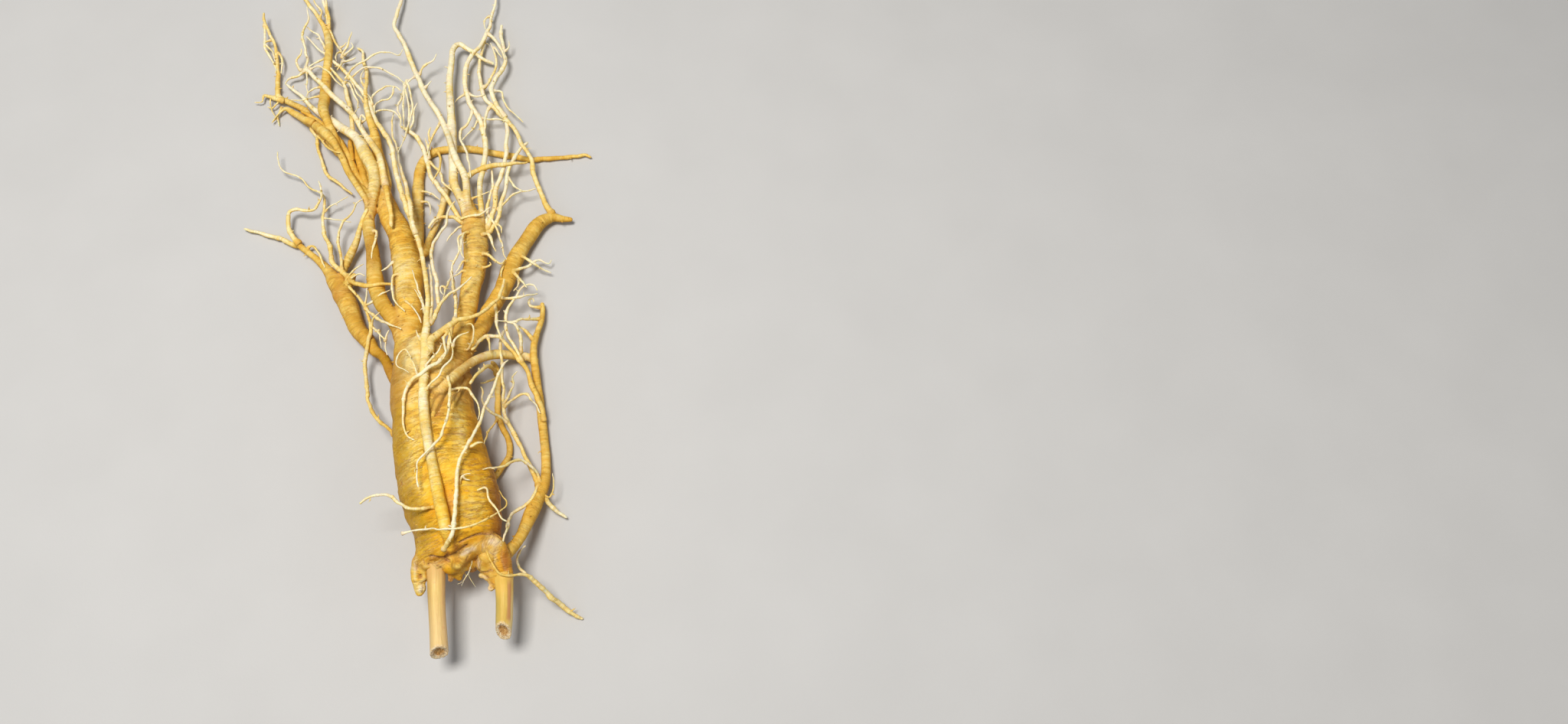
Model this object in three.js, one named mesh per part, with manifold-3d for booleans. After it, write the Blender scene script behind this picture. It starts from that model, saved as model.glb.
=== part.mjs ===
// Fresh ginseng root, lying on its side: one grown-together root (taproot, legs,
// rhizome neck, rootlets) and the two cut stems that stand in its crown.
// Millimetres, +Z up, +Y towards the rootlet tips, crown and stems towards -Y.
// The lowest points of the root lie on z = 0.

import * as THREE from 'three';
import { mergeVertices } from 'three/addons/utils/BufferGeometryUtils.js';
import Module from 'manifold-3d';

// ---- driving dimensions -------------------------------------------------
const TAPROOT_DIAMETER = 44.0;   // thickest part of the taproot
const LEFT_STEM_DIAMETER = 7.8;  // cut stem on the left of the crown
const LEFT_STEM_LENGTH = 41.5;   // socket to cut end
const RIGHT_STEM_DIAMETER = 7.6; // cut stem on the right of the crown
const RIGHT_STEM_LENGTH = 26.5;  // socket to cut end
const STEM_SOCKET_DEPTH = 3.0;   // how far a stem sits in the crown
const STEM_GAP = 0.3;            // clearance between a stem and its socket
const CUT_FLARE = 1.05;          // a stem widens a little where it was cut
const TIP_LENGTH = 1.0;          // a tip closes over this many of its radii
const TIP_RADIUS = 0.45;         // radius left at a closed tip, as a share
const SETTLED = 0.45;            // the underside is flattened this much where it lies on z = 0

// ---- the grown root -----------------------------------------------------
// Each strand is a round, tapering tube along a smooth curve. A path point is
// [x, y, z, radius]. The taproot's radii are shares of half TAPROOT_DIAMETER. The
// heights already include the SETTLED amount by which the underside is trimmed.
// sides is the number of faces round a strand, step the ring spacing.
const STRANDS = [
  { name: 'taproot', sides: 28, step: 9, path: [[27.8, -150.0, 21.8, 0.36], [28.6, -148.3, 21.8, 0.55], [29.4, -146.7, 21.7, 0.68], [30.4, -145.1, 21.7, 0.76], [31.3, -143.5, 21.6, 0.80], [32.3, -137.8, 21.3, 0.85], [31.5, -129.0, 21.0, 0.91], [29.1, -120.2, 21.0, 0.98], [26.7, -113.7, 21.6, 1.00], [23.7, -103.7, 21.1, 0.98], [19.4, -84.0, 20.2, 0.90], [15.0, -59.1, 18.1, 0.79], [13.4, -51.4, 17.6, 0.70], [11.5, -43.6, 17.2, 0.52]] },
  { name: 'left_leg', sides: 14, step: 8, path: [[9.9, -66.2, 20.6, 10.92], [5.7, -49.5, 18.5, 8.55], [3.4, -34.5, 16.7, 7.31], [0.8, -8.0, 13.1, 7.16], [-1.9, 9.2, 11.1, 7.03], [-7.3, 28.6, 9.5, 6.38], [-11.0, 35.2, 9.1, 6.04], [-14.4, 43.3, 8.8, 5.16], [-16.3, 50.6, 8.6, 3.07]] },
  { name: 'right_leg', sides: 14, step: 8, path: [[23.4, -68.6, 20.6, 9.65], [26.5, -56.0, 18.4, 7.18], [27.5, -46.0, 16.8, 5.54], [28.0, -39.2, 15.9, 4.99], [30.2, -15.1, 13.2, 4.85], [32.4, 11.0, 10.6, 5.92], [31.1, 29.4, 9.3, 5.99], [25.9, 48.1, 9.6, 2.54]] },
  { name: 'right_arm', sides: 10, step: 8, path: [[27.5, -58.6, 19.6, 4.32], [31.1, -39.4, 14.3, 3.68], [33.9, -32.0, 12.6, 3.86], [37.3, -26.3, 11.2, 3.91], [40.0, -17.4, 9.4, 4.25], [45.7, -5.0, 7.7, 4.11], [48.9, 5.0, 6.8, 4.49], [52.5, 14.9, 6.0, 4.17], [60.6, 30.3, 5.0, 3.93], [64.1, 34.8, 4.8, 3.59], [68.9, 37.4, 4.5, 2.82], [71.0, 37.8, 4.4, 2.43], [79.5, 36.4, 4.0, 1.21]] },
  { name: 'left_branch', sides: 10, step: 8, path: [[2.6, -61.1, 15.6, 3.61], [-3.8, -53.5, 13.2, 2.88], [-10.2, -41.6, 10.7, 2.37], [-15.4, -36.8, 9.7, 2.89], [-24.4, -25.3, 7.9, 4.12], [-35.7, -2.0, 5.5, 4.79], [-39.1, 3.2, 5.0, 4.22], [-43.0, 9.6, 4.5, 2.77], [-49.7, 16.9, 3.8, 1.77], [-60.0, 25.8, 2.8, 1.57]] },
  { name: 'left_branch_node', sides: 8, step: 8, path: [[-35.5, -5.2, 7.5, 2.94], [-32.4, -0.7, 8.5, 2.67], [-28.8, 4.8, 9.6, 1.29]] },
  { name: 'upper_left_leg', sides: 10, step: 8, path: [[-0.2, -30.5, 17.6, 4.40], [-11.4, -14.4, 16.7, 3.90], [-15.6, -3.2, 15.9, 3.94], [-22.1, 30.8, 12.9, 3.07], [-22.3, 39.3, 12.6, 2.71], [-21.1, 56.0, 12.5, 3.01], [-21.8, 62.2, 12.5, 3.06], [-23.5, 67.0, 12.3, 3.19], [-30.8, 81.3, 11.0, 2.86], [-33.9, 85.7, 10.4, 2.56], [-57.2, 104.6, 7.2, 1.50], [-64.2, 113.0, 6.1, 1.01], [-75.3, 123.0, 4.5, 0.63]] },
  { name: 'rhizome_neck', sides: 10, step: 8, path: [[30.9, -148.9, 26.6, 4.49], [34.6, -145.0, 28.0, 4.77], [39.2, -141.9, 29.1, 4.71], [43.6, -140.4, 29.4, 4.60], [47.4, -140.6, 29.3, 4.56], [49.9, -141.8, 29.0, 4.54], [52.2, -144.8, 28.2, 4.38], [54.3, -154.6, 25.6, 3.96]] },
  { name: 'side_bud', sides: 8, step: 8, path: [[25.5, -149.4, 25.6, 3.02], [20.1, -146.6, 25.5, 3.03], [18.3, -146.7, 25.5, 3.15], [15.8, -151.7, 25.1, 3.28], [16.4, -160.3, 23.6, 1.81]] },
  { name: 'bud_scar', sides: 8, step: 8, path: [[48.4, -144.7, 29.6, 2.40], [47.2, -148.0, 30.0, 3.37], [46.0, -150.3, 30.3, 2.91]] },
  { name: 'arched_rootlet', sides: 8, step: 8, path: [[19.2, -79.9, 35.7, 2.42], [22.5, -70.5, 35.1, 2.46], [26.1, -66.3, 36.7, 2.37], [27.8, -63.8, 35.9, 2.31], [31.0, -58.2, 31.9, 2.26], [34.6, -51.1, 25.0, 2.20], [37.9, -46.9, 20.3, 2.23], [42.7, -43.3, 15.6, 2.27], [47.9, -41.5, 11.3, 2.30], [57.2, -40.6, 5.5, 2.20], [62.6, -42.1, 3.0, 1.73]] },
  { name: 'crown_side_root', sides: 8, step: 8, path: [[53.3, -147.0, 25.8, 2.96], [58.3, -138.6, 18.9, 2.66], [60.7, -133.1, 16.1, 2.84], [63.1, -125.1, 12.5, 3.40], [65.7, -117.1, 9.2, 3.22], [68.6, -109.2, 7.0, 2.76], [69.4, -103.9, 5.9, 2.43], [68.8, -91.7, 3.7, 2.24], [67.7, -82.0, 3.2, 2.23], [65.8, -67.0, 3.7, 2.07], [63.3, -48.3, 6.4, 2.07], [62.3, -39.4, 6.6, 1.78], [62.8, -32.5, 6.0, 1.60], [65.9, -18.9, 4.4, 1.47], [65.5, -10.5, 3.5, 0.97]] },
  { name: 'long_top_rootlet', sides: 7, step: 7.5, path: [[32.7, -143.6, 37.7, 2.12], [31.5, -136.7, 43.9, 2.73], [30.8, -133.4, 45.4, 2.76], [26.3, -114.7, 45.3, 2.62], [20.0, -89.6, 42.3, 2.34], [17.5, -73.0, 40.8, 2.34], [16.1, -50.9, 36.9, 2.38], [14.7, -25.3, 31.7, 1.23], [13.3, -12.0, 29.1, 1.12], [7.1, 13.8, 24.2, 1.21], [-6.6, 51.1, 17.9, 1.34], [-13.4, 77.6, 14.0, 1.27], [-24.2, 96.2, 12.1, 1.27], [-27.7, 106.5, 11.3, 1.11], [-30.4, 111.3, 10.9, 1.07], [-42.8, 127.5, 9.4, 0.94], [-59.0, 143.9, 7.5, 0.55], [-66.2, 152.6, 6.5, 0.55]] },
  { name: 'under_rootlet', sides: 6, step: 7.5, path: [[-1.5, 16.7, 8.6, 2.74], [1.3, 17.7, 7.4, 2.68], [1.9, 21.5, 6.4, 2.65], [0.0, 40.3, 2.9, 2.86], [-1.1, 65.5, 2.3, 2.77], [0.2, 72.8, 2.1, 2.54], [3.9, 78.8, 2.0, 2.13], [10.0, 81.2, 1.9, 1.99], [22.1, 81.8, 1.8, 1.86], [57.4, 74.3, 1.6, 1.44], [77.4, 75.5, 1.6, 1.09], [86.3, 76.9, 1.6, 0.86], [90.4, 74.9, 1.6, 0.62]] },
  { name: 'fan_a', sides: 6, step: 7.5, path: [[-13.6, 42.8, 9.6, 2.67], [-15.3, 52.2, 10.2, 1.95], [-19.5, 71.3, 11.2, 1.60], [-23.2, 78.4, 12.4, 1.50], [-29.4, 88.1, 10.3, 1.40], [-37.0, 100.8, 9.4, 1.41], [-48.1, 112.4, 8.0, 1.34], [-62.3, 129.4, 6.0, 1.09], [-66.7, 131.4, 5.5, 0.82]] },
  { name: 'fan_b', sides: 6, step: 7.5, path: [[-22.1, 37.7, 11.3, 1.52], [-22.8, 40.6, 12.5, 1.52], [-23.8, 44.5, 15.9, 1.53], [-24.8, 46.4, 16.5, 1.54], [-27.7, 51.2, 15.3, 1.55], [-35.6, 64.0, 9.2, 1.56], [-38.2, 69.5, 7.8, 1.64], [-40.6, 75.1, 8.1, 1.81], [-46.3, 84.2, 12.6, 2.20], [-50.2, 88.5, 11.4, 2.25], [-58.8, 97.7, 5.6, 2.07], [-63.2, 106.2, 3.2, 1.63], [-78.6, 115.9, 3.1, 1.41], [-82.5, 145.1, 5.1, 0.81], [-89.2, 161.6, 6.9, 0.75], [-90.0, 168.0, 7.5, 0.58]] },
  { name: 'fan_c', sides: 6, step: 7.5, path: [[-21.0, 40.0, 11.9, 1.72], [-22.7, 45.6, 14.4, 1.59], [-24.1, 49.0, 14.5, 1.55], [-34.9, 64.3, 6.3, 1.57], [-39.8, 74.6, 4.4, 1.56], [-42.0, 80.1, 5.3, 1.59], [-47.2, 91.6, 11.2, 1.82], [-50.2, 98.5, 11.5, 2.12], [-52.1, 104.6, 9.8, 2.32], [-53.7, 118.6, 4.3, 2.13], [-53.6, 122.2, 4.8, 1.98], [-51.9, 132.2, 9.7, 1.89], [-51.7, 135.8, 10.2, 1.93], [-52.3, 142.5, 8.4, 1.98], [-55.2, 153.5, 4.4, 1.93], [-58.4, 161.1, 4.4, 1.25], [-73.6, 185.5, 6.5, 0.55]] },
  { name: 'fan_d', sides: 6, step: 7.5, path: [[-16.5, 52.5, 7.8, 2.46], [-16.7, 60.5, 6.7, 2.48], [-20.6, 73.5, 5.5, 2.43], [-22.2, 77.4, 6.8, 2.56], [-24.4, 89.8, 13.1, 2.15], [-26.3, 95.5, 13.8, 1.72], [-29.5, 112.2, 11.9, 1.00], [-33.1, 132.5, 3.5, 0.97], [-36.0, 143.7, 2.7, 0.75], [-39.5, 147.4, 2.5, 0.55]] },
  { name: 'low_side_rootlet', sides: 6, step: 7.5, path: [[33.1, -108.5, 8.6, 1.65], [40.9, -105.3, 5.5, 1.69], [44.1, -103.1, 4.6, 1.60], [51.0, -90.7, 2.3, 1.56], [50.2, -83.2, 1.8, 1.47], [44.7, -70.0, 1.6, 1.48], [44.2, -48.4, 2.6, 1.42], [43.2, -45.3, 3.0, 1.26], [40.6, -42.0, 3.5, 0.95]] },
  { name: 'left_branch_fork', sides: 6, step: 7.5, path: [[-35.7, 2.9, 6.5, 1.83], [-35.1, 10.2, 5.9, 1.85], [-32.6, 17.8, 5.8, 2.04], [-28.7, 24.8, 9.3, 1.64], [-25.3, 34.0, 14.1, 1.14], [-22.6, 39.8, 15.7, 0.74]] },
  { name: 'left_branch_whip', sides: 6, step: 7.5, path: [[-29.7, 1.4, 9.6, 1.67], [-38.8, 10.9, 8.6, 1.34], [-40.7, 14.2, 8.4, 1.24], [-42.8, 22.7, 7.8, 1.04], [-46.8, 32.0, 7.0, 0.90], [-47.9, 47.1, 5.9, 0.65], [-49.4, 53.4, 5.5, 0.58], [-57.2, 58.9, 5.0, 0.55], [-61.0, 63.7, 5.2, 0.55], [-71.7, 69.0, 6.4, 0.55], [-73.4, 72.1, 6.8, 0.55], [-74.2, 79.2, 7.5, 0.55]] },
  { name: 'left_branch_tip', sides: 6, step: 7.5, path: [[-57.9, 24.5, 2.8, 1.57], [-71.4, 31.0, 2.2, 1.16], [-89.4, 36.5, 2.5, 0.55]] },
  { name: 'side_root_twin', sides: 6, step: 7.5, path: [[67.5, -111.6, 8.6, 1.26], [48.7, -70.5, 7.6, 0.91], [47.4, -53.4, 8.0, 0.74], [47.5, -50.5, 9.3, 0.74], [48.0, -45.6, 13.6, 0.74], [47.7, -42.6, 14.5, 0.74], [46.3, -33.0, 9.8, 0.75], [47.6, -27.6, 9.6, 0.66]] },
  { name: 'crown_whip', sides: 6, step: 7.5, path: [[47.0, -143.2, 32.9, 0.55], [51.1, -151.9, 32.6, 0.55], [54.0, -155.2, 31.3, 0.55], [57.3, -155.6, 29.4, 0.60], [62.1, -154.4, 25.0, 0.70], [65.2, -155.1, 22.0, 0.89], [78.2, -166.3, 5.9, 1.21], [87.5, -172.2, 0.9, 0.55]] },
  { name: 'side_root_loop', sides: 6, step: 7.5, path: [[68.0, -77.1, 4.1, 1.30], [66.6, -67.5, 7.7, 1.30], [62.3, -58.2, 9.7, 1.31], [60.4, -51.2, 11.1, 1.12], [47.7, -34.2, 16.3, 0.94], [43.0, -34.0, 17.9, 0.95], [40.2, -35.0, 18.8, 0.93], [34.6, -42.9, 21.6, 0.73]] },
  { name: 'left_tie_rootlet', sides: 6, step: 7.5, path: [[9.6, -81.8, 15.6, 0.92], [6.2, -83.1, 16.9, 0.93], [1.9, -85.7, 22.0, 0.91], [0.3, -85.4, 22.9, 0.87], [-1.6, -82.5, 22.2, 0.79], [-11.2, -73.1, 15.7, 0.89], [-16.6, -63.4, 10.2, 0.89], [-18.3, -57.0, 7.6, 0.95], [-19.6, -49.3, 7.3, 0.99], [-19.8, -42.5, 9.8, 0.98], [-18.0, -35.1, 13.0, 0.98], [-17.5, -27.2, 12.3, 0.90], [-18.1, -21.8, 12.9, 0.81], [-21.2, -13.6, 13.8, 0.74], [-29.5, -3.0, 14.6, 0.65]] },
  { name: 'right_fan_a', sides: 6, step: 7.5, path: [[70.4, 39.1, 4.5, 1.61], [66.2, 45.9, 5.5, 1.20], [60.0, 63.4, 7.7, 1.21], [59.5, 69.8, 9.6, 1.10], [56.4, 74.8, 12.2, 1.01], [54.3, 78.0, 11.9, 1.02], [50.1, 88.3, 8.3, 1.03], [45.3, 94.9, 9.3, 1.03], [39.9, 101.3, 7.5, 1.04], [32.2, 112.1, 6.5, 1.01], [28.8, 130.0, 5.2, 0.82], [31.0, 152.5, 3.5, 0.61]] },
  { name: 'right_fan_b', sides: 6, step: 7.5, path: [[35.8, 26.3, 9.6, 1.53], [40.4, 39.5, 9.8, 1.15], [41.1, 51.5, 10.2, 1.16], [45.7, 70.9, 9.8, 0.99], [46.2, 86.6, 9.0, 1.00], [44.6, 94.6, 8.6, 0.81]] },
  { name: 'tall_hook', sides: 6, step: 7.5, path: [[28.5, 28.7, 10.6, 2.50], [27.1, 36.8, 11.1, 2.21], [24.5, 43.9, 12.6, 2.03], [20.4, 53.2, 12.2, 1.88], [19.4, 58.0, 12.2, 1.84], [14.4, 115.2, 10.4, 1.60], [15.3, 141.2, 9.2, 1.32], [16.6, 143.4, 8.8, 1.29], [18.6, 144.0, 8.4, 1.20], [30.8, 136.5, 5.4, 0.86], [36.7, 134.2, 3.5, 0.63]] },
  { name: 'right_fan_c', sides: 6, step: 7.5, path: [[33.2, 28.6, 10.6, 1.72], [34.7, 34.1, 10.7, 1.32], [33.0, 56.0, 11.2, 1.30], [35.2, 69.3, 11.3, 1.25], [35.4, 77.0, 11.0, 1.22], [31.5, 94.2, 9.7, 1.22], [23.8, 110.2, 8.2, 1.13], [21.7, 125.3, 7.4, 1.11], [23.2, 134.4, 7.3, 1.03], [26.5, 139.4, 7.9, 0.99], [29.8, 145.3, 6.8, 1.01], [33.6, 156.9, 6.3, 0.81], [36.4, 180.8, 5.5, 0.55]] },
  { name: 'tall_left', sides: 6, step: 7.5, path: [[29.3, 28.7, 10.6, 2.31], [27.0, 46.6, 13.0, 1.87], [25.6, 57.9, 12.5, 1.67], [20.6, 68.8, 15.1, 1.56], [17.3, 78.6, 14.6, 1.43], [11.6, 93.5, 11.8, 1.41], [0.5, 113.7, 10.0, 1.34], [-11.5, 143.8, 7.7, 1.14], [-18.6, 157.8, 6.6, 1.03], [-15.0, 187.7, 4.5, 0.55]] },
  { name: 'cross_rootlet', sides: 6, step: 7.5, path: [[16.8, -47.7, 36.1, 2.36], [17.6, -47.7, 35.8, 2.33], [17.5, -43.0, 34.4, 2.14], [19.1, -40.3, 33.3, 2.07], [28.0, -30.5, 29.5, 1.34], [38.5, -25.4, 25.4, 0.93], [46.0, -16.0, 20.8, 0.86], [47.2, -12.5, 19.4, 0.81], [48.3, -2.0, 15.6, 0.56]] },
  { name: 'crown_trailer', sides: 6, step: 7.5, path: [[26.7, -146.2, 33.2, 1.35], [33.6, -140.8, 44.7, 1.16], [34.7, -138.5, 46.2, 1.16], [35.5, -135.0, 46.7, 1.14], [35.7, -110.9, 45.0, 0.95], [36.5, -104.0, 44.2, 0.91], [43.5, -85.0, 38.2, 0.87], [49.3, -57.3, 27.4, 0.80], [52.9, -49.1, 23.6, 0.55]] },
];

// ---- the stems ----------------------------------------------------------
// start is the centre of the stem where it leaves the crown, towards its cut end
const LEFT_STEM = { start: [23.60, -149.0, 26.15], bend: [24.5, -170.9, 23.65], end: [26.0, -187.1, 21.55] };
const RIGHT_STEM = { start: [53.95, -155.6, 25.15], bend: [54.7, -165.6, 23.85], end: [54.2, -179.1, 22.05] };

const wasm = await Module();
wasm.setup();

// A cylinder geometry bent along a curve, its rings scaled to radiusAt(s) and
// spaced by the list of lengths s. Its ends are flat caps.
function bentCylinder(curve, lengths, radiusAt, sides) {
  const total = curve.getLength();
  const rows = lengths.length - 1;
  const geometry = new THREE.CylinderGeometry(1, 1, 1, sides, rows);
  const position = geometry.attributes.position;
  const up = new THREE.Vector3(0, 0, 1);
  const rings = lengths.map((s) => {
    const u = Math.min(1, Math.max(0, s / total));
    const centre = curve.getPointAt(u);
    const tangent = curve.getTangentAt(u);
    const side = new THREE.Vector3().crossVectors(up, tangent).normalize();
    const over = new THREE.Vector3().crossVectors(tangent, side);
    return { centre, side, over, radius: radiusAt(s) };
  });
  for (let i = 0; i < position.count; i++) {
    const ring = rings[Math.round((0.5 - position.getY(i)) * rows)];
    const point = ring.centre.clone()
      .addScaledVector(ring.side, position.getX(i) * ring.radius)
      .addScaledVector(ring.over, position.getZ(i) * ring.radius);
    position.setXYZ(i, point.x, point.y, point.z);
  }
  return geometry;
}

function toManifold(geometry) {
  const plain = geometry.clone();
  plain.deleteAttribute('normal');
  plain.deleteAttribute('uv');
  const merged = mergeVertices(plain, 1e-4);
  return new wasm.Manifold(new wasm.Mesh({
    numProp: 3,
    vertProperties: new Float32Array(merged.attributes.position.array),
    triVerts: new Uint32Array(merged.index.array),
  }));
}

function toGeometry(manifold) {
  const mesh = manifold.getMesh();
  const geometry = new THREE.BufferGeometry();
  geometry.setAttribute('position', new THREE.BufferAttribute(new Float32Array(mesh.vertProperties), 3));
  geometry.setIndex(new THREE.BufferAttribute(new Uint32Array(mesh.triVerts), 1));
  geometry.computeVertexNormals();
  return geometry;
}

// radius along a strand: eased between its path points, closing at its far tip
function strandSolid({ name, sides, step, path }) {
  const share = name === 'taproot' ? TAPROOT_DIAMETER / 2 : 1;
  const points = path.map((p) => new THREE.Vector3(p[0], p[1], p[2]));
  const curve = new THREE.CatmullRomCurve3(points, false, 'centripetal');
  curve.arcLengthDivisions = 60 * points.length;
  const total = curve.getLength();
  const knots = points.map((point, i) => {
    const u = curve.getUtoTmapping(0, 0) + i / (points.length - 1);
    const lengths = curve.getLengths();
    return lengths[Math.round(u * curve.arcLengthDivisions)];
  });
  const radii = path.map((p) => p[3] * share);
  const last = radii[radii.length - 1];
  const closing = last * TIP_LENGTH;
  const radiusAt = (s) => {
    let i = 0;
    while (i < knots.length - 2 && s > knots[i + 1]) i++;
    const t = THREE.MathUtils.clamp((s - knots[i]) / (knots[i + 1] - knots[i]), 0, 1);
    const radius = THREE.MathUtils.lerp(radii[i], radii[i + 1], t * t * (3 - 2 * t) * 0.5 + t * 0.5);
    if (s > total - closing) {
      const q = (s - (total - closing)) / closing;
      return radius * Math.max(TIP_RADIUS, Math.sqrt(Math.max(0, 1 - q * q)));
    }
    return radius;
  };
  const count = Math.max(3, Math.round((total - closing) / step));
  const lengths = Array.from({ length: count + 1 }, (_, i) => (i / count) * (total - closing));
  lengths.push(total - closing * 0.35, total);
  return toManifold(bentCylinder(curve, lengths, radiusAt, sides));
}

function stemCurve({ start, bend, end }, from, length) {
  const a = new THREE.Vector3(...start), b = new THREE.Vector3(...bend), c = new THREE.Vector3(...end);
  const inward = new THREE.Vector3().subVectors(a, b).normalize();
  const foot = a.clone().addScaledVector(inward, from);
  const full = new THREE.CatmullRomCurve3([foot, a, b, c], false, 'centripetal');
  if (length === undefined) return full;
  const u = Math.min(1, length / full.getLength());
  const points = Array.from({ length: 7 }, (_, i) => full.getPointAt((u * i) / 6));
  return new THREE.CatmullRomCurve3(points, false, 'centripetal');
}

function stemGeometry(spec, diameter, length) {
  const curve = stemCurve(spec, STEM_SOCKET_DEPTH, length);
  const total = curve.getLength();
  const rows = [0, 0.12, 0.3, 0.5, 0.7, 0.88, 1].map((q) => q * total);
  const radiusAt = (s) => (diameter / 2) * (s > 0.85 * total ? CUT_FLARE : s < 0.08 * total ? 1.02 : 1);
  return bentCylinder(curve, rows, radiusAt, 20);
}

function stemSocket(spec, diameter) {
  const curve = stemCurve(spec, STEM_SOCKET_DEPTH + STEM_GAP);
  const total = curve.getLength();
  const rows = [0, 0.25, 0.5, 0.75, 1].map((q) => q * total);
  return toManifold(bentCylinder(curve, rows, () => diameter / 2 * CUT_FLARE + STEM_GAP, 20));
}

// ---- build --------------------------------------------------------------
let root = strandSolid(STRANDS[0]);
for (const strand of STRANDS.slice(1)) root = root.add(strandSolid(strand));
root = root.subtract(stemSocket(LEFT_STEM, LEFT_STEM_DIAMETER));
root = root.subtract(stemSocket(RIGHT_STEM, RIGHT_STEM_DIAMETER));

// the settled underside: everything below z = 0 is trimmed away
const below = new THREE.BoxGeometry(400, 600, 20).translate(0, 0, -10);
root = root.subtract(toManifold(below));

const rootMaterial = new THREE.MeshStandardMaterial({ color: 0xd9a441, roughness: 0.55, metalness: 0 });
const leftStemMaterial = new THREE.MeshStandardMaterial({ color: 0xe3c48a, roughness: 0.6, metalness: 0 });
const rightStemMaterial = new THREE.MeshStandardMaterial({ color: 0xd8b462, roughness: 0.6, metalness: 0 });

const group = new THREE.Group();
group.name = 'ginseng_root';

const rootMesh = new THREE.Mesh(toGeometry(root), rootMaterial);
rootMesh.name = 'root';
group.add(rootMesh);

const stems = new THREE.Group();
const leftStem = new THREE.Mesh(stemGeometry(LEFT_STEM, LEFT_STEM_DIAMETER, LEFT_STEM_LENGTH), leftStemMaterial);
leftStem.name = 'left_stem_stub';
const rightStem = new THREE.Mesh(stemGeometry(RIGHT_STEM, RIGHT_STEM_DIAMETER, RIGHT_STEM_LENGTH), rightStemMaterial);
rightStem.name = 'right_stem_stub';
stems.add(leftStem, rightStem);
group.add(stems);

export default group;
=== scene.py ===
"""A fresh ginseng root that lies on a pale table: taproot, crown with two cut stems, forked legs,
rootlets and hair roots. Lengths in the tables are millimetres; the scene is in metres."""
import math
import bpy
import numpy as np
from mathutils import Matrix, Vector


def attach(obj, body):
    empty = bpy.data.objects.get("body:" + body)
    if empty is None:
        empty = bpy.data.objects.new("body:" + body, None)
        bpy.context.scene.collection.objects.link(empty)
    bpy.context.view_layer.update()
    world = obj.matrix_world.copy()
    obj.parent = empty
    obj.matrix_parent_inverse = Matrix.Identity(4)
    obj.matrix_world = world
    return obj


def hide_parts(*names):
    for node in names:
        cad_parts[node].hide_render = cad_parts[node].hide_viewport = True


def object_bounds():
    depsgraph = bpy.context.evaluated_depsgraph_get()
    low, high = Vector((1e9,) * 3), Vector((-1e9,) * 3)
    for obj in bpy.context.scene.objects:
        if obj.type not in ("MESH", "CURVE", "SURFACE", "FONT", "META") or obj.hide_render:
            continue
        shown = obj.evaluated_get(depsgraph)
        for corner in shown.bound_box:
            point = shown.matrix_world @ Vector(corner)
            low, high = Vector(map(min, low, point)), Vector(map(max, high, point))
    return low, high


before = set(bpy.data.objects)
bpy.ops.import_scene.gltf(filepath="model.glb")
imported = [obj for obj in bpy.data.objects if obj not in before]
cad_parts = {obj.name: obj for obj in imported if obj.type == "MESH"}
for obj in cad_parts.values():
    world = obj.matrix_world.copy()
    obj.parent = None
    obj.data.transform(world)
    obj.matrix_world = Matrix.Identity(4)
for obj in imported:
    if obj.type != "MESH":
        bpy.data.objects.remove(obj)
CAD_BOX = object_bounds()
MM = 0.001
TOP = CAD_BOX[1][2] / MM * 1.02

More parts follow.
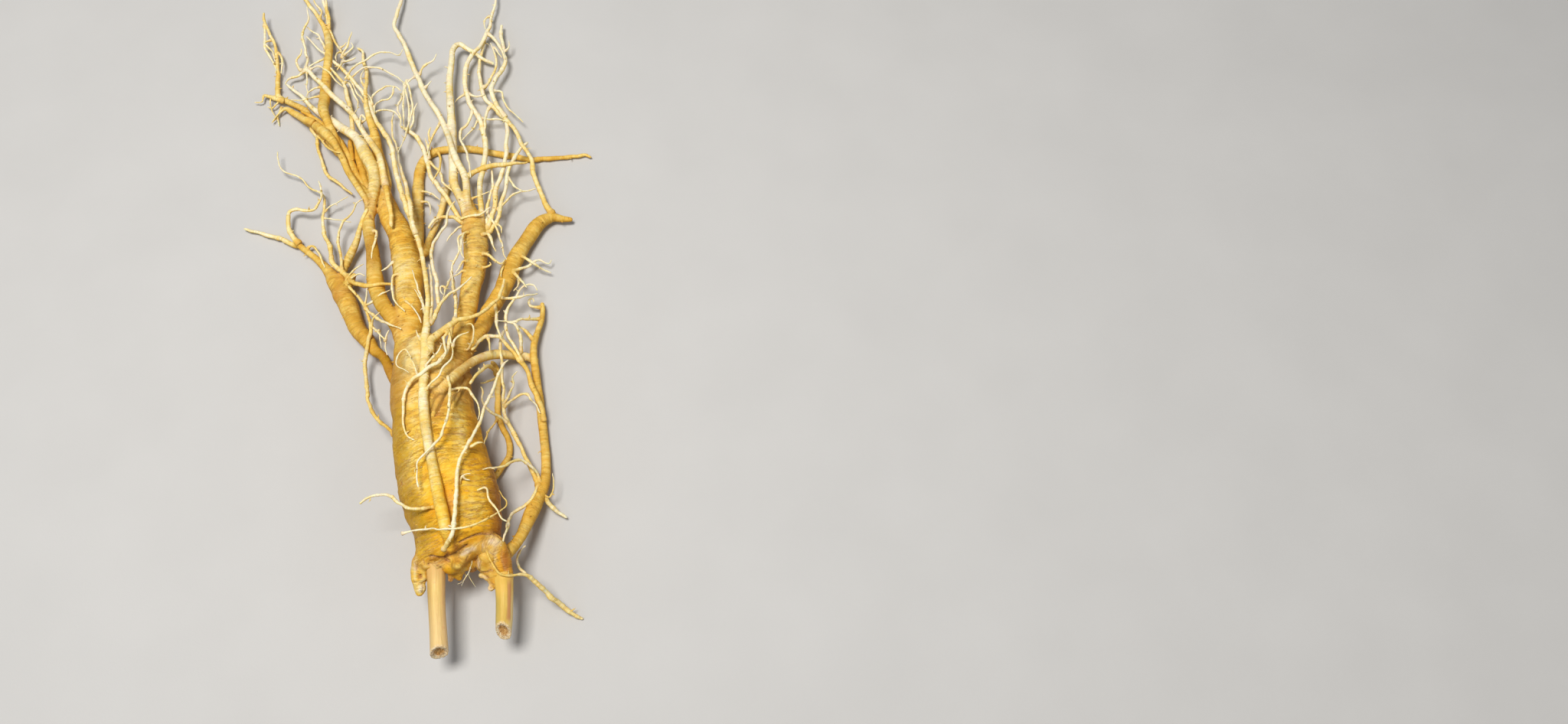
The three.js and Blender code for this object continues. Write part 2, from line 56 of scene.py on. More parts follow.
# ---------------------------------------------------------------- the strands
# name: (kind, colour tone at the base, tone at the tip, parent, points [x, y, z, radius] in mm)
# kind T: fleshy root, R: rootlet, F: hair root. tone 0 is pale cream, 1 is deep golden.
STRANDS = {
    "body": ("T", 0.44, 0.33, None, [[27.85, -150.02, 21.85, 7.92], [28.57, -148.32, 21.79, 12.01], [28.96, -147.48, 21.76, 13.79], [29.41, -146.67, 21.73, 15.07], [29.92, -145.91,
        21.7, 15.97], [30.43, -145.14, 21.66, 16.64], [31.26, -143.48, 21.59, 17.63], [31.57, -142.59, 21.56, 17.91], [32.02, -140.75, 21.47, 18.25], [32.25, -137.85, 21.34,
        18.81], [32.08, -133.9, 21.16, 19.45], [31.5, -128.96, 21.01, 20], [30.62, -125.04, 20.97, 20.59], [29.06, -120.24, 21.04, 21.49], [28.11, -117.44, 21.35, 21.8], [26.73,
        -113.66, 21.57, 22.02], [25.45, -109.75, 21.52, 21.97], [23.71, -103.68, 21.12, 21.57], [19.39, -84.03, 20.19, 19.93], [16.75, -71.1, 18.99, 18.59], [15.02, -59.05, 18.09,
        17.45], [14.16, -54.66, 17.82, 16.55], [13.36, -51.38, 17.62, 15.52], [12.59, -48.07, 17.42, 14.03], [11.55, -43.64, 17.15, 11.54]]),
    "legA": ("T", 0.51, 0.35, "body", [[9.89, -66.17, 20.55, 10.92], [7, -55.09, 19.2, 9.27], [5.73, -49.46, 18.53, 8.55], [4.35, -41.44, 17.58, 7.77], [3.41, -34.46, 16.74, 7.31],
        [2.67, -27.38, 15.81, 7.1], [1.89, -17.79, 14.48, 7.14], [0.77, -8.04, 13.14, 7.16], [-0.56, 1.8, 11.88, 7.18], [-1.89, 9.16, 11.12, 7.03], [-4.27, 17.62, 10.38, 6.47],
        [-7.31, 28.61, 9.51, 6.38], [-8.88, 32.07, 9.26, 6.28], [-10.97, 35.19, 9.07, 6.04], [-12.75, 38.5, 8.92, 5.68], [-14.39, 43.28, 8.76, 5.16], [-15.1, 45.7, 8.69, 4.62],
        [-16.31, 50.63, 8.55, 3.07]]),
    "RL": ("T", 0.5, 0.27, "body", [[23.45, -68.6, 20.55, 9.65], [25.6, -60.3, 19.12, 7.98], [26.49, -56.01, 18.41, 7.18], [27.53, -45.97, 16.84, 5.54], [27.79, -42.57, 16.35,
        5.2], [28.03, -39.16, 15.89, 4.99], [29.08, -25.45, 14.3, 4.76], [30.18, -15.07, 13.15, 4.85], [30.97, -3.26, 11.91, 5.22], [32.02, 4.98, 11.13, 5.6], [32.37, 10.99, 10.62,
        5.92], [32.36, 14.65, 10.32, 6.08], [32, 22.03, 9.75, 6.19], [31.67, 25.72, 9.51, 6.16], [31.14, 29.38, 9.34, 5.99], [30.54, 31.76, 9.28, 5.7], [29.77, 34.07, 9.26, 5.28],
        [27.57, 40.98, 9.36, 3.69], [25.94, 48.06, 9.55, 2.54]]),
    "Rarm": ("T", 0.48, 0.44, "body", [[27.53, -58.61, 19.55, 4.32], [29.44, -46.04, 16.04, 3.74], [31.12, -39.36, 14.31, 3.68], [32.61, -35.09, 13.29, 3.79], [33.94, -31.99,
        12.57, 3.86], [37.3, -26.3, 11.16, 3.91], [38.07, -24.14, 10.7, 3.98], [39.2, -19.57, 9.81, 4.2], [40, -17.4, 9.4, 4.25], [42.96, -11.27, 8.4, 4.16], [45.74, -5.04, 7.71,
        4.11], [47.62, 0.43, 7.21, 4.36], [48.87, 4.97, 6.82, 4.49], [52.51, 14.88, 5.98, 4.17], [57.81, 25.21, 5.28, 3.89], [60.59, 30.33, 5.02, 3.93], [62.58, 33.14, 4.88, 3.79],
        [64.12, 34.79, 4.78, 3.59], [65.91, 36.11, 4.68, 3.33], [68.89, 37.42, 4.54, 2.82], [71.01, 37.78, 4.44, 2.43], [75.24, 36.78, 4.24, 1.74], [79.55, 36.38, 4.05, 1.21]]),
    "LB": ("T", 0.58, 0.36, "body", [[2.55, -61.07, 15.55, 3.61], [-1.49, -56.42, 14.05, 3.15], [-3.76, -53.48, 13.18, 2.88], [-6.81, -48.09, 11.88, 2.54], [-10.15, -41.56, 10.67,
        2.37], [-11.72, -39.74, 10.33, 2.47], [-15.38, -36.75, 9.68, 2.89], [-19.68, -30.85, 8.74, 3.77], [-22.04, -28.08, 8.31, 4.03], [-24.39, -25.3, 7.9, 4.12], [-26.16, -22.09,
        7.52, 4.27], [-30.64, -11.95, 6.48, 4.76], [-35.05, -3.04, 5.62, 4.83], [-36.97, 0.16, 5.32, 4.63], [-39.07, 3.25, 5.03, 4.22], [-40.41, 5.36, 4.84, 3.81], [-42.32, 8.6,
        4.57, 3], [-44.58, 11.59, 4.3, 2.43], [-47.1, 14.33, 4.02, 2.04], [-50.63, 17.8, 3.66, 1.71], [-59.97, 25.85, 2.75, 1.57]]),
    "LBn": ("T", 0.26, 0.14, "LB", [[-35.53, -5.18, 7.55, 2.94], [-33.7, -2.46, 8.1, 2.86], [-32.42, -0.69, 8.46, 2.67], [-30.41, 1.89, 9, 2.07], [-28.82, 4.79, 9.55, 1.29]]),
    "LL": ("T", 0.49, -0.12, "legA", [[-0.21, -30.45, 17.55, 4.4], [-5.43, -22.89, 17.18, 4.05], [-8.96, -18.33, 16.94, 3.9], [-11.44, -14.37, 16.72, 3.9], [-13.9, -8.97, 16.38,
        3.94], [-15.56, -3.18, 15.91, 3.94], [-16.75, 2.78, 15.37, 3.9], [-19, 16.12, 14.14, 3.27], [-21.54, 27.11, 13.17, 3.22], [-22.09, 30.81, 12.92, 3.07], [-22.41, 35.71,
        12.69, 2.79], [-22.18, 41.71, 12.57, 2.7], [-21.24, 48.76, 12.55, 2.83], [-21.1, 56.04, 12.54, 3.01], [-21.85, 62.21, 12.49, 3.06], [-22.53, 64.67, 12.43, 3.1], [-23.51,
        67.05, 12.32, 3.19], [-25.32, 70.51, 12.09, 3.33], [-27.2, 74.03, 11.77, 3.32], [-30.84, 81.3, 10.98, 2.86], [-32.26, 83.62, 10.7, 2.69], [-33.94, 85.7, 10.42, 2.56],
        [-35.87, 87.44, 10.14, 2.45], [-40.97, 91.34, 9.45, 2.22], [-47.94, 97.28, 8.47, 2.05], [-52.1, 100.38, 7.91, 1.94], [-57.16, 104.6, 7.21, 1.5], [-60.01, 107.47, 6.79,
        1.2], [-64.18, 113.05, 6.09, 1.01], [-75.27, 122.97, 4.55, 0.63]]),
    "neck": ("T", 0.43, 0.37, "body", [[30.87, -148.93, 26.55, 4.49], [34.64, -144.97, 28.01, 4.77], [36.84, -143.3, 28.62, 4.76], [39.22, -141.89, 29.07, 4.71], [41.82, -140.88,
        29.33, 4.65], [43.63, -140.44, 29.4, 4.6], [45.49, -140.3, 29.38, 4.56], [47.35, -140.59, 29.27, 4.56], [49.11, -141.31, 29.08, 4.56], [49.89, -141.84, 28.96, 4.54],
        [51.18, -143.23, 28.64, 4.47], [52.18, -144.81, 28.25, 4.38], [52.91, -146.52, 27.8, 4.31], [53.36, -148.3, 27.32, 4.23], [54.32, -154.64, 25.55, 3.96]]),
    "knobL": ("T", 0.42, 0.32, "body", [[25.54, -149.37, 25.55, 3.02], [20.13, -146.62, 25.54, 3.03], [19.16, -146.46, 25.53, 3.07], [18.27, -146.74, 25.52, 3.15], [17.6, -147.39,
        25.49, 3.26], [16.65, -149.01, 25.38, 3.4], [15.78, -151.71, 25.06, 3.28], [15.64, -153.6, 24.75, 3.08], [16.02, -156.46, 24.24, 2.66], [16.41, -160.26, 23.55, 1.81]]),
    "knobC": ("T", 0.26, 0.2, "neck", [[48.44, -144.67, 29.55, 2.4], [47.2, -147.97, 29.99, 3.37], [46.85, -148.77, 30.1, 3.41], [46.04, -150.29, 30.32, 2.91]]),
    "knobD": ("T", 0.2, 0.12, "body", [[39.06, -142.49, 31.09, 2.4], [36.46, -146.55, 30.95, 2.57], [34.27, -149.64, 29.55, 2.22]]),
    "knobE": ("T", 0.3, 0.24, "body", [[30.43, -148.53, 24.55, 2.98], [31.76, -150.88, 23.26, 2.83], [32.2, -151.67, 22.84, 2.68], [32.63, -152.47, 22.41, 2.38], [33.48, -154.06,
        21.55, 1.49]]),
    "RA": ("T", 0.26, 0.13, "body", [[19.18, -79.92, 35.72, 2.42], [21.69, -72.31, 35.18, 2.45], [22.47, -70.5, 35.15, 2.46], [23.53, -68.95, 35.6, 2.45], [24.82, -67.64, 36.36,
        2.41], [26.11, -66.26, 36.7, 2.37], [26.71, -65.49, 36.58, 2.35], [27.83, -63.8, 35.91, 2.31], [29.42, -61.08, 34.25, 2.28], [30.97, -58.19, 31.89, 2.26], [34.65, -51.14,
        24.97, 2.2], [36.54, -48.49, 22.07, 2.21], [37.93, -46.92, 20.28, 2.23], [40.21, -44.91, 17.84, 2.25], [42.66, -43.29, 15.57, 2.27], [45.25, -42.12, 13.39, 2.28], [47.92,
        -41.5, 11.29, 2.3], [53.4, -40.77, 7.51, 2.27], [57.17, -40.6, 5.48, 2.2], [60.01, -40.95, 4.2, 2.1], [62.63, -42.14, 3.05, 1.73]]),
    "RD": ("T", 0.49, 0.35, "neck", [[53.35, -146.95, 25.82, 2.96], [54.4, -145.4, 24.86, 2.91], [56.79, -141.14, 20.91, 2.76], [58.27, -138.58, 18.89, 2.66], [59.56, -135.89,
        17.38, 2.7], [60.7, -133.08, 16.06, 2.84], [62.81, -126.12, 12.94, 3.34], [63.72, -123.09, 11.6, 3.42], [65.06, -119.09, 9.95, 3.28], [66.32, -115.06, 8.55, 3.18], [67.37,
        -112.09, 7.7, 3.04], [68.56, -109.2, 6.97, 2.76], [69.35, -103.88, 5.86, 2.43], [69.41, -100.59, 5.22, 2.33], [68.79, -91.74, 3.73, 2.24], [68.39, -87.36, 3.31, 2.21],
        [67.73, -81.98, 3.18, 2.23], [65.84, -67.04, 3.71, 2.07], [65.17, -61.79, 4.29, 2.05], [63.29, -48.26, 6.38, 2.07], [62.75, -43.94, 6.7, 1.95], [62.3, -39.45, 6.63, 1.78],
        [62.31, -35.98, 6.37, 1.68], [62.78, -32.54, 6.01, 1.6], [64.05, -26.88, 5.36, 1.52], [65.36, -22.43, 4.84, 1.54], [65.95, -18.93, 4.45, 1.47], [66.11, -15.33, 4.06, 1.32],
        [65.55, -10.47, 3.55, 0.97]]),
    "V": ("T", 0.24, -0.02, "body", [[32.67, -143.56, 37.71, 2.12], [32.17, -141.24, 39.56, 2.23], [31.78, -138.25, 42.6, 2.63], [31.54, -136.71, 43.88, 2.73], [31.22, -135.09,
        44.8, 2.75], [30.83, -133.38, 45.36, 2.76], [29.96, -129.77, 45.73, 2.76], [27.42, -119.46, 45.63, 2.76], [26.28, -114.65, 45.35, 2.62], [22.42, -99.66, 43.23, 2.26],
        [20.05, -89.59, 42.32, 2.34], [18.55, -81.37, 41.59, 2.43], [17.48, -73.01, 40.81, 2.34], [16.85, -64.4, 39.63, 2.23], [16.43, -55.48, 37.88, 2.42], [16.11, -50.93, 36.92,
        2.38], [15.11, -40.53, 34.74, 2.03], [15.26, -33.59, 33.3, 1.68], [14.71, -25.31, 31.65, 1.23], [14.02, -16.9, 30.02, 1.12], [13.27, -12.05, 29.1, 1.12], [7.1, 13.83,
        24.24, 1.21], [5.81, 17.51, 23.55, 1.21], [3.2, 23.51, 22.41, 1.22], [0.85, 29.66, 21.32, 1.26], [-6.61, 51.07, 17.86, 1.34], [-10.69, 65.5, 15.66, 1.28], [-13.39, 77.56,
        14, 1.27], [-15.8, 82.44, 13.41, 1.29], [-22.19, 92.65, 12.4, 1.31], [-24.15, 96.18, 12.1, 1.27], [-25.84, 99.91, 11.8, 1.19], [-27.74, 106.52, 11.29, 1.11], [-28.94,
        108.99, 11.09, 1.09], [-30.43, 111.27, 10.89, 1.07], [-36.05, 118.93, 10.19, 0.97], [-42.8, 127.51, 9.35, 0.94], [-48.36, 133.45, 8.69, 0.83], [-59, 143.94, 7.45, 0.54],
        [-66.15, 152.61, 6.55, 0.42]]),
    "M1": ("R", 0.27, 0.36, "legA", [[-1.46, 16.7, 8.55, 2.74], [0.44, 17.14, 7.81, 2.7], [1.29, 17.72, 7.45, 2.68], [1.73, 18.86, 7.08, 2.67], [1.86, 21.53, 6.36, 2.65], [1.11,
        31.08, 4.13, 2.71], [0.63, 35.08, 3.45, 2.77], [-0.01, 40.26, 2.9, 2.86], [-0.98, 52.86, 2.49, 2.93], [-1.1, 65.47, 2.32, 2.77], [-0.7, 69.23, 2.22, 2.67], [0.24, 72.81,
        2.15, 2.54], [1.72, 76.11, 2.08, 2.31], [3.08, 78, 2.04, 2.17], [3.93, 78.76, 2.02, 2.13], [6.84, 80.32, 1.96, 2.04], [10, 81.25, 1.9, 1.99], [14.37, 81.69, 1.83, 1.95],
        [22.12, 81.83, 1.75, 1.86], [25.46, 81.57, 1.74, 1.84], [29.89, 80.78, 1.72, 1.85], [40.9, 78.08, 1.69, 1.75], [49.76, 76.32, 1.66, 1.64], [55.22, 74.75, 1.65, 1.51],
        [57.44, 74.32, 1.64, 1.44], [59.66, 74.23, 1.64, 1.38], [66.29, 74.98, 1.62, 1.22], [77.45, 75.49, 1.59, 1.09], [83, 76.13, 1.57, 1], [86.27, 76.93, 1.56, 0.86], [87.38,
        76.8, 1.56, 0.8], [90.35, 74.92, 1.55, 0.62]]),
    "S6": ("R", 0.46, 0.08, "legA", [[-16.45, 52.47, 7.84, 2.46], [-16.35, 57.78, 7.11, 2.49], [-16.73, 60.49, 6.73, 2.48], [-18.78, 68.52, 5.67, 2.37], [-19.61, 71.11, 5.44,
        2.36], [-20.55, 73.45, 5.49, 2.43], [-21.52, 75.47, 5.99, 2.53], [-22.17, 77.38, 6.83, 2.56], [-23.28, 86.09, 11.21, 2.38], [-24.35, 89.85, 13.07, 2.15], [-25.12, 91.88,
        13.67, 1.98], [-26.34, 95.51, 13.78, 1.72], [-27.86, 100.92, 13.22, 1.38], [-28.7, 104.99, 12.91, 1.17], [-29.19, 109.09, 12.63, 1.05], [-29.55, 112.18, 11.93, 1], [-30.4,
        117.55, 9.79, 0.97], [-31.88, 127.24, 5.29, 1], [-32.64, 130.87, 3.91, 1], [-33.12, 132.51, 3.45, 0.97], [-34.17, 135.45, 2.96, 0.89], [-35.06, 138.18, 2.8, 0.81], [-35.97,
        143.72, 2.67, 0.75], [-36.53, 144.99, 2.64, 0.72], [-37.44, 145.95, 2.61, 0.66], [-39.53, 147.42, 2.55, 0.53]]),
    "S22": ("R", 0.28, 0.06, "legA", [[-1.06, 15.14, 7.55, 1.75], [2.88, 16.21, 6.79, 1.75], [4.79, 16.99, 6.41, 1.74], [5.61, 17.68, 6.22, 1.73], [6.16, 18.69, 6.03, 1.72], [6.41,
        19.9, 5.84, 1.71], [6.61, 25.01, 5.1, 1.71], [6.87, 26.23, 4.92, 1.71], [9.82, 35.54, 3.75, 1.72], [11.44, 41.42, 3.32, 1.73], [12.67, 48.75, 2.98, 1.74], [13.21, 55.02,
        2.74, 1.77], [13.59, 56.17, 2.69, 1.72], [14.19, 57.18, 2.65, 1.62], [15.63, 58.99, 2.55, 1.37]]),
    "S5": ("R", 0.52, 0.16, "LL", [[-20.96, 40, 11.94, 1.72], [-21.61, 41.97, 12.57, 1.67], [-22.67, 45.64, 14.39, 1.59], [-23.52, 47.75, 14.7, 1.56], [-24.14, 48.95, 14.51, 1.55],
        [-25.84, 51.54, 13.48, 1.55], [-31.25, 58.24, 9.42, 1.58], [-34.9, 64.28, 6.28, 1.57], [-37.06, 68.42, 4.98, 1.57], [-38.26, 70.92, 4.64, 1.57], [-39.81, 74.6, 4.43, 1.56],
        [-41.17, 78.06, 4.65, 1.57], [-41.98, 80.07, 5.26, 1.6], [-45.45, 88.02, 9.48, 1.84], [-47.23, 91.57, 11.16, 1.91], [-48.65, 94.75, 11.72, 2.07], [-50.23, 98.47, 11.55,
        2.38], [-51.29, 101.35, 10.94, 2.61], [-52.11, 104.64, 9.82, 2.77], [-52.54, 109.99, 7.44, 2.87], [-53.09, 113.67, 5.79, 2.87], [-53.55, 117.1, 4.58, 2.81], [-53.67,
        118.61, 4.3, 2.76], [-53.71, 119.95, 4.27, 2.7], [-53.57, 122.23, 4.82, 2.57], [-52.62, 128.2, 7.77, 2.24], [-51.89, 132.22, 9.65, 2.17], [-51.67, 134.51, 10.18, 2.14],
        [-51.67, 135.83, 10.21, 2.13], [-51.85, 138.88, 9.68, 2.1], [-52.34, 142.48, 8.4, 2.08], [-53.69, 148.32, 5.92, 2.03], [-54.74, 151.91, 4.7, 1.99], [-55.23, 153.5, 4.36,
        1.96], [-56.68, 157.58, 4.18, 1.68], [-58.41, 161.14, 4.44, 1.26], [-61.87, 166.62, 4.92, 1.06], [-65.33, 172.14, 5.4, 1.06], [-70.53, 179.59, 6.07, 0.84], [-71.86, 181.86,
        6.26, 0.72], [-73.61, 185.47, 6.55, 0.52]]),
    "S3": ("R", 0.42, 0.18, "LL", [[-22.15, 37.7, 11.31, 1.52], [-22.65, 39.68, 11.99, 1.52], [-22.83, 40.58, 12.51, 1.52], [-23.27, 42.93, 14.66, 1.52], [-23.8, 44.51, 15.92,
        1.53], [-24.75, 46.39, 16.45, 1.54], [-26.09, 48.66, 16.15, 1.54], [-27.67, 51.22, 15.26, 1.55], [-35.58, 64.02, 9.23, 1.56], [-37.04, 66.81, 8.27, 1.59], [-38.18, 69.46,
        7.75, 1.64], [-39.64, 73.04, 7.68, 1.76], [-40.59, 75.08, 8.12, 1.83], [-41.94, 77.74, 9.33, 1.96], [-44.42, 81.77, 11.63, 2.23], [-45.61, 83.38, 12.36, 2.34], [-46.32,
        84.23, 12.56, 2.39], [-48.06, 86.16, 12.38, 2.46], [-50.21, 88.46, 11.36, 2.51], [-55.07, 93.73, 8.1, 2.48], [-58.82, 97.7, 5.57, 2.31], [-60.69, 100.7, 4.25, 2.11],
        [-61.9, 103.66, 3.49, 1.9], [-63.24, 106.16, 3.2, 1.74], [-64.14, 107.1, 3.15, 1.7], [-66.15, 108.57, 3.1, 1.67], [-76.66, 114.42, 3.06, 1.46], [-78.6, 115.93, 3.08, 1.43],
        [-79.19, 117.1, 3.1, 1.41], [-79.46, 118.39, 3.12, 1.39], [-80.27, 128.72, 3.57, 1.23], [-82.48, 145.1, 5.11, 0.81], [-83.57, 148.76, 5.5, 0.8], [-86.85, 155.65, 6.27,
        0.82], [-89.19, 161.63, 6.91, 0.75], [-89.82, 164.14, 7.17, 0.68], [-90.02, 167.99, 7.55, 0.58]]),
    "S3b": ("F", 0.34, 0.2, "S3", [[-54.05, 93.22, 8.35, 1.84], [-56.5, 94.92, 9.4, 1.84], [-58.53, 96.33, 9.29, 1.84], [-62.37, 98.8, 7.62, 1.85], [-67.44, 103, 5.05, 1.81],
        [-69.7, 104.77, 4.45, 1.73], [-73.92, 107.72, 4.05, 1.29], [-75.03, 107.7, 3.95, 1.08], [-76.73, 106.3, 3.71, 0.66], [-78.11, 104.55, 3.41, 0.53], [-81.09, 99.79, 2.55,
        0.47]]),
    "S3c": ("F", 0.2, 0.1, "S3", [[-74.32, 112.58, 3.34, 1.24], [-76.26, 112.89, 4.1, 1.26], [-78.34, 113.48, 4.49, 1.23], [-79.47, 113.99, 4.42, 1.19], [-85.61, 116.99, 3.09,
        0.79], [-86.72, 116.88, 2.97, 0.68], [-86.94, 115.68, 2.88, 0.59], [-86.89, 114.38, 2.82, 0.54], [-87.2, 113.21, 2.77, 0.48], [-88.24, 112.83, 2.71, 0.45], [-91.69, 112.99,
        2.55, 0.41]]),
    "S3d": ("F", 0.18, 0.08, "S3", [[-79.48, 116.53, 3.55, 0.39], [-81.6, 115.73, 3.55, 0.39], [-82.58, 115.15, 3.55, 0.38], [-83.08, 114.03, 3.55, 0.38], [-82.8, 111.3, 3.55,
        0.39], [-81.57, 107.28, 3.58, 0.39], [-80.35, 104.69, 3.72, 0.4], [-78.79, 102.17, 4.01, 0.4]]),
    "S3e": ("F", 0.2, 0.12, "S3", [[-57.4, 95.68, 6.01, 0.95], [-58.18, 94.93, 5.78, 0.85], [-58.6, 93.96, 5.53, 0.77], [-58.2, 92.94, 5.26, 0.75], [-56.38, 90.35, 4.3, 0.78],
        [-55.93, 89.38, 3.98, 0.78], [-55.72, 88.3, 3.68, 0.78], [-55.61, 84.88, 2.99, 0.8], [-55.24, 82.52, 2.7, 0.82], [-52.87, 76.74, 2.39, 0.86], [-50.09, 69.42, 2.57, 0.9],
        [-48.79, 67.11, 2.74, 0.93], [-47.11, 65.11, 2.94, 0.97], [-41.14, 60.41, 3.66, 0.99], [-34.64, 54.19, 4.55, 0.8]]),
    "S3f": ("F", 0.28, 0.2, "S3e", [[-56.15, 90.27, 4.17, 0.62], [-55.03, 89.43, 4.46, 0.61], [-53, 87.07, 5.3, 0.61], [-48.71, 81.35, 8.27, 0.61], [-46.26, 78.92, 9.8, 0.61],
        [-43.84, 77.07, 10.88, 0.62], [-42.7, 76.34, 11.18, 0.61], [-40.55, 75.24, 11.35, 0.5]]),
    "RG": ("R", 0.42, 0.3, "body", [[33.09, -108.48, 8.55, 1.65], [40.9, -105.32, 5.53, 1.69], [42.58, -104.38, 5.01, 1.67], [44.07, -103.12, 4.56, 1.6], [46.49, -99.91, 3.8,
        1.47], [48.35, -96.23, 3.14, 1.48], [50.03, -93.66, 2.71, 1.47], [50.5, -92.74, 2.58, 1.47], [51.03, -90.69, 2.33, 1.56], [51.1, -87.44, 2.05, 1.64], [50.19, -83.15, 1.82,
        1.47], [45.6, -73.17, 1.65, 1.48], [44.74, -69.99, 1.64, 1.48], [44.41, -66.72, 1.63, 1.48], [44.25, -60.18, 1.7, 1.49], [44.49, -52.64, 2.17, 1.52], [44.15, -48.37, 2.63,
        1.42], [43.17, -45.31, 3.02, 1.26], [42.03, -43.51, 3.28, 1.13], [40.56, -41.98, 3.55, 0.95]]),
    "LB4": ("R", 0.24, 0.16, "LB", [[-35.68, 2.94, 6.55, 1.83], [-35.44, 7.8, 6.12, 1.82], [-35.11, 10.19, 5.9, 1.85], [-33.84, 14.71, 5.54, 1.98], [-32.61, 17.82, 5.77, 2.04],
        [-31.66, 19.67, 6.41, 1.99], [-28.66, 24.83, 9.3, 1.64], [-27.03, 29.45, 11.75, 1.32], [-25.28, 34.05, 14.13, 1.14], [-23.97, 36.86, 15.17, 0.96], [-22.62, 39.81, 15.75,
        0.74]]),
    "LB2": ("R", 0.14, 0.06, "LBn", [[-29.71, 1.4, 9.55, 1.67], [-30.93, 3.52, 9.38, 1.49], [-34.55, 6.63, 9.05, 1.35], [-38.83, 10.93, 8.62, 1.34], [-39.56, 11.93, 8.54, 1.32],
        [-40.66, 14.18, 8.37, 1.24], [-41.79, 17.76, 8.11, 1.1], [-42.85, 22.66, 7.77, 1.04], [-43.81, 25, 7.59, 1.01], [-45.62, 28.37, 7.32, 0.96], [-46.76, 32.03, 7.04, 0.9],
        [-47.7, 38.32, 6.57, 0.81], [-47.69, 44.6, 6.1, 0.69], [-47.88, 47.14, 5.91, 0.65], [-48.53, 50.98, 5.63, 0.61], [-49.43, 53.43, 5.45, 0.58], [-51.12, 55.32, 5.29, 0.51],
        [-52.15, 55.96, 5.22, 0.49], [-54.3, 56.82, 5.11, 0.5], [-57.23, 58.91, 5.02, 0.48], [-60.15, 62.85, 5.13, 0.45], [-60.98, 63.7, 5.2, 0.44], [-62.92, 64.84, 5.36, 0.42],
        [-69.96, 67.59, 6.16, 0.4], [-71.68, 69.05, 6.41, 0.39], [-72.98, 71.01, 6.66, 0.37], [-73.39, 72.13, 6.79, 0.36], [-74.02, 75.66, 7.17, 0.33], [-74.2, 79.22, 7.55, 0.3]]),
    "LB1a": ("R", 0.1, 0.03, "LB", [[-57.91, 24.47, 2.75, 1.57], [-59.88, 25.84, 2.66, 1.39], [-64.24, 26.92, 2.47, 1.19], [-69.3, 30.05, 2.27, 1.2], [-71.42, 30.99, 2.22, 1.16],
        [-76.78, 32.67, 2.2, 1.01], [-82.02, 34.67, 2.32, 0.79], [-86.29, 35.43, 2.45, 0.73], [-89.44, 36.52, 2.55, 0.5]]),
    "LB1b": ("R", 0.08, 0.02, "LB", [[-58.18, 24.71, 3.19, 1.46], [-61.76, 28.55, 4.42, 1.37], [-63.5, 31.24, 5.17, 1.24], [-64.42, 33.21, 5.64, 1.15], [-65, 35.33, 6.08, 1.1],
        [-65.27, 37.54, 6.49, 1.11], [-65.15, 42.01, 7.17, 1.01], [-64.76, 43.02, 7.32, 0.95], [-63.94, 43.68, 7.45, 0.91], [-62.94, 44.01, 7.58, 0.9], [-60.79, 44.2, 7.8, 0.87],
        [-57.47, 43.53, 8.07, 0.81], [-54.2, 43.4, 8.31, 0.74], [-52.14, 43.85, 8.46, 0.67], [-51.33, 44.53, 8.53, 0.64], [-49.4, 48.52, 8.83, 0.55], [-48.8, 50.72, 8.97, 0.56],
        [-48.89, 53.09, 9.12, 0.53], [-49.36, 55.46, 9.26, 0.48], [-50.93, 60.05, 9.55, 0.38]]),
    "RE": ("R", 0.16, 0.1, "RD", [[67.45, -111.61, 8.55, 1.26], [64.3, -103.74, 8.22, 1.08], [61.76, -97.85, 7.98, 1.16], [59.86, -93.99, 7.83, 0.9], [57.14, -88.12, 7.65, 1.01],
        [54.13, -82.38, 7.57, 1.1], [49.82, -73.62, 7.55, 0.91], [48.72, -70.54, 7.55, 0.91], [48.04, -65.16, 7.55, 0.82], [48.25, -58.67, 7.6, 0.74], [47.44, -53.37, 8, 0.74],
        [47.39, -52.37, 8.29, 0.74], [47.5, -50.53, 9.28, 0.74], [48.04, -45.56, 13.63, 0.74], [47.84, -43.7, 14.5, 0.74], [47.66, -42.62, 14.55, 0.74], [47.22, -40.08, 13.66,
        0.74], [46.47, -35.69, 10.98, 0.75], [46.28, -32.97, 9.78, 0.75], [46.63, -30.66, 9.42, 0.72], [47.65, -27.58, 9.55, 0.66]]),
    "CR4": ("R", 0.16, 0.06, "neck", [[46.96, -143.19, 32.92, 0.5], [49.81, -149.37, 32.93, 0.5], [51.11, -151.89, 32.64, 0.49], [52.67, -154.11, 31.97, 0.49], [54.02, -155.22,
        31.3, 0.5], [55.66, -155.65, 30.45, 0.55], [57.33, -155.62, 29.38, 0.6], [60.53, -154.65, 26.57, 0.65], [62.14, -154.39, 25.02, 0.7], [63.74, -154.55, 23.48, 0.78], [65.23,
        -155.13, 21.95, 0.89], [68.29, -157.71, 18.14, 1.2], [73.56, -162.79, 11.17, 1.2], [78.23, -166.33, 5.93, 1.21], [79.6, -167.45, 4.82, 1.16], [81.75, -169.14, 3.54, 1.04],
        [87.49, -172.18, 0.95, 0.52]]),
    "S8": ("F", 0.18, 0.08, "LL", [[-35, 86.86, 8.8, 0.97], [-35.34, 89.79, 10.21, 0.96], [-35.53, 90.95, 10.38, 0.96], [-35.78, 92.29, 10.29, 0.97], [-36.4, 95.49, 9.3, 1.02],
        [-38, 102.58, 6.29, 1.17], [-38.95, 105.78, 5.31, 1.2], [-40.82, 111.28, 4.64, 1.21], [-41.62, 113.87, 4.59, 1.19], [-42.2, 116.34, 4.79, 1.17], [-42.67, 118.56, 5.38,
        1.14], [-43.66, 121.4, 6.72, 1.11], [-45.37, 123.68, 8.17, 1.09], [-49.88, 128.52, 11.48, 0.82]]),
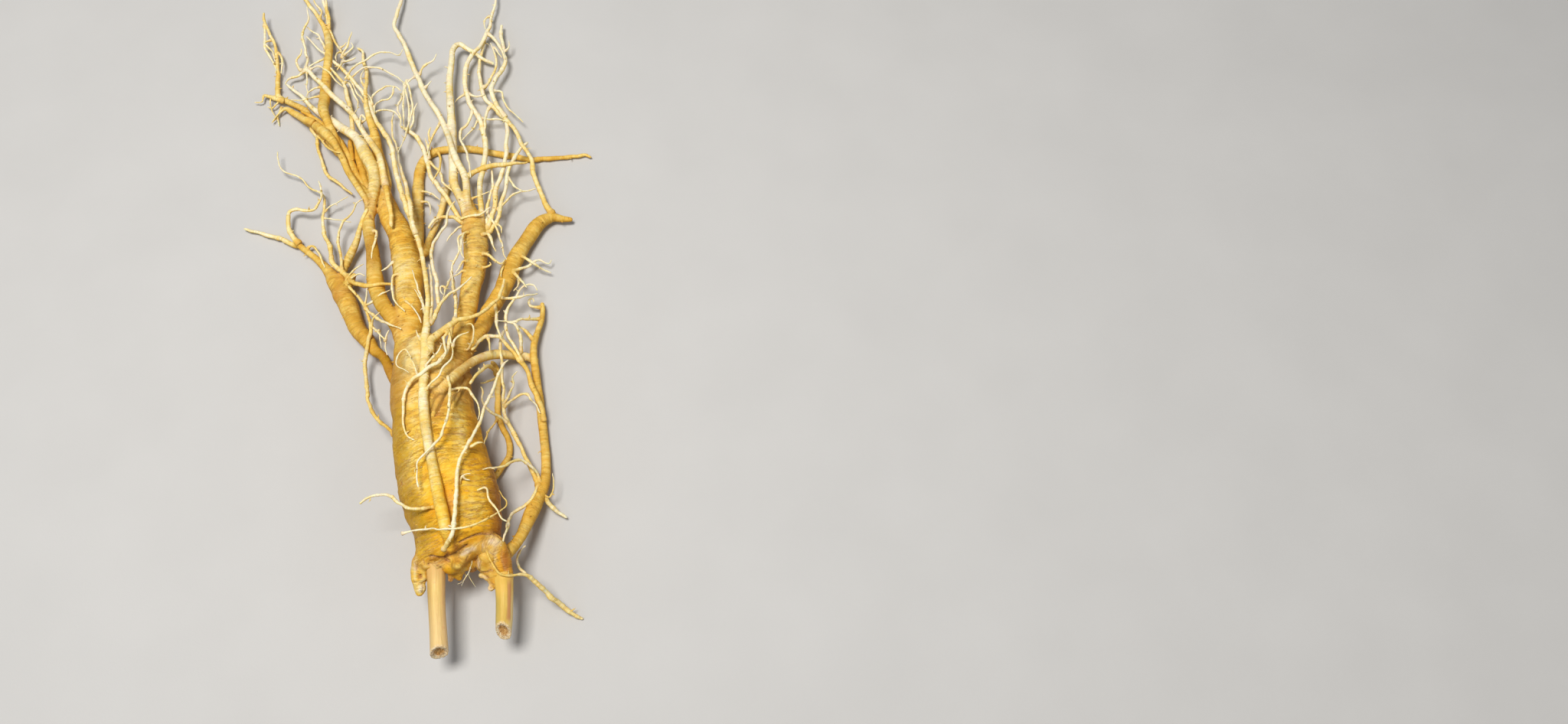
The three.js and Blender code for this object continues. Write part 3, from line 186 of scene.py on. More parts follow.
    "RF": ("R", 0.28, 0.16, "RD", [[68.02, -77.1, 4.12, 1.3], [67.28, -70.35, 6.68, 1.3], [66.61, -67.5, 7.7, 1.3], [64.89, -63.82, 8.65, 1.3], [62.29, -58.16, 9.75, 1.31], [60.42,
        -51.15, 11.1, 1.12], [59.42, -49.35, 11.51, 1.11], [56.88, -46.13, 12.36, 1.12], [54.45, -42.85, 13.27, 0.99], [49.38, -36.66, 15.43, 0.94], [47.74, -34.19, 16.33, 0.94],
        [46.86, -33.81, 16.63, 0.94], [42.99, -34.03, 17.86, 0.95], [41.1, -34.53, 18.47, 0.94], [40.24, -35.04, 18.78, 0.93], [38.71, -36.47, 19.4, 0.89], [37.36, -38.12, 20.01,
        0.84], [34.64, -42.89, 21.55, 0.73]]),
    "LD": ("R", 0.32, 0.14, "body", [[9.61, -81.78, 15.55, 0.92], [7.81, -82.29, 15.96, 0.92], [6.19, -83.06, 16.92, 0.93], [3.37, -85.03, 20.39, 0.93], [1.89, -85.74, 22.03,
        0.91], [1.07, -85.78, 22.57, 0.89], [0.27, -85.38, 22.85, 0.87], [-0.85, -83.46, 22.59, 0.8], [-1.64, -82.5, 22.16, 0.79], [-8.45, -76.16, 17.71, 0.86], [-11.19, -73.08,
        15.68, 0.89], [-14.22, -68.41, 12.95, 0.88], [-16.58, -63.37, 10.23, 0.89], [-17.8, -59.51, 8.4, 0.93], [-18.35, -57.04, 7.57, 0.95], [-18.92, -53.59, 7.1, 0.98], [-19.56,
        -49.27, 7.27, 0.99], [-19.82, -46.26, 8.06, 0.99], [-19.76, -42.5, 9.8, 0.98], [-19.5, -40.66, 10.74, 0.99], [-18.71, -37.95, 12.08, 0.99], [-18.03, -35.07, 12.98, 0.98],
        [-17.61, -31.83, 13.01, 0.95], [-17.47, -27.17, 12.34, 0.9], [-17.62, -24.94, 12.39, 0.87], [-18.14, -21.78, 12.86, 0.81], [-19.87, -16.66, 13.56, 0.72], [-21.24, -13.62,
        13.83, 0.74], [-23.14, -10.87, 14.04, 0.75], [-29.45, -2.97, 14.55, 0.65]]),
    "S2": ("R", 0.06, 0.0, "legA", [[-13.59, 42.83, 9.55, 2.88], [-14.39, 47.52, 9.88, 2.38], [-15.27, 52.22, 10.2, 2.1], [-17.2, 61.67, 10.83, 1.9], [-19.47, 71.27, 11.23, 1.73],
        [-20.78, 74.61, 11.57, 1.68], [-23.18, 78.41, 12.38, 1.62], [-24.61, 80.63, 12.2, 1.59], [-27.91, 85.69, 10.76, 1.53], [-29.43, 88.11, 10.3, 1.51], [-34.61, 97.51, 9.72,
        1.53], [-36.96, 100.84, 9.38, 1.52], [-41.5, 105.83, 8.74, 1.44], [-48.08, 112.42, 8, 1.44], [-53.94, 119.93, 7.39, 1.34], [-58.74, 125.05, 6.54, 1.24], [-62.28, 129.4,
        6.04, 1.17], [-63.25, 130.36, 5.92, 1.14], [-64.36, 131, 5.79, 1.07], [-66.7, 131.44, 5.55, 0.88]]),
    "S26": ("R", 0.04, -0.03, "RL", [[34.14, 27.13, 9.55, 1.06], [37.43, 27.03, 9.78, 1.06], [38.5, 27.19, 9.86, 1.05], [39.4, 27.76, 9.93, 1.05], [40.92, 30.8, 10.17, 1.04],
        [42.78, 33.6, 10.4, 1.04], [43.49, 35.8, 10.55, 1.04], [43.98, 41.73, 10.92, 1.05], [44.4, 44.07, 11.06, 1.04], [46.71, 52.06, 11.42, 0.95], [46.98, 54.5, 11.47, 0.94],
        [47.13, 59.5, 11.53, 0.95], [48.2, 64.32, 11.55, 0.95], [49.95, 68.89, 11.55, 0.95], [51.66, 72.08, 11.55, 0.92], [54.44, 75.92, 11.55, 0.84], [57.72, 79.24, 11.55,
        0.74]]),
    "S16b": ("R", 0.06, -0.02, "RL", [[35.83, 26.34, 9.55, 1.69], [36.88, 28.37, 9.58, 1.49], [38.1, 31.63, 9.63, 1.36], [40.43, 39.51, 9.85, 1.27], [40.96, 43.05, 9.97, 1.28],
        [40.89, 49.13, 10.17, 1.29], [41.15, 51.54, 10.24, 1.28], [43.49, 59.68, 10.28, 1.18], [44.85, 65.8, 10.08, 1.13], [45.7, 70.85, 9.83, 1.09], [45.91, 74.77, 9.62, 1.09],
        [45.59, 80.07, 9.34, 1.09], [46.16, 86.64, 8.98, 1.1], [45.81, 89.32, 8.84, 1.05], [44.63, 94.61, 8.55, 0.89]]),
    "S15": ("R", 0.12, 0.05, "Rarm", [[70.36, 39.09, 4.55, 1.77], [67.28, 43.86, 5.24, 1.41], [66.21, 45.88, 5.51, 1.32], [59.97, 63.4, 7.7, 1.33], [59.75, 66.76, 8.38, 1.27],
        [59.71, 68.82, 9.15, 1.23], [59.48, 69.78, 9.6, 1.2], [57.62, 73.15, 11.49, 1.11], [56.36, 74.76, 12.18, 1.11], [54.96, 76.75, 12.21, 1.11], [54.26, 78.01, 11.89, 1.12],
        [51.29, 85.64, 8.92, 1.12], [50.09, 88.27, 8.35, 1.13], [48.87, 90.42, 8.44, 1.13], [46.93, 93.06, 9.22, 1.13], [45.33, 94.86, 9.32, 1.14], [39.9, 101.34, 7.52, 1.14],
        [34.09, 108.45, 6.83, 1.15], [32.21, 112.06, 6.53, 1.11], [30.99, 116.06, 6.23, 1.04], [30.07, 120.17, 5.92, 0.99], [29.18, 125.75, 5.51, 0.94], [28.81, 129.99, 5.2, 0.9],
        [28.8, 132.82, 4.99, 0.87], [29.12, 137.03, 4.68, 0.82], [31.05, 152.47, 3.55, 0.68]]),
    "S16": ("R", 0.04, -0.03, "S15", [[46.81, 93.25, 9.13, 1.13], [44.2, 97.12, 9.82, 1.15], [42.73, 99.37, 9.6, 1.19], [39.95, 104.39, 8.74, 1.25], [37.74, 109.19, 8.69, 1.26],
        [36.73, 112.93, 8.86, 1.23], [36.82, 115.51, 8.96, 1.17], [37.85, 119.22, 9.04, 1.09], [41.43, 125.99, 8.74, 1.1], [42.83, 129.84, 8.35, 1.13], [43.38, 132.64, 8.02, 1.13],
        [43.29, 134.12, 7.85, 1.09], [42.18, 138.49, 7.29, 0.9], [41.49, 144.54, 6.51, 0.92], [39.94, 152.08, 5.53, 0.93], [39.75, 155.16, 5.14, 0.86], [39.9, 159.77, 4.55,
        0.69]]),
    "S27": ("F", 0.07, 0.02, "RL", [[33.94, 28.46, 9.55, 0.85], [36.09, 28.44, 9.66, 0.84], [37.12, 28.67, 9.71, 0.84], [37.58, 29.64, 9.77, 0.84], [37.23, 33.17, 9.93, 0.84],
        [37.25, 41.49, 10.25, 0.84], [37.71, 45.04, 10.32, 0.82], [39.25, 52.12, 10.25, 0.74], [39.47, 55.86, 10.13, 0.73], [39, 62.22, 9.87, 0.75], [37.09, 69.74, 9.55, 0.75]]),
    "S19": ("R", 0.05, 0.0, "RL", [[28.06, 29.59, 10.55, 1.46], [25.74, 32.29, 10.55, 1.23], [20.12, 40.16, 10.55, 1.25], [15.27, 48.76, 10.46, 1.26], [11.68, 53.94, 10.19, 1.26],
        [8.07, 59.37, 9.63, 1.18], [6.41, 63.06, 9.19, 1.14], [4.7, 69.71, 8.38, 1.15], [1.66, 78.98, 7.22, 1.17], [0.58, 81.57, 6.88, 1.17], [-1.44, 85.23, 6.38, 1.14], [-3.85,
        88.57, 5.88, 1.08], [-5.75, 90.47, 5.55, 1.01], [-8.83, 92.95, 5.05, 0.86], [-12.07, 95.06, 4.55, 0.66]]),
    "S21": ("F", 0.18, 0.08, "RL", [[27.62, 30.93, 10.55, 1.07], [25.86, 31.89, 11.32, 1.08], [24.03, 32.95, 11.82, 1.07], [22.05, 34.33, 11.67, 1.03], [19.83, 35.78, 10.94, 0.97],
        [18.64, 36.26, 10.5, 0.94], [16.27, 36.68, 9.8, 0.87], [11.75, 36.73, 9.19, 0.97], [10.68, 36.45, 9.1, 1.02], [9.79, 35.83, 9, 1.06], [9.14, 34.92, 8.91, 1.08], [7.22,
        30.75, 8.55, 1.13]]),
    "S20": ("F", 0.11, 0.04, "S19", [[4.82, 70.74, 8.55, 0.66], [5.81, 70.13, 8.55, 0.66], [7.56, 68.39, 8.55, 0.66], [10.77, 64.54, 8.59, 0.65], [11.9, 62.22, 8.65, 0.64], [13.13,
        58.44, 8.85, 0.64], [13.81, 57.31, 8.96, 0.65], [18.3, 52.61, 9.69, 0.65], [22.6, 47.61, 10.55, 0.65]]),
    "S13": ("R", 0.05, -0.05, "RL", [[28.49, 28.7, 10.55, 2.95], [28.12, 32.19, 10.76, 2.77], [27.08, 36.76, 11.09, 2.61], [26.08, 39.98, 11.59, 2.51], [24.5, 43.95, 12.65, 2.39],
        [23.56, 46.15, 12.75, 2.34], [20.39, 53.17, 12.17, 2.21], [19.73, 55.55, 12.19, 2.18], [19.38, 57.98, 12.25, 2.17], [18.69, 70.5, 12.12, 2.19], [16.89, 91.28, 11.33, 2.2],
        [15.85, 100.52, 10.97, 2.17], [14.36, 115.24, 10.43, 1.89], [14.21, 123.35, 10.16, 1.79], [14.7, 132.87, 9.78, 1.65], [14.58, 137.08, 9.53, 1.61], [14.63, 138.5, 9.42,
        1.59], [15.26, 141.19, 9.16, 1.56], [15.82, 142.4, 9, 1.55], [16.6, 143.38, 8.83, 1.52], [17.58, 144, 8.64, 1.47], [18.65, 143.99, 8.44, 1.42], [26.23, 139.62, 6.54, 1.13],
        [30.83, 136.53, 5.4, 1.02], [36.73, 134.2, 3.55, 0.75]]),
    "S14": ("R", 0.04, -0.03, "RL", [[33.2, 28.56, 10.55, 1.93], [34.39, 31.8, 10.63, 1.58], [34.72, 34.14, 10.69, 1.48], [34.41, 38.95, 10.8, 1.52], [33.28, 48.63, 11.02, 1.46],
        [33.04, 55.96, 11.19, 1.46], [33.32, 58.38, 11.24, 1.45], [34.34, 63.12, 11.32, 1.42], [35.21, 69.26, 11.31, 1.41], [35.6, 74.36, 11.15, 1.39], [35.44, 76.98, 11, 1.37],
        [33.71, 86.26, 10.32, 1.35], [31.46, 94.17, 9.66, 1.37], [29.86, 97.95, 9.33, 1.37], [25.72, 104.95, 8.67, 1.31], [23.78, 110.16, 8.24, 1.26], [22.79, 114.24, 7.95, 1.25],
        [22.06, 118.37, 7.7, 1.25], [21.67, 122.52, 7.49, 1.25], [21.66, 125.27, 7.38, 1.25], [22.25, 130.68, 7.2, 1.23], [23.21, 134.44, 7.29, 1.15], [24.28, 136.57, 7.63, 1.11],
        [26.52, 139.36, 7.88, 1.11], [29.77, 145.31, 6.76, 1.13], [30.75, 147.84, 6.57, 1.11], [31.81, 151.79, 6.43, 1.03], [33.59, 156.88, 6.26, 0.91], [34.41, 163.88, 6.05,
        0.81], [35.96, 172.19, 5.8, 0.69], [36.25, 176.5, 5.67, 0.67], [36.42, 180.85, 5.55, 0.47]]),
    "S12": ("R", 0.06, -0.04, "RL", [[29.27, 28.68, 10.55, 2.52], [28.49, 35.62, 11.04, 2.55], [27.99, 39.04, 11.4, 2.46], [27.23, 43.35, 12.3, 2.17], [26.97, 46.61, 13.02, 2.04],
        [26.83, 49.07, 12.97, 1.99], [26.48, 53.02, 12.49, 1.94], [25.57, 57.86, 12.53, 1.82], [24.9, 60.13, 12.74, 1.75], [24.05, 62.2, 13.13, 1.72], [21.95, 65.72, 14.48, 1.73],
        [20.57, 68.78, 15.08, 1.7], [18.83, 73.54, 15, 1.64], [17.27, 78.63, 14.58, 1.55], [15.98, 82.75, 13.8, 1.51], [13.8, 88.36, 12.41, 1.53], [11.63, 93.46, 11.78, 1.54],
        [8.7, 99.57, 11.25, 1.55], [3.76, 107.62, 10.52, 1.5], [0.53, 113.66, 10, 1.46], [-1.13, 117.49, 9.69, 1.42], [-4.11, 125.35, 9.08, 1.34], [-6.94, 131.79, 8.59, 1.35],
        [-11.48, 143.8, 7.7, 1.24], [-15.92, 152.78, 7.01, 1.26], [-18.17, 156.39, 6.72, 1.16], [-18.63, 157.78, 6.62, 1.12], [-18.78, 159.22, 6.52, 1.09], [-18.57, 162.07, 6.32,
        1.04], [-16.39, 176.13, 5.34, 0.89], [-15.01, 187.68, 4.55, 0.44]]),
    "M2": ("F", 0.22, 0.16, "S12", [[26.05, 58.4, 12.2, 1.36], [27.69, 59.99, 11.87, 1.36], [29.46, 61.32, 11.95, 1.36], [32.5, 62.45, 12.85, 1.37], [34.57, 63.11, 13.25, 1.38],
        [35.59, 63.51, 13.24, 1.39], [37.56, 64.44, 12.78, 1.39], [39.54, 65.33, 12.05, 1.37], [41.61, 65.88, 11.62, 1.35], [43.83, 65.96, 11.8, 1.31], [48.38, 65.66, 12.81, 1.21],
        [50.55, 65.88, 12.75, 1.14], [52.62, 66.42, 12.11, 1.05], [57.66, 68.3, 9.55, 0.8]]),
    "H6": ("F", 0.04, 0.0, "S12", [[-3.5, 124, 9.55, 0.59], [-7.25, 121.4, 9.05, 0.51], [-10.38, 117.98, 8.55, 0.47]]),
    "S7b": ("F", 0.07, 0.02, "V", [[5.61, 17.74, 23.35, 1.12], [4.42, 21.85, 24.19, 1.12], [3.66, 24.11, 24.19, 1.11], [2.18, 29.11, 23.44, 1.13], [1.15, 34.45, 22.33, 1.21],
        [0.45, 37.32, 21.4, 1.22], [-0.43, 40.39, 20.11, 1.21], [-3.55, 50.24, 15.23, 1.12], [-5.11, 55.05, 13.09, 1.05], [-6.51, 59.36, 11.84, 0.97], [-9.4, 67.23, 10.58, 0.8],
        [-10.16, 69.92, 10.2, 0.76], [-11.85, 78.16, 9.03, 0.69], [-14.95, 87.63, 7.68, 0.69], [-15.62, 90.41, 7.29, 0.69], [-16.11, 96.07, 6.52, 0.69], [-15.97, 103.13, 5.55,
        0.51]]),
    "Vb": ("F", 0.05, 0.01, "V", [[15.2, -37.63, 34.18, 1.06], [16.25, -33.11, 32.62, 1.06], [17.62, -30.07, 31.44, 1.01], [18.27, -27.84, 30.66, 0.97], [19.05, -23.07, 29.1,
        0.92], [19.09, -19.3, 27.92, 0.9], [17.62, -12.87, 25.94, 0.91], [16.43, -6.29, 23.86, 0.92], [13.5, 3.02, 20.67, 0.93], [12.01, 8.5, 18.76, 0.93], [11.36, 12.67, 17.35,
        0.93], [11.42, 15.39, 16.46, 0.93], [12.02, 19.28, 15.26, 0.93], [13.1, 22.86, 14.29, 0.94], [14.53, 26.15, 13.56, 0.94], [16.72, 30.24, 12.91, 0.95], [16.93, 31.45, 12.78,
        0.93], [16.89, 35.22, 12.45, 0.85], [17.13, 36.41, 12.36, 0.83], [18.66, 40.89, 12.12, 0.74], [20.54, 45.33, 11.55, 0.65]]),
    "Va": ("F", 0.05, 0.01, "V", [[15.48, -36.05, 34.18, 0.79], [16.34, -29.98, 32.04, 0.8], [16.15, -24.82, 30.34, 0.8], [13.91, -4.98, 24.26, 0.76], [13.12, -0.95, 23.1, 0.7],
        [11.58, 4.39, 21.55, 0.56]]),
    "AR": ("R", 0.28, 0.16, "V", [[16.77, -47.69, 36.13, 2.36], [17.6, -47.71, 35.82, 2.33], [17.52, -42.98, 34.4, 2.14], [17.86, -41.91, 34.01, 2.11], [19.07, -40.25, 33.26,
        2.07], [23.86, -35.03, 31.18, 1.78], [28.04, -30.54, 29.45, 1.34], [29.7, -29.51, 28.82, 1.23], [35.06, -27.41, 26.79, 1], [38.45, -25.35, 25.37, 0.93], [39.92, -23.85,
        24.63, 0.92], [43.17, -19.39, 22.61, 0.93], [45.99, -16.01, 20.82, 0.86], [46.53, -14.96, 20.35, 0.84], [47.18, -12.54, 19.41, 0.81], [48.3, -2.01, 15.55, 0.56]]),
    "U": ("R", 0.05, 0.0, "body", [[26.74, -146.21, 33.19, 1.14], [28.7, -144.46, 36.35, 0.97], [32.46, -142.01, 42.86, 0.98], [33.58, -140.76, 44.71, 0.98], [34.03, -140.06,
        45.36, 0.98], [34.75, -138.51, 46.2, 0.97], [35.22, -136.81, 46.58, 0.97], [35.46, -135, 46.68, 0.96], [35.71, -110.86, 44.98, 0.8], [35.96, -106.91, 44.58, 0.79], [36.51,
        -104, 44.15, 0.76], [38.24, -99.4, 43.07, 0.72], [40.13, -94.77, 41.6, 0.72], [43.5, -84.98, 38.23, 0.73], [44.99, -76.3, 35.21, 0.74], [47.34, -67.68, 31.65, 0.74],
        [49.29, -57.33, 27.37, 0.67], [50.75, -52.95, 25.46, 0.61], [52.92, -49.07, 23.55, 0.4]]),
    "X": ("F", 0.07, 0.02, "AR", [[26.11, -33.95, 30.09, 0.71], [26.35, -41.12, 31.84, 0.9], [26.29, -44.8, 33.19, 0.88], [25.61, -48.34, 34.9, 0.88], [24.61, -51.65, 36.61, 0.88],
        [23.74, -53.67, 37.69, 0.89], [22.56, -55.34, 38.71, 0.89], [20.33, -57.05, 40.13, 0.89], [18.95, -58.38, 40.94, 0.88], [17.68, -59.86, 41.46, 0.88], [16.34, -61.21, 41.51,
        0.88], [14.77, -62.23, 41.07, 0.88], [12.16, -63.44, 39.84, 0.88], [10.14, -65.29, 38.53, 0.87], [8.8, -67.71, 37.68, 0.86], [8, -70.57, 37.62, 0.86], [7.72, -73.67, 37.91,
        0.85], [7.83, -75.78, 38.14, 0.82], [8.76, -84.21, 39.06, 0.7], [9.45, -87.32, 39.41, 0.67], [10.19, -89.32, 39.65, 0.68], [11.26, -91.17, 39.88, 0.68], [12.03, -91.9, 40,
        0.66], [14.72, -93.41, 40.35, 0.52]]),
    "SH": ("F", 0.06, 0.02, "RA", [[28.09, -62.62, 36.99, 0.58], [27.61, -61.94, 37.53, 0.58], [29.11, -66.86, 40.19, 0.67], [29.87, -71.97, 42.98, 0.65], [30.17, -74.37, 43.99,
        0.64], [30.48, -77.78, 45.03, 0.64], [30.52, -79.97, 45.54, 0.63], [30.23, -83.13, 46.19, 0.63], [28.77, -91.18, 47.57, 0.62], [28.31, -93.11, 47.79, 0.61], [27.58, -94.89,
        47.94, 0.61], [25.94, -97.14, 48.05, 0.61], [19.41, -104.79, 47.82, 0.59], [18.49, -106.37, 47.76, 0.58], [18.13, -108.22, 47.69, 0.57], [18.08, -112.04, 47.55, 0.55],
        [18.43, -114.91, 47.45, 0.54], [19.1, -117.73, 47.35, 0.54]]),
    "CR2": ("F", -0.05, 0.26, None, [[10.59, -135.96, 37.26, 0.98], [13.6, -135.76, 38.52, 0.47], [17.58, -135.41, 40.2, 0.4], [20.62, -135.42, 41.49, 0.4], [24.76, -135.86, 43.46,
        0.4], [30.14, -136.79, 46.82, 0.4], [32.13, -137.07, 47.52, 0.39], [34.93, -137.21, 47.85, 0.4], [38.54, -136.97, 47.8, 0.43], [41.15, -136.52, 47.51, 0.46], [43.63,
        -135.7, 46.87, 0.46], [46.7, -134.13, 45.4, 0.46], [49.53, -132.08, 43.16, 0.47], [53.41, -128.33, 38.38, 0.47], [54.57, -126.82, 36.59, 0.47], [55.51, -125.04, 34.81,
        0.47], [55.8, -124, 33.94, 0.47], [55.78, -122.83, 33.08, 0.47], [55.49, -121.64, 32.25, 0.47], [54.92, -120.53, 31.43, 0.44], [51.29, -115.4, 27.55, 0.29]]),
    "CR1": ("F", 0.05, 0.02, "body", [[26.1, -125.21, 40.97, 0.96], [23.57, -125.66, 41.81, 0.77], [21.18, -126.35, 43.03, 0.75], [19.53, -126.64, 43.71, 0.76], [17.77, -126.61,
        44.03, 0.76], [14.95, -126.1, 43.75, 0.75], [13, -125.38, 43.16, 0.75], [11.12, -124.22, 42.36, 0.74], [9.33, -122.78, 41.44, 0.74], [5.94, -119.54, 39.44, 0.75], [2.79,
        -118.33, 37.92, 0.77], [-1.5, -117.59, 35.94, 0.77], [-4.63, -117.64, 34.47, 0.8], [-7.5, -118.39, 33.02, 0.87], [-10.78, -120.28, 31.09, 0.78]]),
    "LB3": ("F", 0.18, 0.08, "LB2", [[-33.28, 4.91, 8.66, 0.78], [-33.9, 4.84, 8.84, 0.77], [-34.6, 6.92, 9.25, 0.75], [-35.19, 9.16, 9.45, 0.74], [-36.47, 16.73, 8.6, 0.71],
        [-38.2, 23.91, 8.55, 0.69], [-38.69, 27.54, 8.58, 0.67], [-38.51, 29.86, 8.72, 0.66], [-37.79, 31.9, 9.15, 0.65], [-36.71, 33.65, 9.92, 0.64], [-35.42, 35.2, 10.88, 0.63],
        [-31.44, 38.42, 13.41, 0.61], [-29.28, 41.73, 15.42, 0.59], [-28.61, 42.47, 15.93, 0.59], [-27.72, 43, 16.45, 0.58], [-24.58, 43.95, 18.04, 0.57]]),
    "LC": ("F", 0.34, 0.26, "LBn", [[-30.82, 2.14, 9.87, 1.15], [-28.08, -0.59, 12.67, 1.15], [-23.83, -3.19, 16.12, 1.15], [-19.93, -4.86, 18.44, 1.15], [-16.28, -5.83, 20.02,
        1.14], [-14.08, -5.82, 20.43, 1.14], [-12.1, -5.35, 20.24, 1.14], [-9.28, -4.76, 19.15, 1.16], [-5.57, -4.53, 17.31, 0.96]]),
    "S2a": ("F", 0.07, 0.02, "S2", [[-63.72, 130.77, 5.71, 0.82], [-64.35, 131.83, 5.86, 0.81], [-64.64, 133.04, 6, 0.78], [-64, 136.67, 6.43, 0.69], [-64.2, 137.91, 6.57, 0.69],
        [-65.22, 140.22, 6.85, 0.7], [-65.55, 141.44, 6.99, 0.7], [-65.97, 145.22, 7.44, 0.69], [-67.31, 150.1, 8.05, 0.69], [-67.63, 152.61, 8.36, 0.68], [-67.34, 155.08, 8.68,
        0.67], [-65.35, 159.43, 9.3, 0.64], [-64.72, 161.81, 9.61, 0.59], [-64.78, 163.08, 9.77, 0.59], [-65.28, 165.59, 10.08, 0.6], [-65.88, 169.4, 10.55, 0.36]]),
    "S2b": ("F", 0.07, 0.02, "S2", [[-66.66, 130.94, 5.55, 0.73], [-67.72, 131.18, 5.8, 0.72], [-68.48, 132.09, 6.05, 0.7], [-69.59, 134.27, 6.55, 0.63], [-69.9, 135.48, 6.8,
        0.59], [-69.79, 136.69, 7.05, 0.58], [-67.78, 139.61, 7.8, 0.58], [-67.36, 140.74, 8.05, 0.56], [-67.16, 143.21, 8.55, 0.48]]),
    "S2c": ("F", 0.07, 0.02, "S2", [[-64.61, 130.9, 5.55, 0.68], [-66.66, 129.82, 5.22, 0.67], [-68.38, 128.22, 4.89, 0.65], [-69.44, 127.73, 4.73, 0.64], [-72.83, 126.87, 4.46,
        0.62], [-73.75, 126.16, 4.55, 0.61], [-74.39, 125.03, 4.78, 0.59], [-75.27, 122.29, 5.58, 0.56]]),
    "S4a": ("F", 0.05, 0.01, "S3", [[-89.64, 162.61, 6.95, 0.58], [-88.76, 154.68, 6.28, 0.68], [-88.81, 149.42, 5.84, 0.67], [-88.52, 146.78, 5.65, 0.67], [-87.6, 144.25, 5.48,
        0.67], [-83.37, 137.54, 5.03, 0.64], [-82.14, 135.11, 4.96, 0.62], [-81.7, 133.79, 4.95, 0.61], [-81.04, 129.62, 5.03, 0.58]]),
    "S4b": ("F", 0.05, 0.01, "S3", [[-85.05, 151.06, 5.55, 0.49], [-88.05, 149.47, 6.03, 0.5], [-88.55, 148.57, 6.05, 0.5], [-85.87, 146.18, 5.48, 0.52], [-84.37, 144.28, 5.05,
        0.51], [-83.41, 141.73, 4.91, 0.5], [-82.11, 137.39, 5.23, 0.49]]),
    "S4c": ("F", 0.05, 0.01, "S3", [[-82, 143.59, 4.88, 0.63], [-79.99, 141.9, 4.83, 0.62], [-79.3, 140.7, 4.8, 0.61], [-78.43, 138.04, 4.74, 0.59], [-78.01, 135.29, 4.67, 0.58],
        [-78.35, 129.88, 4.57, 0.57]]),
    "S5b": ("F", 0.03, -0.04, "S5", [[-56.46, 158.59, 3.55, 0.96], [-55.84, 159.49, 3.81, 0.98], [-56.31, 166.83, 5.39, 0.93], [-56.78, 169.24, 5.92, 0.9], [-58.48, 175.13, 7.23,
        0.84], [-59.99, 181.11, 8.55, 0.51]]),
    "S5c": ("F", 0.18, 0.08, "S5", [[-56.39, 158.48, 3.55, 0.78], [-55.33, 158.82, 4.13, 0.78], [-54.93, 159.72, 4.7, 0.79], [-54.64, 161.71, 5.76, 0.8], [-54.76, 163.88, 6.57,
        0.81], [-55.88, 168.57, 7.57, 0.81], [-56.35, 171.26, 7.69, 0.79], [-57.08, 175.92, 7.1, 0.7], [-57.2, 180.54, 6.55, 0.4]]),
    "S5d": ("F", 0.18, 0.08, "S5", [[-59.3, 162.55, 4.55, 0.52], [-60.11, 164.82, 5.12, 0.5], [-59.99, 166.01, 5.41, 0.5], [-59.29, 168.28, 5.98, 0.51], [-59.63, 169.43, 6.26,
        0.52], [-63.06, 174.15, 7.69, 0.52], [-64.3, 177.56, 8.55, 0.33]]),
    "S5e": ("F", 0.11, 0.04, "S5", [[-55.88, 157.28, 3.55, 0.58], [-54.95, 157.93, 3.78, 0.6], [-54.09, 156.66, 3.96, 0.61], [-53.46, 155.28, 4.04, 0.62], [-50.51, 149.09, 3.6,
        0.63], [-46.61, 143.29, 3.55, 0.62], [-45.96, 142.03, 3.55, 0.61], [-45.79, 140.62, 3.55, 0.55], [-46.01, 137.84, 3.55, 0.39]]),
    "S5f": ("F", 0.11, 0.04, "S5e", [[-46.01, 140.57, 3.55, 0.61], [-46.94, 140.18, 3.91, 0.6], [-43.25, 147.19, 6.41, 0.5], [-41.17, 153.73, 8.55, 0.43]]),
    "S9": ("F", 0.04, 0.0, "V", [[-40.57, 124.23, 9.34, 0.52], [-41.84, 122.06, 9.75, 0.52], [-41.79, 122.32, 9.94, 0.51], [-41.18, 123.31, 10.08, 0.51], [-40.07, 125.54, 9.95,
        0.51], [-38.3, 130.95, 8.36, 0.52], [-37.69, 132.12, 8.08, 0.52], [-36.92, 133.04, 7.93, 0.52], [-34.97, 134.18, 7.93, 0.52], [-31.84, 135.46, 8.25, 0.52], [-26.92, 138.26,
        8.89, 0.51], [-23.64, 139.12, 9.24, 0.51], [-20.16, 139.11, 9.57, 0.52], [-19, 138.77, 9.68, 0.52], [-15.66, 136.93, 10.01, 0.51], [-14.51, 136.55, 10.12, 0.5], [-13.47,
        136.91, 10.23, 0.49], [-12, 140.25, 10.55, 0.47]]),
    "S10": ("F", 0.04, 0.0, "V", [[-39.67, 123.11, 9.42, 0.48], [-40.26, 122.07, 9.3, 0.48], [-35.85, 128, 7.89, 0.48], [-34.19, 129.77, 7.49, 0.49], [-32.23, 130.96, 7.31, 0.5],
        [-29.97, 131.2, 7.3, 0.51], [-27.63, 130.83, 7.4, 0.51], [-24.13, 129.68, 7.62, 0.52], [-15.39, 124.36, 8.19, 0.52], [-13.27, 122.77, 8.4, 0.52], [-12.27, 121.77, 8.59,
        0.52], [-9.3, 118.21, 9.63, 0.52]]),
    "S11a": ("F", 0.04, 0.0, "V", [[-24.65, 99.08, 11.52, 0.49], [-25.36, 103.4, 10.95, 0.49], [-26.46, 109.56, 9.63, 0.48], [-26.44, 111.04, 9.36, 0.48], [-25.96, 112.27, 9.14,
        0.48], [-25.25, 113.27, 9, 0.48], [-22.8, 115.8, 8.95, 0.48], [-20.94, 117.08, 9.14, 0.48], [-19.85, 117.38, 9.27, 0.48], [-18.71, 117.48, 9.41, 0.49], [-16.35, 117.27,
        9.72, 0.49], [-14.03, 116.38, 10.05, 0.5], [-11.23, 113.29, 10.55, 0.5]]),
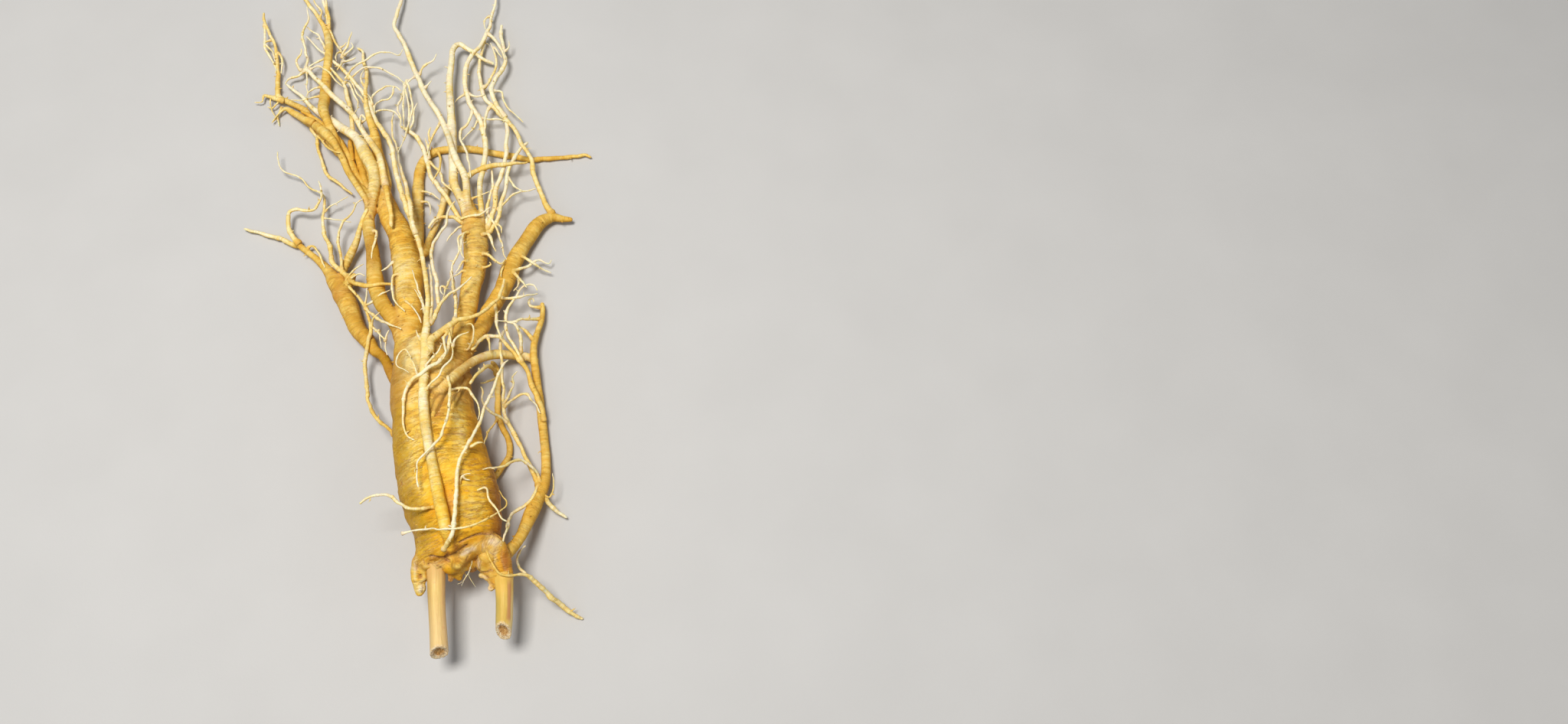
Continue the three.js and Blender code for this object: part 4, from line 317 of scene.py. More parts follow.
    "S11b": ("F", 0.04, 0.0, "S11a", [[-15.3, 116.77, 9.89, 0.48], [-15.75, 115.68, 9.75, 0.48], [-15.76, 113.13, 9.46, 0.49], [-16.1, 111.94, 9.31, 0.49], [-16.77, 110.96, 9.16,
        0.49], [-18.61, 109.59, 8.87, 0.49], [-22.02, 109.09, 8.77, 0.49], [-22.93, 108.33, 8.97, 0.49], [-23.63, 107.22, 9.33, 0.48], [-24.11, 105.83, 9.86, 0.48], [-24.32, 104.2,
        10.51, 0.48], [-23.89, 98.75, 12.77, 0.48]]),
    "S11c": ("F", 0.04, 0.0, "V", [[-25.03, 99.11, 11.29, 0.49], [-24.07, 99.65, 11.17, 0.49], [-23.28, 100.57, 11.02, 0.49], [-21.27, 101.7, 10.59, 0.49], [-19.13, 102.27, 10.06,
        0.48], [-16.91, 102.16, 9.63, 0.48], [-14.74, 101.29, 9.39, 0.48], [-13.76, 100.46, 9.36, 0.47], [-12.12, 98.28, 9.42, 0.46], [-10.84, 95.72, 9.57, 0.44]]),
    "H1": ("F", 0.04, 0.0, "H6", [[-9.58, 118.86, 8.68, 0.53], [-10.77, 114.11, 8.06, 0.53], [-12.94, 107.15, 7.21, 0.53], [-13.49, 104.61, 7.23, 0.53], [-13.48, 103.16, 7.43,
        0.54], [-12.84, 101.75, 7.78, 0.54], [-11.81, 100.56, 8.24, 0.54], [-11.14, 99.06, 8.71, 0.54], [-10.86, 97.51, 9.08, 0.53], [-10.76, 94.78, 9.23, 0.53], [-10.88, 92.51,
        8.65, 0.53]]),
    "H2": ("F", 0.04, 0.0, "H6", [[-9.75, 119.02, 8.68, 0.54], [-10.49, 119.69, 8.69, 0.53], [-10.37, 115.65, 8.81, 0.51], [-10.44, 113.11, 8.7, 0.51], [-10.53, 107.45, 7.31, 0.5],
        [-10.46, 105.1, 6.9, 0.5], [-9.88, 97.79, 6.11, 0.49], [-9.51, 92.62, 6.1, 0.49]]),
    "H3": ("F", 0.04, 0.0, "H6", [[-10.38, 117.98, 8.55, 0.5], [-8.71, 110.66, 7.73, 0.5], [-7.64, 103.28, 6.91, 0.5], [-7.33, 95.82, 6.21, 0.49], [-7.26, 90.44, 6.48, 0.49]]),
    "H4": ("F", 0.04, 0.0, "H6", [[-8.26, 120.68, 8.93, 0.56], [-9.28, 121.06, 8.86, 0.55], [-7.1, 114.86, 8.6, 0.55], [-6.5, 112.28, 8.51, 0.54], [-5.75, 107.11, 8.28, 0.53],
        [-5.61, 103.22, 8.13, 0.52], [-5.96, 99.33, 8.1, 0.51], [-6.9, 92.77, 8.43, 0.5], [-8.65, 82.15, 9.58, 0.47], [-10.53, 74.5, 10.55, 0.46]]),
    "H5": ("F", 0.04, 0.0, "S19", [[-7.78, 91.58, 5.48, 0.53], [-7.7, 90.66, 5.67, 0.53], [-5.41, 94.62, 6.44, 0.53], [-4.88, 96.91, 6.83, 0.52], [-4.95, 100.52, 7.41, 0.5],
        [-4.69, 102.89, 7.79, 0.47], [-2.82, 107.18, 8.55, 0.43]]),
    "S12a": ("F", 0.04, 0.0, "S12", [[-3.27, 123.17, 8.6, 0.59], [-0.98, 127.37, 9.73, 0.57], [0.46, 129.25, 10.29, 0.56], [1.42, 129.92, 10.57, 0.56], [4.67, 131.34, 11.41, 0.54],
        [5.51, 132.16, 11.7, 0.53], [6.88, 135.51, 12.55, 0.51]]),
    "S12b": ("F", 0.04, 0.0, "S12", [[-0.53, 114.23, 9.5, 0.59], [1.19, 115.34, 10.01, 0.58], [4.88, 118.99, 10.95, 0.47]]),
    "S14a": ("F", 0.04, 0.0, "S14", [[23.16, 114.51, 7.55, 0.62], [23.38, 114, 7.33, 0.61], [22.61, 113.18, 7.11, 0.6], [17.62, 110.64, 5.99, 0.52], [16.93, 109.75, 5.77, 0.5],
        [16.49, 108.68, 5.55, 0.47]]),
    "S14b": ("F", 0.04, 0.0, "S14", [[22.87, 113.56, 7.55, 0.62], [26.18, 111.51, 7.88, 0.59], [28.5, 110.64, 8.11, 0.56], [29.67, 110.7, 8.22, 0.54], [33.01, 111.71, 8.55, 0.5]]),
    "S14c": ("F", 0.04, 0.0, "S14", [[26.73, 104.53, 8.66, 0.82], [27.26, 103.03, 9.06, 0.75], [27.27, 101.53, 9.39, 0.73], [27.05, 100.17, 9.56, 0.72], [26.35, 97.77, 9.5, 0.72],
        [24.58, 93.25, 9.29, 0.71], [23.39, 91.09, 9.45, 0.7], [21.94, 89.16, 9.69, 0.7], [21.46, 87.98, 9.82, 0.7], [21.22, 85.3, 10.1, 0.7], [21.57, 82.58, 10.37, 0.7], [22.01,
        81.27, 10.51, 0.7], [25.29, 73.85, 11.24, 0.69], [26.07, 71.28, 11.46, 0.68], [27.06, 65.93, 12.05, 0.68], [27.97, 60.31, 13.14, 0.63], [28.32, 57.62, 13.49, 0.58]]),
    "S14d": ("F", 0.04, 0.0, "S14", [[30.76, 96.18, 8.84, 0.49], [29.48, 94.05, 8.82, 0.49], [28.15, 90.49, 8.7, 0.48], [26.77, 88.46, 8.75, 0.48], [25.13, 86.56, 9.2, 0.48],
        [24.42, 85.42, 9.63, 0.47], [22.55, 81.54, 11.46, 0.47]]),
    "S14e": ("F", 0.04, 0.0, "S15", [[37.11, 105.18, 7.28, 0.79], [36.15, 104.4, 7.37, 0.79], [35.39, 103.36, 7.48, 0.79], [34.49, 100.68, 7.83, 0.77], [34, 97.61, 8.56, 0.76],
        [33.94, 94.19, 9.7, 0.75], [34.33, 89.09, 11.31, 0.72], [35.1, 83.16, 12.16, 0.6]]),
    "RLa": ("F", 0.07, 0.02, "RL", [[27.13, 42.99, 10.55, 0.57], [28.14, 45.07, 10.93, 0.58], [28.88, 45.93, 11.16, 0.58], [29.84, 46.51, 11.42, 0.57], [33.03, 47.69, 12.16, 0.54],
        [38.33, 49.72, 12.55, 0.51]]),
    "RLb": ("F", 0.07, 0.02, "S26", [[43.35, 39.62, 10.55, 0.6], [42.8, 40.11, 10.74, 0.59], [45.18, 42.41, 11.06, 0.58], [48.79, 47.14, 10.26, 0.57], [50.49, 48.65, 10.07, 0.56],
        [52.46, 49.68, 9.96, 0.55], [55.59, 50.71, 9.82, 0.54], [62.03, 52.09, 9.55, 0.52]]),
    "RLc": ("F", 0.07, 0.02, "S26", [[46.8, 59.91, 11.32, 0.6], [49.55, 55.56, 10.55, 0.58], [51.02, 53.7, 10.29, 0.56], [52.95, 52.23, 10.29, 0.54], [55.04, 50.77, 10.63, 0.52]]),
    "RLd": ("F", 0.07, 0.02, "S27", [[37.14, 37.49, 10.26, 0.6], [39.58, 34.54, 10.62, 0.59], [40.89, 32.22, 10.96, 0.58], [41.98, 30.04, 10.89, 0.57], [42.79, 28.05, 10.26, 0.55],
        [44.15, 24.23, 8.58, 0.53], [45.43, 21.06, 8.04, 0.52], [45.86, 17.34, 8.14, 0.5], [46.3, 14.75, 8.49, 0.49], [47.37, 12.13, 9.23, 0.48], [48.62, 9.39, 10.35, 0.47]]),
    "RLe": ("F", 0.07, 0.02, "RL", [[29.82, 24.78, 13.55, 0.59], [26.56, 24.97, 13.29, 0.58], [25.52, 24.74, 13.2, 0.58], [24.58, 24.26, 13.12, 0.58], [23.79, 23.54, 13.03, 0.57],
        [23.32, 22.54, 12.94, 0.57], [23.25, 21.4, 12.86, 0.57], [23.98, 16.81, 12.52, 0.56], [24.02, 14.51, 12.37, 0.55], [23.25, 12.43, 12.25, 0.55], [21.53, 9.62, 12.15, 0.54],
        [20.77, 7.48, 12.18, 0.54], [20.83, 5.08, 12.3, 0.53], [21.82, 0.17, 12.85, 0.52], [23.48, -6.06, 13.94, 0.51], [25.05, -13.62, 15.46, 0.5], [25.3, -17.38, 16.25, 0.49],
        [24.83, -23.49, 17.55, 0.48]]),
    "RLf": ("F", 0.07, 0.02, "RL", [[28.48, 30.96, 11.55, 0.58], [26.41, 30.35, 11.26, 0.58], [23.2, 29.92, 10.84, 0.58], [21.4, 28.78, 10.55, 0.55], [19.9, 27.24, 10.26, 0.53],
        [19.3, 26.33, 10.12, 0.52], [17.22, 22.47, 9.55, 0.49]]),
    "RLg": ("F", 0.07, 0.02, "RL", [[27.61, 35.05, 12.75, 0.68], [24.84, 33.47, 13.65, 0.68], [26.51, 33.83, 14.36, 0.68], [29.75, 34.25, 15.25, 0.68], [31.91, 34.32, 15.48, 0.69],
        [33.98, 34.67, 15.37, 0.68], [35.8, 35.81, 14.99, 0.66], [39.63, 40.16, 13.55, 0.58]]),
    "LBa": ("F", 0.11, 0.04, "LB", [[-55.65, 22.94, 3.55, 0.56], [-54.14, 24.49, 4.08, 0.57], [-53.01, 24.61, 4.35, 0.58], [-51.86, 24.01, 4.62, 0.58], [-50.01, 21.9, 5.15, 0.57],
        [-48.51, 19.47, 5.68, 0.57], [-46.42, 14.2, 6.75, 0.56], [-44.4, 10.47, 7.55, 0.47]]),
    "LBb": ("F", 0.11, 0.04, "LBn", [[-31.28, 1.03, 10.42, 0.48], [-32.09, 1.78, 10.6, 0.47], [-31.6, 2.72, 10.77, 0.47], [-27.98, 6.8, 11.67, 0.44], [-26.22, 8.09, 12.03, 0.43],
        [-23.34, 9.66, 12.55, 0.42]]),
    "LBc": ("F", 0.11, 0.04, "LBn", [[-31.9, -1.11, 10.55, 0.56], [-31.12, -0.37, 10.78, 0.55], [-29.24, 2.25, 11.4, 0.51], [-26.52, 3.97, 11.87, 0.49], [-25.48, 4.3, 12.03, 0.48],
        [-24.35, 4.26, 12.19, 0.46], [-22.13, 3.21, 12.55, 0.43]]),
    "LB2a": ("F", 0.07, 0.02, "LB2", [[-47.96, 41.27, 6.09, 0.37], [-47.83, 42.33, 6.19, 0.37], [-46.58, 44.26, 6.34, 0.37], [-45.12, 46.01, 6.43, 0.37], [-43.28, 47.24, 6.51,
        0.37], [-40.24, 48.64, 6.76, 0.36], [-35.55, 51.68, 7.56, 0.34]]),
    "LB2b": ("F", 0.07, 0.02, "LB2", [[-47.98, 40.14, 6.25, 0.4], [-46.79, 39.41, 6.61, 0.4], [-45.51, 38.93, 7.01, 0.39], [-38.83, 36.4, 9.97, 0.37], [-36.28, 35.5, 10.86, 0.37],
        [-33.98, 35.01, 10.99, 0.36], [-31.91, 34.87, 10.44, 0.36]]),
    "LDa": ("F", 0.07, 0.02, "LD", [[-20.93, -14.61, 13.75, 0.75], [-16.41, -19.74, 16.05, 0.72], [-13.39, -22.31, 17.39, 0.7], [-6.84, -26.9, 20.72, 0.67], [1.15, -32.1, 25.55,
        0.48]]),
    "LDb": ("F", 0.07, 0.02, "LD", [[-17.09, -26.24, 12.55, 0.54], [-16.09, -23.68, 14.69, 0.52], [-15.18, -22.18, 16.48, 0.49], [-14.35, -21.63, 17.37, 0.48], [-11.45, -20.31,
        19.65, 0.44]]),
    "LDc": ("F", 0.07, 0.02, "LD", [[-17.64, -23.75, 12.55, 0.55], [-16.12, -25.77, 12.9, 0.56], [-12.55, -29.21, 13.61, 0.53], [-10.98, -31.15, 13.96, 0.51], [-9.62, -33.26,
        14.31, 0.49], [-9.16, -34.42, 14.49, 0.48], [-8.58, -38.05, 15.02, 0.46], [-7.47, -41.59, 15.55, 0.43]]),
    "LDd": ("F", 0.07, 0.02, "LDc", [[-9.69, -33.47, 14.31, 0.56], [-9.26, -33.42, 14.75, 0.54], [-8.32, -31.11, 16.08, 0.48], [-7.02, -28.96, 17.45, 0.43]]),
    "ARa": ("F", 0.06, 0.02, "AR", [[27.17, -32.08, 30.32, 0.9], [27.5, -29.59, 29.28, 0.9], [27.54, -26.99, 28.24, 0.88], [27.14, -20.35, 25.65, 0.81], [25.92, -15, 23.64, 0.72],
        [23.72, -6.99, 20.79, 0.65], [21.78, 2.55, 17.55, 0.48]]),
    "ARb": ("F", 0.06, 0.02, "Vb", [[17.68, -28.88, 31.09, 0.71], [19.61, -23.67, 30.42, 0.72], [21.74, -18.19, 28.54, 0.69], [23.34, -15.15, 27.54, 0.67], [24.02, -14.29, 27.21,
        0.66], [26.51, -12.42, 26.2, 0.63], [28.79, -10.11, 25.13, 0.6], [30.84, -7.42, 24.03, 0.58], [33.3, -3.47, 22.55, 0.56]]),
    "Xa": ("F", 0.05, 0.01, "X", [[18.71, -58.23, 41.22, 0.53], [17.86, -57.53, 41.04, 0.53], [18.21, -56.6, 40.87, 0.53], [22.72, -49.98, 39.51, 0.47], [23.59, -48.08, 39.16,
        0.46], [24.22, -46.04, 38.8, 0.44]]),
    "Xb": ("F", 0.05, 0.01, "V", [[18.68, -69.93, 41.86, 0.52], [20.05, -67.16, 41.09, 0.52], [23.09, -63.26, 40.46, 0.51], [24.17, -61.52, 40.03, 0.51], [25.45, -57.35, 38.83,
        0.49], [28.68, -53.45, 37.42, 0.48], [29.09, -51.26, 36.92, 0.47], [28.54, -45.38, 35.72, 0.46]]),
    "Xc": ("F", 0.05, 0.01, "X", [[14.26, -62.01, 41.28, 0.41], [12.71, -56.82, 41.12, 0.39], [11.47, -53.81, 41.08, 0.38], [9.29, -49.95, 40.85, 0.38], [8.58, -49.09, 40.76,
        0.38], [7.68, -48.53, 40.66, 0.38], [6.75, -48.76, 40.56, 0.38], [5.99, -49.35, 40.45, 0.37], [4.79, -50.87, 40.22, 0.37], [4.11, -52.72, 39.99, 0.36], [3.99, -54.72,
        39.75, 0.36], [4.2, -55.73, 39.63, 0.36], [4.7, -56.61, 39.52, 0.36], [5.43, -57.3, 39.4, 0.36], [9.67, -59.81, 38.81, 0.35]]),
    "A1": ("F", 0.07, 0.02, "legA", [[-2.24, 1.07, 17.54, 0.57], [-5.17, 0.46, 18.51, 0.56], [-6.05, -0.07, 18.88, 0.56], [-6.5, -1.17, 19.27, 0.55], [-6.2, -6.56, 20.7, 0.54],
        [-5.32, -11.74, 21.73, 0.52], [-4.45, -14.19, 22.13, 0.52], [-2.35, -17.39, 22.68, 0.5], [1.9, -21.97, 23.55, 0.48]]),
    "A2": ("F", 0.07, 0.02, "legA", [[-2.85, -9.88, 17.86, 0.46], [-1.27, -12.61, 19.36, 0.46], [3.8, -18.11, 22.72, 0.46], [7.33, -22.75, 25.07, 0.45], [9.5, -26.28, 26.4, 0.44],
        [11.06, -30.01, 27.54, 0.43]]),
    "REa": ("F", 0.07, 0.02, "RE", [[47.74, -67.13, 7.55, 0.56], [50.85, -63.05, 9.22, 0.63], [52.73, -59.42, 10.55, 0.58], [53.31, -57.45, 11.22, 0.56], [52.96, -54.4, 12.22,
        0.53], [53.42, -53.5, 12.55, 0.52], [55.78, -51.48, 13.55, 0.49]]),
    "REb": ("F", 0.07, 0.02, "RE", [[48.52, -68.35, 7.55, 0.56], [49.87, -66.95, 8.35, 0.67], [55.82, -63.3, 10.86, 0.63], [57.72, -62.62, 11.28, 0.62], [59.78, -62.62, 11.44,
        0.6], [60.73, -63.03, 11.4, 0.6], [61.36, -63.87, 11.3, 0.59], [62.25, -65.73, 10.94, 0.58], [64.98, -68.58, 9.82, 0.55], [66.69, -72.12, 8.55, 0.48]]),
    "REc": ("F", 0.07, 0.02, "RE", [[51, -76.75, 7.55, 0.64], [49.78, -75.48, 8.73, 0.64], [48.52, -74.44, 10.28, 0.65], [43.99, -73.24, 15.81, 0.63], [42.29, -71.81, 18.51, 0.59],
        [41.53, -70.54, 20.3, 0.56], [41.06, -69.14, 22.1, 0.54], [41.2, -67.65, 23.93, 0.54], [41.85, -66.19, 25.76, 0.54], [41.85, -65.45, 26.66, 0.52], [41.17, -64.17, 28.44,
        0.43]]),
    "RDa": ("F", 0.07, 0.02, "RF", [[58.49, -48.28, 12.26, 0.74], [57.44, -45.47, 13.14, 0.74], [56.6, -43.54, 13.48, 0.75], [54.64, -39.55, 13.61, 0.75], [51.03, -32.91, 14.41,
        0.75], [49.78, -29.88, 14.7, 0.75], [49.36, -27.71, 14.85, 0.75], [49.27, -25.48, 14.94, 0.75], [49.48, -22.1, 14.94, 0.75], [49.84, -19.85, 14.84, 0.75], [50.52, -17.68,
        14.67, 0.75], [52.74, -13.79, 14.18, 0.72], [54.73, -9.67, 13.58, 0.69], [56.5, -6.76, 13.12, 0.68], [57.96, -5.11, 12.8, 0.68], [59.87, -4.25, 12.49, 0.65], [61.92, -4.13,
        12.18, 0.6], [62.83, -4.62, 12.02, 0.56], [64.33, -7.52, 11.55, 0.46]]),
    "RDb": ("F", 0.07, 0.02, "RD", [[67.3, -107.67, 8.01, 0.72], [66.46, -104.03, 9.52, 0.69], [66.19, -103.19, 10.04, 0.69], [65.38, -101.69, 11.31, 0.68], [63.55, -100.1, 13.55,
        0.7], [59.89, -98.4, 17.44, 0.72], [59.07, -98.36, 18.25, 0.72], [57.43, -99.08, 19.93, 0.73], [55.17, -100.77, 22.59, 0.72], [53.11, -102.83, 25.3, 0.73], [51.64, -103.96,
        27.05, 0.71], [44.55, -106.71, 34.34, 0.49]]),
    "RDc": ("F", 0.07, 0.02, "RD", [[68.21, -113.15, 8.55, 0.9], [69.94, -115.23, 7.15, 0.99], [71.27, -117.61, 5.82, 1.08], [72.58, -118.93, 5.03, 1.08], [75.53, -121.32, 3.78,
        1.08], [78.07, -122.69, 3.03, 1.1], [79.63, -123.85, 2.55, 0.72]]),
    "RDd": ("F", 0.05, 0.01, "RD", [[67.7, -109.19, 8.78, 0.72], [66.85, -108.74, 9.1, 0.73], [66.1, -109.16, 9.46, 0.73], [65.41, -112.43, 10.76, 0.73], [64.71, -114.47, 11.5,
        0.73], [63.79, -116.33, 11.98, 0.73], [62.57, -117.93, 12.25, 0.73], [60.36, -119.87, 12.67, 0.73], [58.67, -120.8, 13.26, 0.73], [57.11, -121.95, 14.33, 0.72], [55.81,
        -123.45, 15.95, 0.72], [55.4, -124.46, 16.92, 0.71], [55.05, -126.8, 19.05, 0.71], [54.4, -138.69, 30.11, 0.7], [54.05, -140.84, 31.86, 0.67], [53.49, -142.83, 33.23,
        0.51]]),
    "RDe": ("F", 0.11, 0.04, "body", [[39.68, -118.41, 35.72, 0.44], [42.59, -117.72, 37.23, 0.43], [44.42, -117.11, 37.75, 0.42], [46.2, -116.57, 37.53, 0.42], [47.04, -116.76,
        37.21, 0.43], [47.43, -117.56, 36.84, 0.46], [47.81, -119.36, 36.21, 0.51], [48.38, -121.28, 36.1, 0.51], [49.4, -123.22, 36.66, 0.5], [53.09, -127.59, 38.8, 0.5], [54.08,
        -129.36, 38.87, 0.5], [54.98, -130.97, 38.32, 0.5], [55.67, -131.51, 37.92, 0.49], [57.25, -132.25, 37.06, 0.44]]),
    "RDf": ("F", 0.11, 0.04, "RD", [[68.68, -112.98, 8.55, 0.36], [71.49, -114.94, 9.15, 0.36], [72.41, -114.63, 9.35, 0.36], [72.86, -113.71, 9.55, 0.36], [73.69, -110.72, 10.15,
        0.36], [74.24, -107.66, 10.75, 0.37], [74.23, -106.62, 10.95, 0.35], [73.57, -103.54, 11.55, 0.29]]),
    "CR4a": ("F", 0.05, 0.01, "CR4", [[65.35, -155.47, 21.67, 0.51], [62.94, -152.95, 19.73, 0.58], [59.71, -149.37, 16.65, 0.61], [58.5, -147.42, 15.56, 0.58], [58.19, -146.38,
        15.23, 0.57], [58.27, -144.38, 15, 0.55], [58.96, -142.59, 15.21, 0.53], [60.1, -141.09, 15.68, 0.54], [62.44, -139.43, 16.55, 0.46]]),
    "CR5a": ("F", 0, -0.05, "neck", [[38.78, -145.39, 31.09, 0.25], [39.87, -146.45, 29.5, 0.25], [40.2, -147.14, 28.7, 0.25], [40.18, -147.94, 27.91, 0.26], [39.43, -150.32,
        25.52, 0.27], [38.58, -151.81, 23.92, 0.26], [36.63, -153.73, 21.53, 0.23], [33.83, -157.23, 17.55, 0.2]]),
    "CR5b": ("F", 0, -0.05, "neck", [[33.94, -147.8, 25.55, 0.19], [37.33, -150.08, 22.22, 0.19], [37.54, -150.86, 21.55, 0.19], [37.14, -151.66, 20.88, 0.2], [37, -152.49, 20.22,
        0.2], [37.26, -153.3, 19.55, 0.2], [38.51, -155.49, 17.55, 0.18], [40.03, -157.51, 15.55, 0.15]]),
    "CR5c": ("F", 0, -0.05, "neck", [[31.63, -149.4, 22.8, 0.19], [34.87, -151.39, 21.04, 0.19], [35.62, -151.96, 20.58, 0.19], [36.18, -152.72, 20.11, 0.19], [36.04, -153.64,
        19.65, 0.19], [34.66, -155.07, 18.78, 0.2], [33.78, -155.59, 18.37, 0.19], [31.71, -156.09, 17.59, 0.16]]),
    "CR5d": ("F", 0.11, 0.04, "body", [[29.05, -147.33, 29.55, 0.49], [29.65, -149.76, 26.98, 0.41], [29.4, -151.49, 25.26, 0.38], [28.71, -153.17, 23.55, 0.34]]),
    "N1": ("F", 0.3, 0.2, "S3", [[-26.47, 48.9, 5.55, 1.16], [-29.56, 56.31, 4.87, 1.6], [-32.94, 63.52, 4.39, 1.67], [-35, 68.38, 4.16, 1.66], [-36.69, 74.79, 3.91, 1.67],
        [-38.31, 83.98, 3.55, 1.36]]),
    "N3": ("F", 0.58, 0.5, "LL", [[-25.86, 55.6, 6.55, 1.36], [-28.31, 62.19, 5.77, 1.82], [-30.5, 68.75, 5.27, 1.89], [-33.27, 76.53, 4.84, 1.69], [-34.65, 81.89, 4.55, 1.17]]),
    "h1": ("F", 0.04, 0.0, "S5", [[-53.56, 143.35, 7.23, 0.66], [-54.65, 143.59, 7.26, 0.66], [-55.41, 144.73, 7.26, 0.65], [-57.39, 148.6, 7.11, 0.62], [-59.07, 152.67, 6.92,
        0.59], [-59.95, 153.69, 6.92, 0.58], [-63.17, 155.4, 7.13, 0.54], [-65.86, 157.92, 7.57, 0.42]]),
    "h2": ("F", 0.04, 0.0, "S5", [[-52.75, 136.39, 9.03, 0.63], [-58.67, 134.89, 7.53, 0.54], [-60.84, 133.87, 6.96, 0.49], [-61.77, 133.1, 6.85, 0.48], [-62.53, 132.09, 6.89,
        0.46], [-63.08, 129.21, 7.28, 0.42]]),
    "h3": ("F", 0.04, 0.0, "S2", [[-63.78, 130.88, 5.55, 0.55], [-59.12, 131.6, 7.46, 0.52], [-57.87, 131.55, 7.99, 0.52], [-56.55, 131.01, 8.55, 0.53], [-55.25, 130.2, 9.09,
        0.53], [-52.85, 128.44, 9.9, 0.54], [-51.79, 127.61, 10.06, 0.54], [-49.99, 125.96, 9.94, 0.54], [-47.44, 122.07, 9.11, 0.5], [-45.86, 120.53, 8.62, 0.48], [-42.5, 117.86,
        7.55, 0.37]]),
    "h4": ("F", 0.04, 0.0, "S2", [[-63.61, 130.22, 5.55, 0.49], [-64.12, 129.07, 5.46, 0.49], [-63.3, 123.54, 5.1, 0.43], [-63.65, 119.48, 4.82, 0.39], [-62.78, 115.41, 4.55,
        0.32]]),
    "h7": ("F", 0.04, 0.0, "S5", [[-53.45, 112.8, 7.29, 0.57], [-55.67, 112.93, 7.33, 0.55], [-57.84, 112.63, 7.38, 0.49], [-61.93, 111.15, 7.52, 0.44], [-64.08, 110.75, 7.54,
        0.42], [-67.4, 110.73, 7.54, 0.39], [-70.75, 111.23, 7.55, 0.33]]),
    "h8": ("F", 0.04, 0.0, "S5", [[-54.07, 120.42, 5.55, 0.56], [-56.47, 120.03, 5.35, 0.55], [-59.91, 118.92, 5.19, 0.48], [-60.99, 118.41, 5.28, 0.43], [-61.9, 117.58, 5.49,
        0.4], [-62.53, 116.33, 5.86, 0.38], [-62.6, 112.89, 6.95, 0.3]]),
    "h9": ("F", 0.05, 0.01, "S8", [[-43.4, 121.86, 6.28, 0.59], [-42.44, 122.47, 6.23, 0.6], [-41.38, 122.49, 6.18, 0.6], [-40.04, 120.28, 6.05, 0.58], [-37.31, 114.24, 5.79,
        0.52], [-35.82, 111.77, 6.07, 0.5], [-35.1, 110.34, 6.42, 0.48], [-34.61, 108.69, 6.93, 0.47], [-34.3, 105.17, 8.31, 0.43], [-34.39, 103.45, 9.1, 0.41], [-35.02, 100.31,
        10.7, 0.34]]),
    "h10": ("F", 0.05, 0.01, "S6", [[-27.86, 102.5, 12.46, 0.57], [-27.79, 103, 12.53, 0.58], [-29.41, 105.22, 12.34, 0.58], [-34.21, 112.09, 9.83, 0.54], [-35.04, 113.41, 9.53,
        0.53], [-36.22, 115.87, 9.5, 0.51], [-37.1, 118.03, 10.03, 0.49], [-38.92, 120.94, 10.84, 0.41]]),
    "h11": ("F", 0.04, 0.0, "S2", [[-32.43, 94.83, 9.09, 0.55], [-29.75, 94.74, 10.9, 0.55], [-28.52, 94.89, 11.71, 0.55], [-28.58, 95.69, 12.34, 0.54], [-29.39, 96.41, 12.71,
        0.53], [-30.45, 97.01, 12.79, 0.51], [-30.86, 95.97, 12.64, 0.49], [-31.02, 92.32, 11.86, 0.43], [-31.21, 89.77, 11.57, 0.34]]),
    "h12a": ("F", 0.04, 0.0, "S5e", [[-46.07, 141.78, 3.55, 0.57], [-45.61, 141.61, 3.88, 0.55], [-40.9, 145.05, 5.55, 0.46], [-40.59, 146.13, 5.88, 0.43], [-41.76, 148.14, 6.55,
        0.38]]),
    "h12b": ("F", 0.04, 0.0, "S5e", [[-46.17, 137.84, 3.55, 0.58], [-44.15, 137.35, 4.12, 0.5], [-42.93, 137.39, 4.41, 0.47], [-40.64, 137.95, 4.98, 0.42], [-38.46, 138.79, 5.55,
        0.31]]),
    "h12c": ("F", 0.04, 0.0, "S5e", [[-46.74, 143.56, 3.55, 0.59], [-47.66, 143.81, 3.69, 0.55], [-48.41, 142.95, 4.6, 0.49], [-48.92, 141.59, 5.55, 0.45], [-49.02, 139.79, 6.45,
        0.44], [-48.82, 137.84, 7.4, 0.42], [-47.65, 133.81, 9.43, 0.32]]),
    "h12d": ("F", 0.05, 0.01, "S5e", [[-46.03, 138.03, 3.55, 0.54], [-46, 135.48, 5.04, 0.54], [-44.95, 131.78, 8.87, 0.54], [-44.85, 129.85, 10.27, 0.53], [-45.38, 129, 10.25,
        0.52], [-46.81, 127.95, 9.36, 0.49]]),
    "h12e": ("F", 0.04, 0.0, "S5e", [[-48.74, 146.39, 3.55, 0.47], [-46.4, 146.93, 4.41, 0.44], [-45.73, 147.29, 4.69, 0.41], [-44.18, 148.9, 5.55, 0.31]]),
    "h13": ("F", 0.04, 0.0, "S6", [[-29.76, 115.77, 10.31, 0.58], [-31.66, 118.03, 10.06, 0.54], [-32.5, 119.35, 9.85, 0.53], [-33.45, 122.5, 9.3, 0.5], [-33.61, 124.14, 9, 0.48],
        [-33.43, 125.69, 8.72, 0.44], [-32.44, 128.42, 8.24, 0.35]]),
    "h14": ("F", 0.04, 0.0, "V", [[-26.85, 105.66, 10.99, 0.53], [-27.66, 107.13, 11.57, 0.51], [-28.31, 108.03, 12.9, 0.5], [-29.53, 108.67, 13.81, 0.42], [-30.57, 109.62, 13.13,
        0.37]]),
    "h14b": ("F", 0.04, 0.0, "V", [[-26.7, 104.4, 10.97, 0.5], [-25.83, 104.74, 11.35, 0.49], [-26.33, 106.85, 11.87, 0.5], [-27.22, 108.9, 12.29, 0.45], [-28.18, 110.47, 13.21,
        0.36]]),
    "b1": ("F", 0.04, 0.0, "S19", [[4.39, 72.32, 8.41, 0.66], [5.04, 73.27, 8.12, 0.66], [4.82, 74.81, 7.83, 0.65], [3.37, 82.57, 6.4, 0.57], [1.61, 87.01, 5.54, 0.4]]),
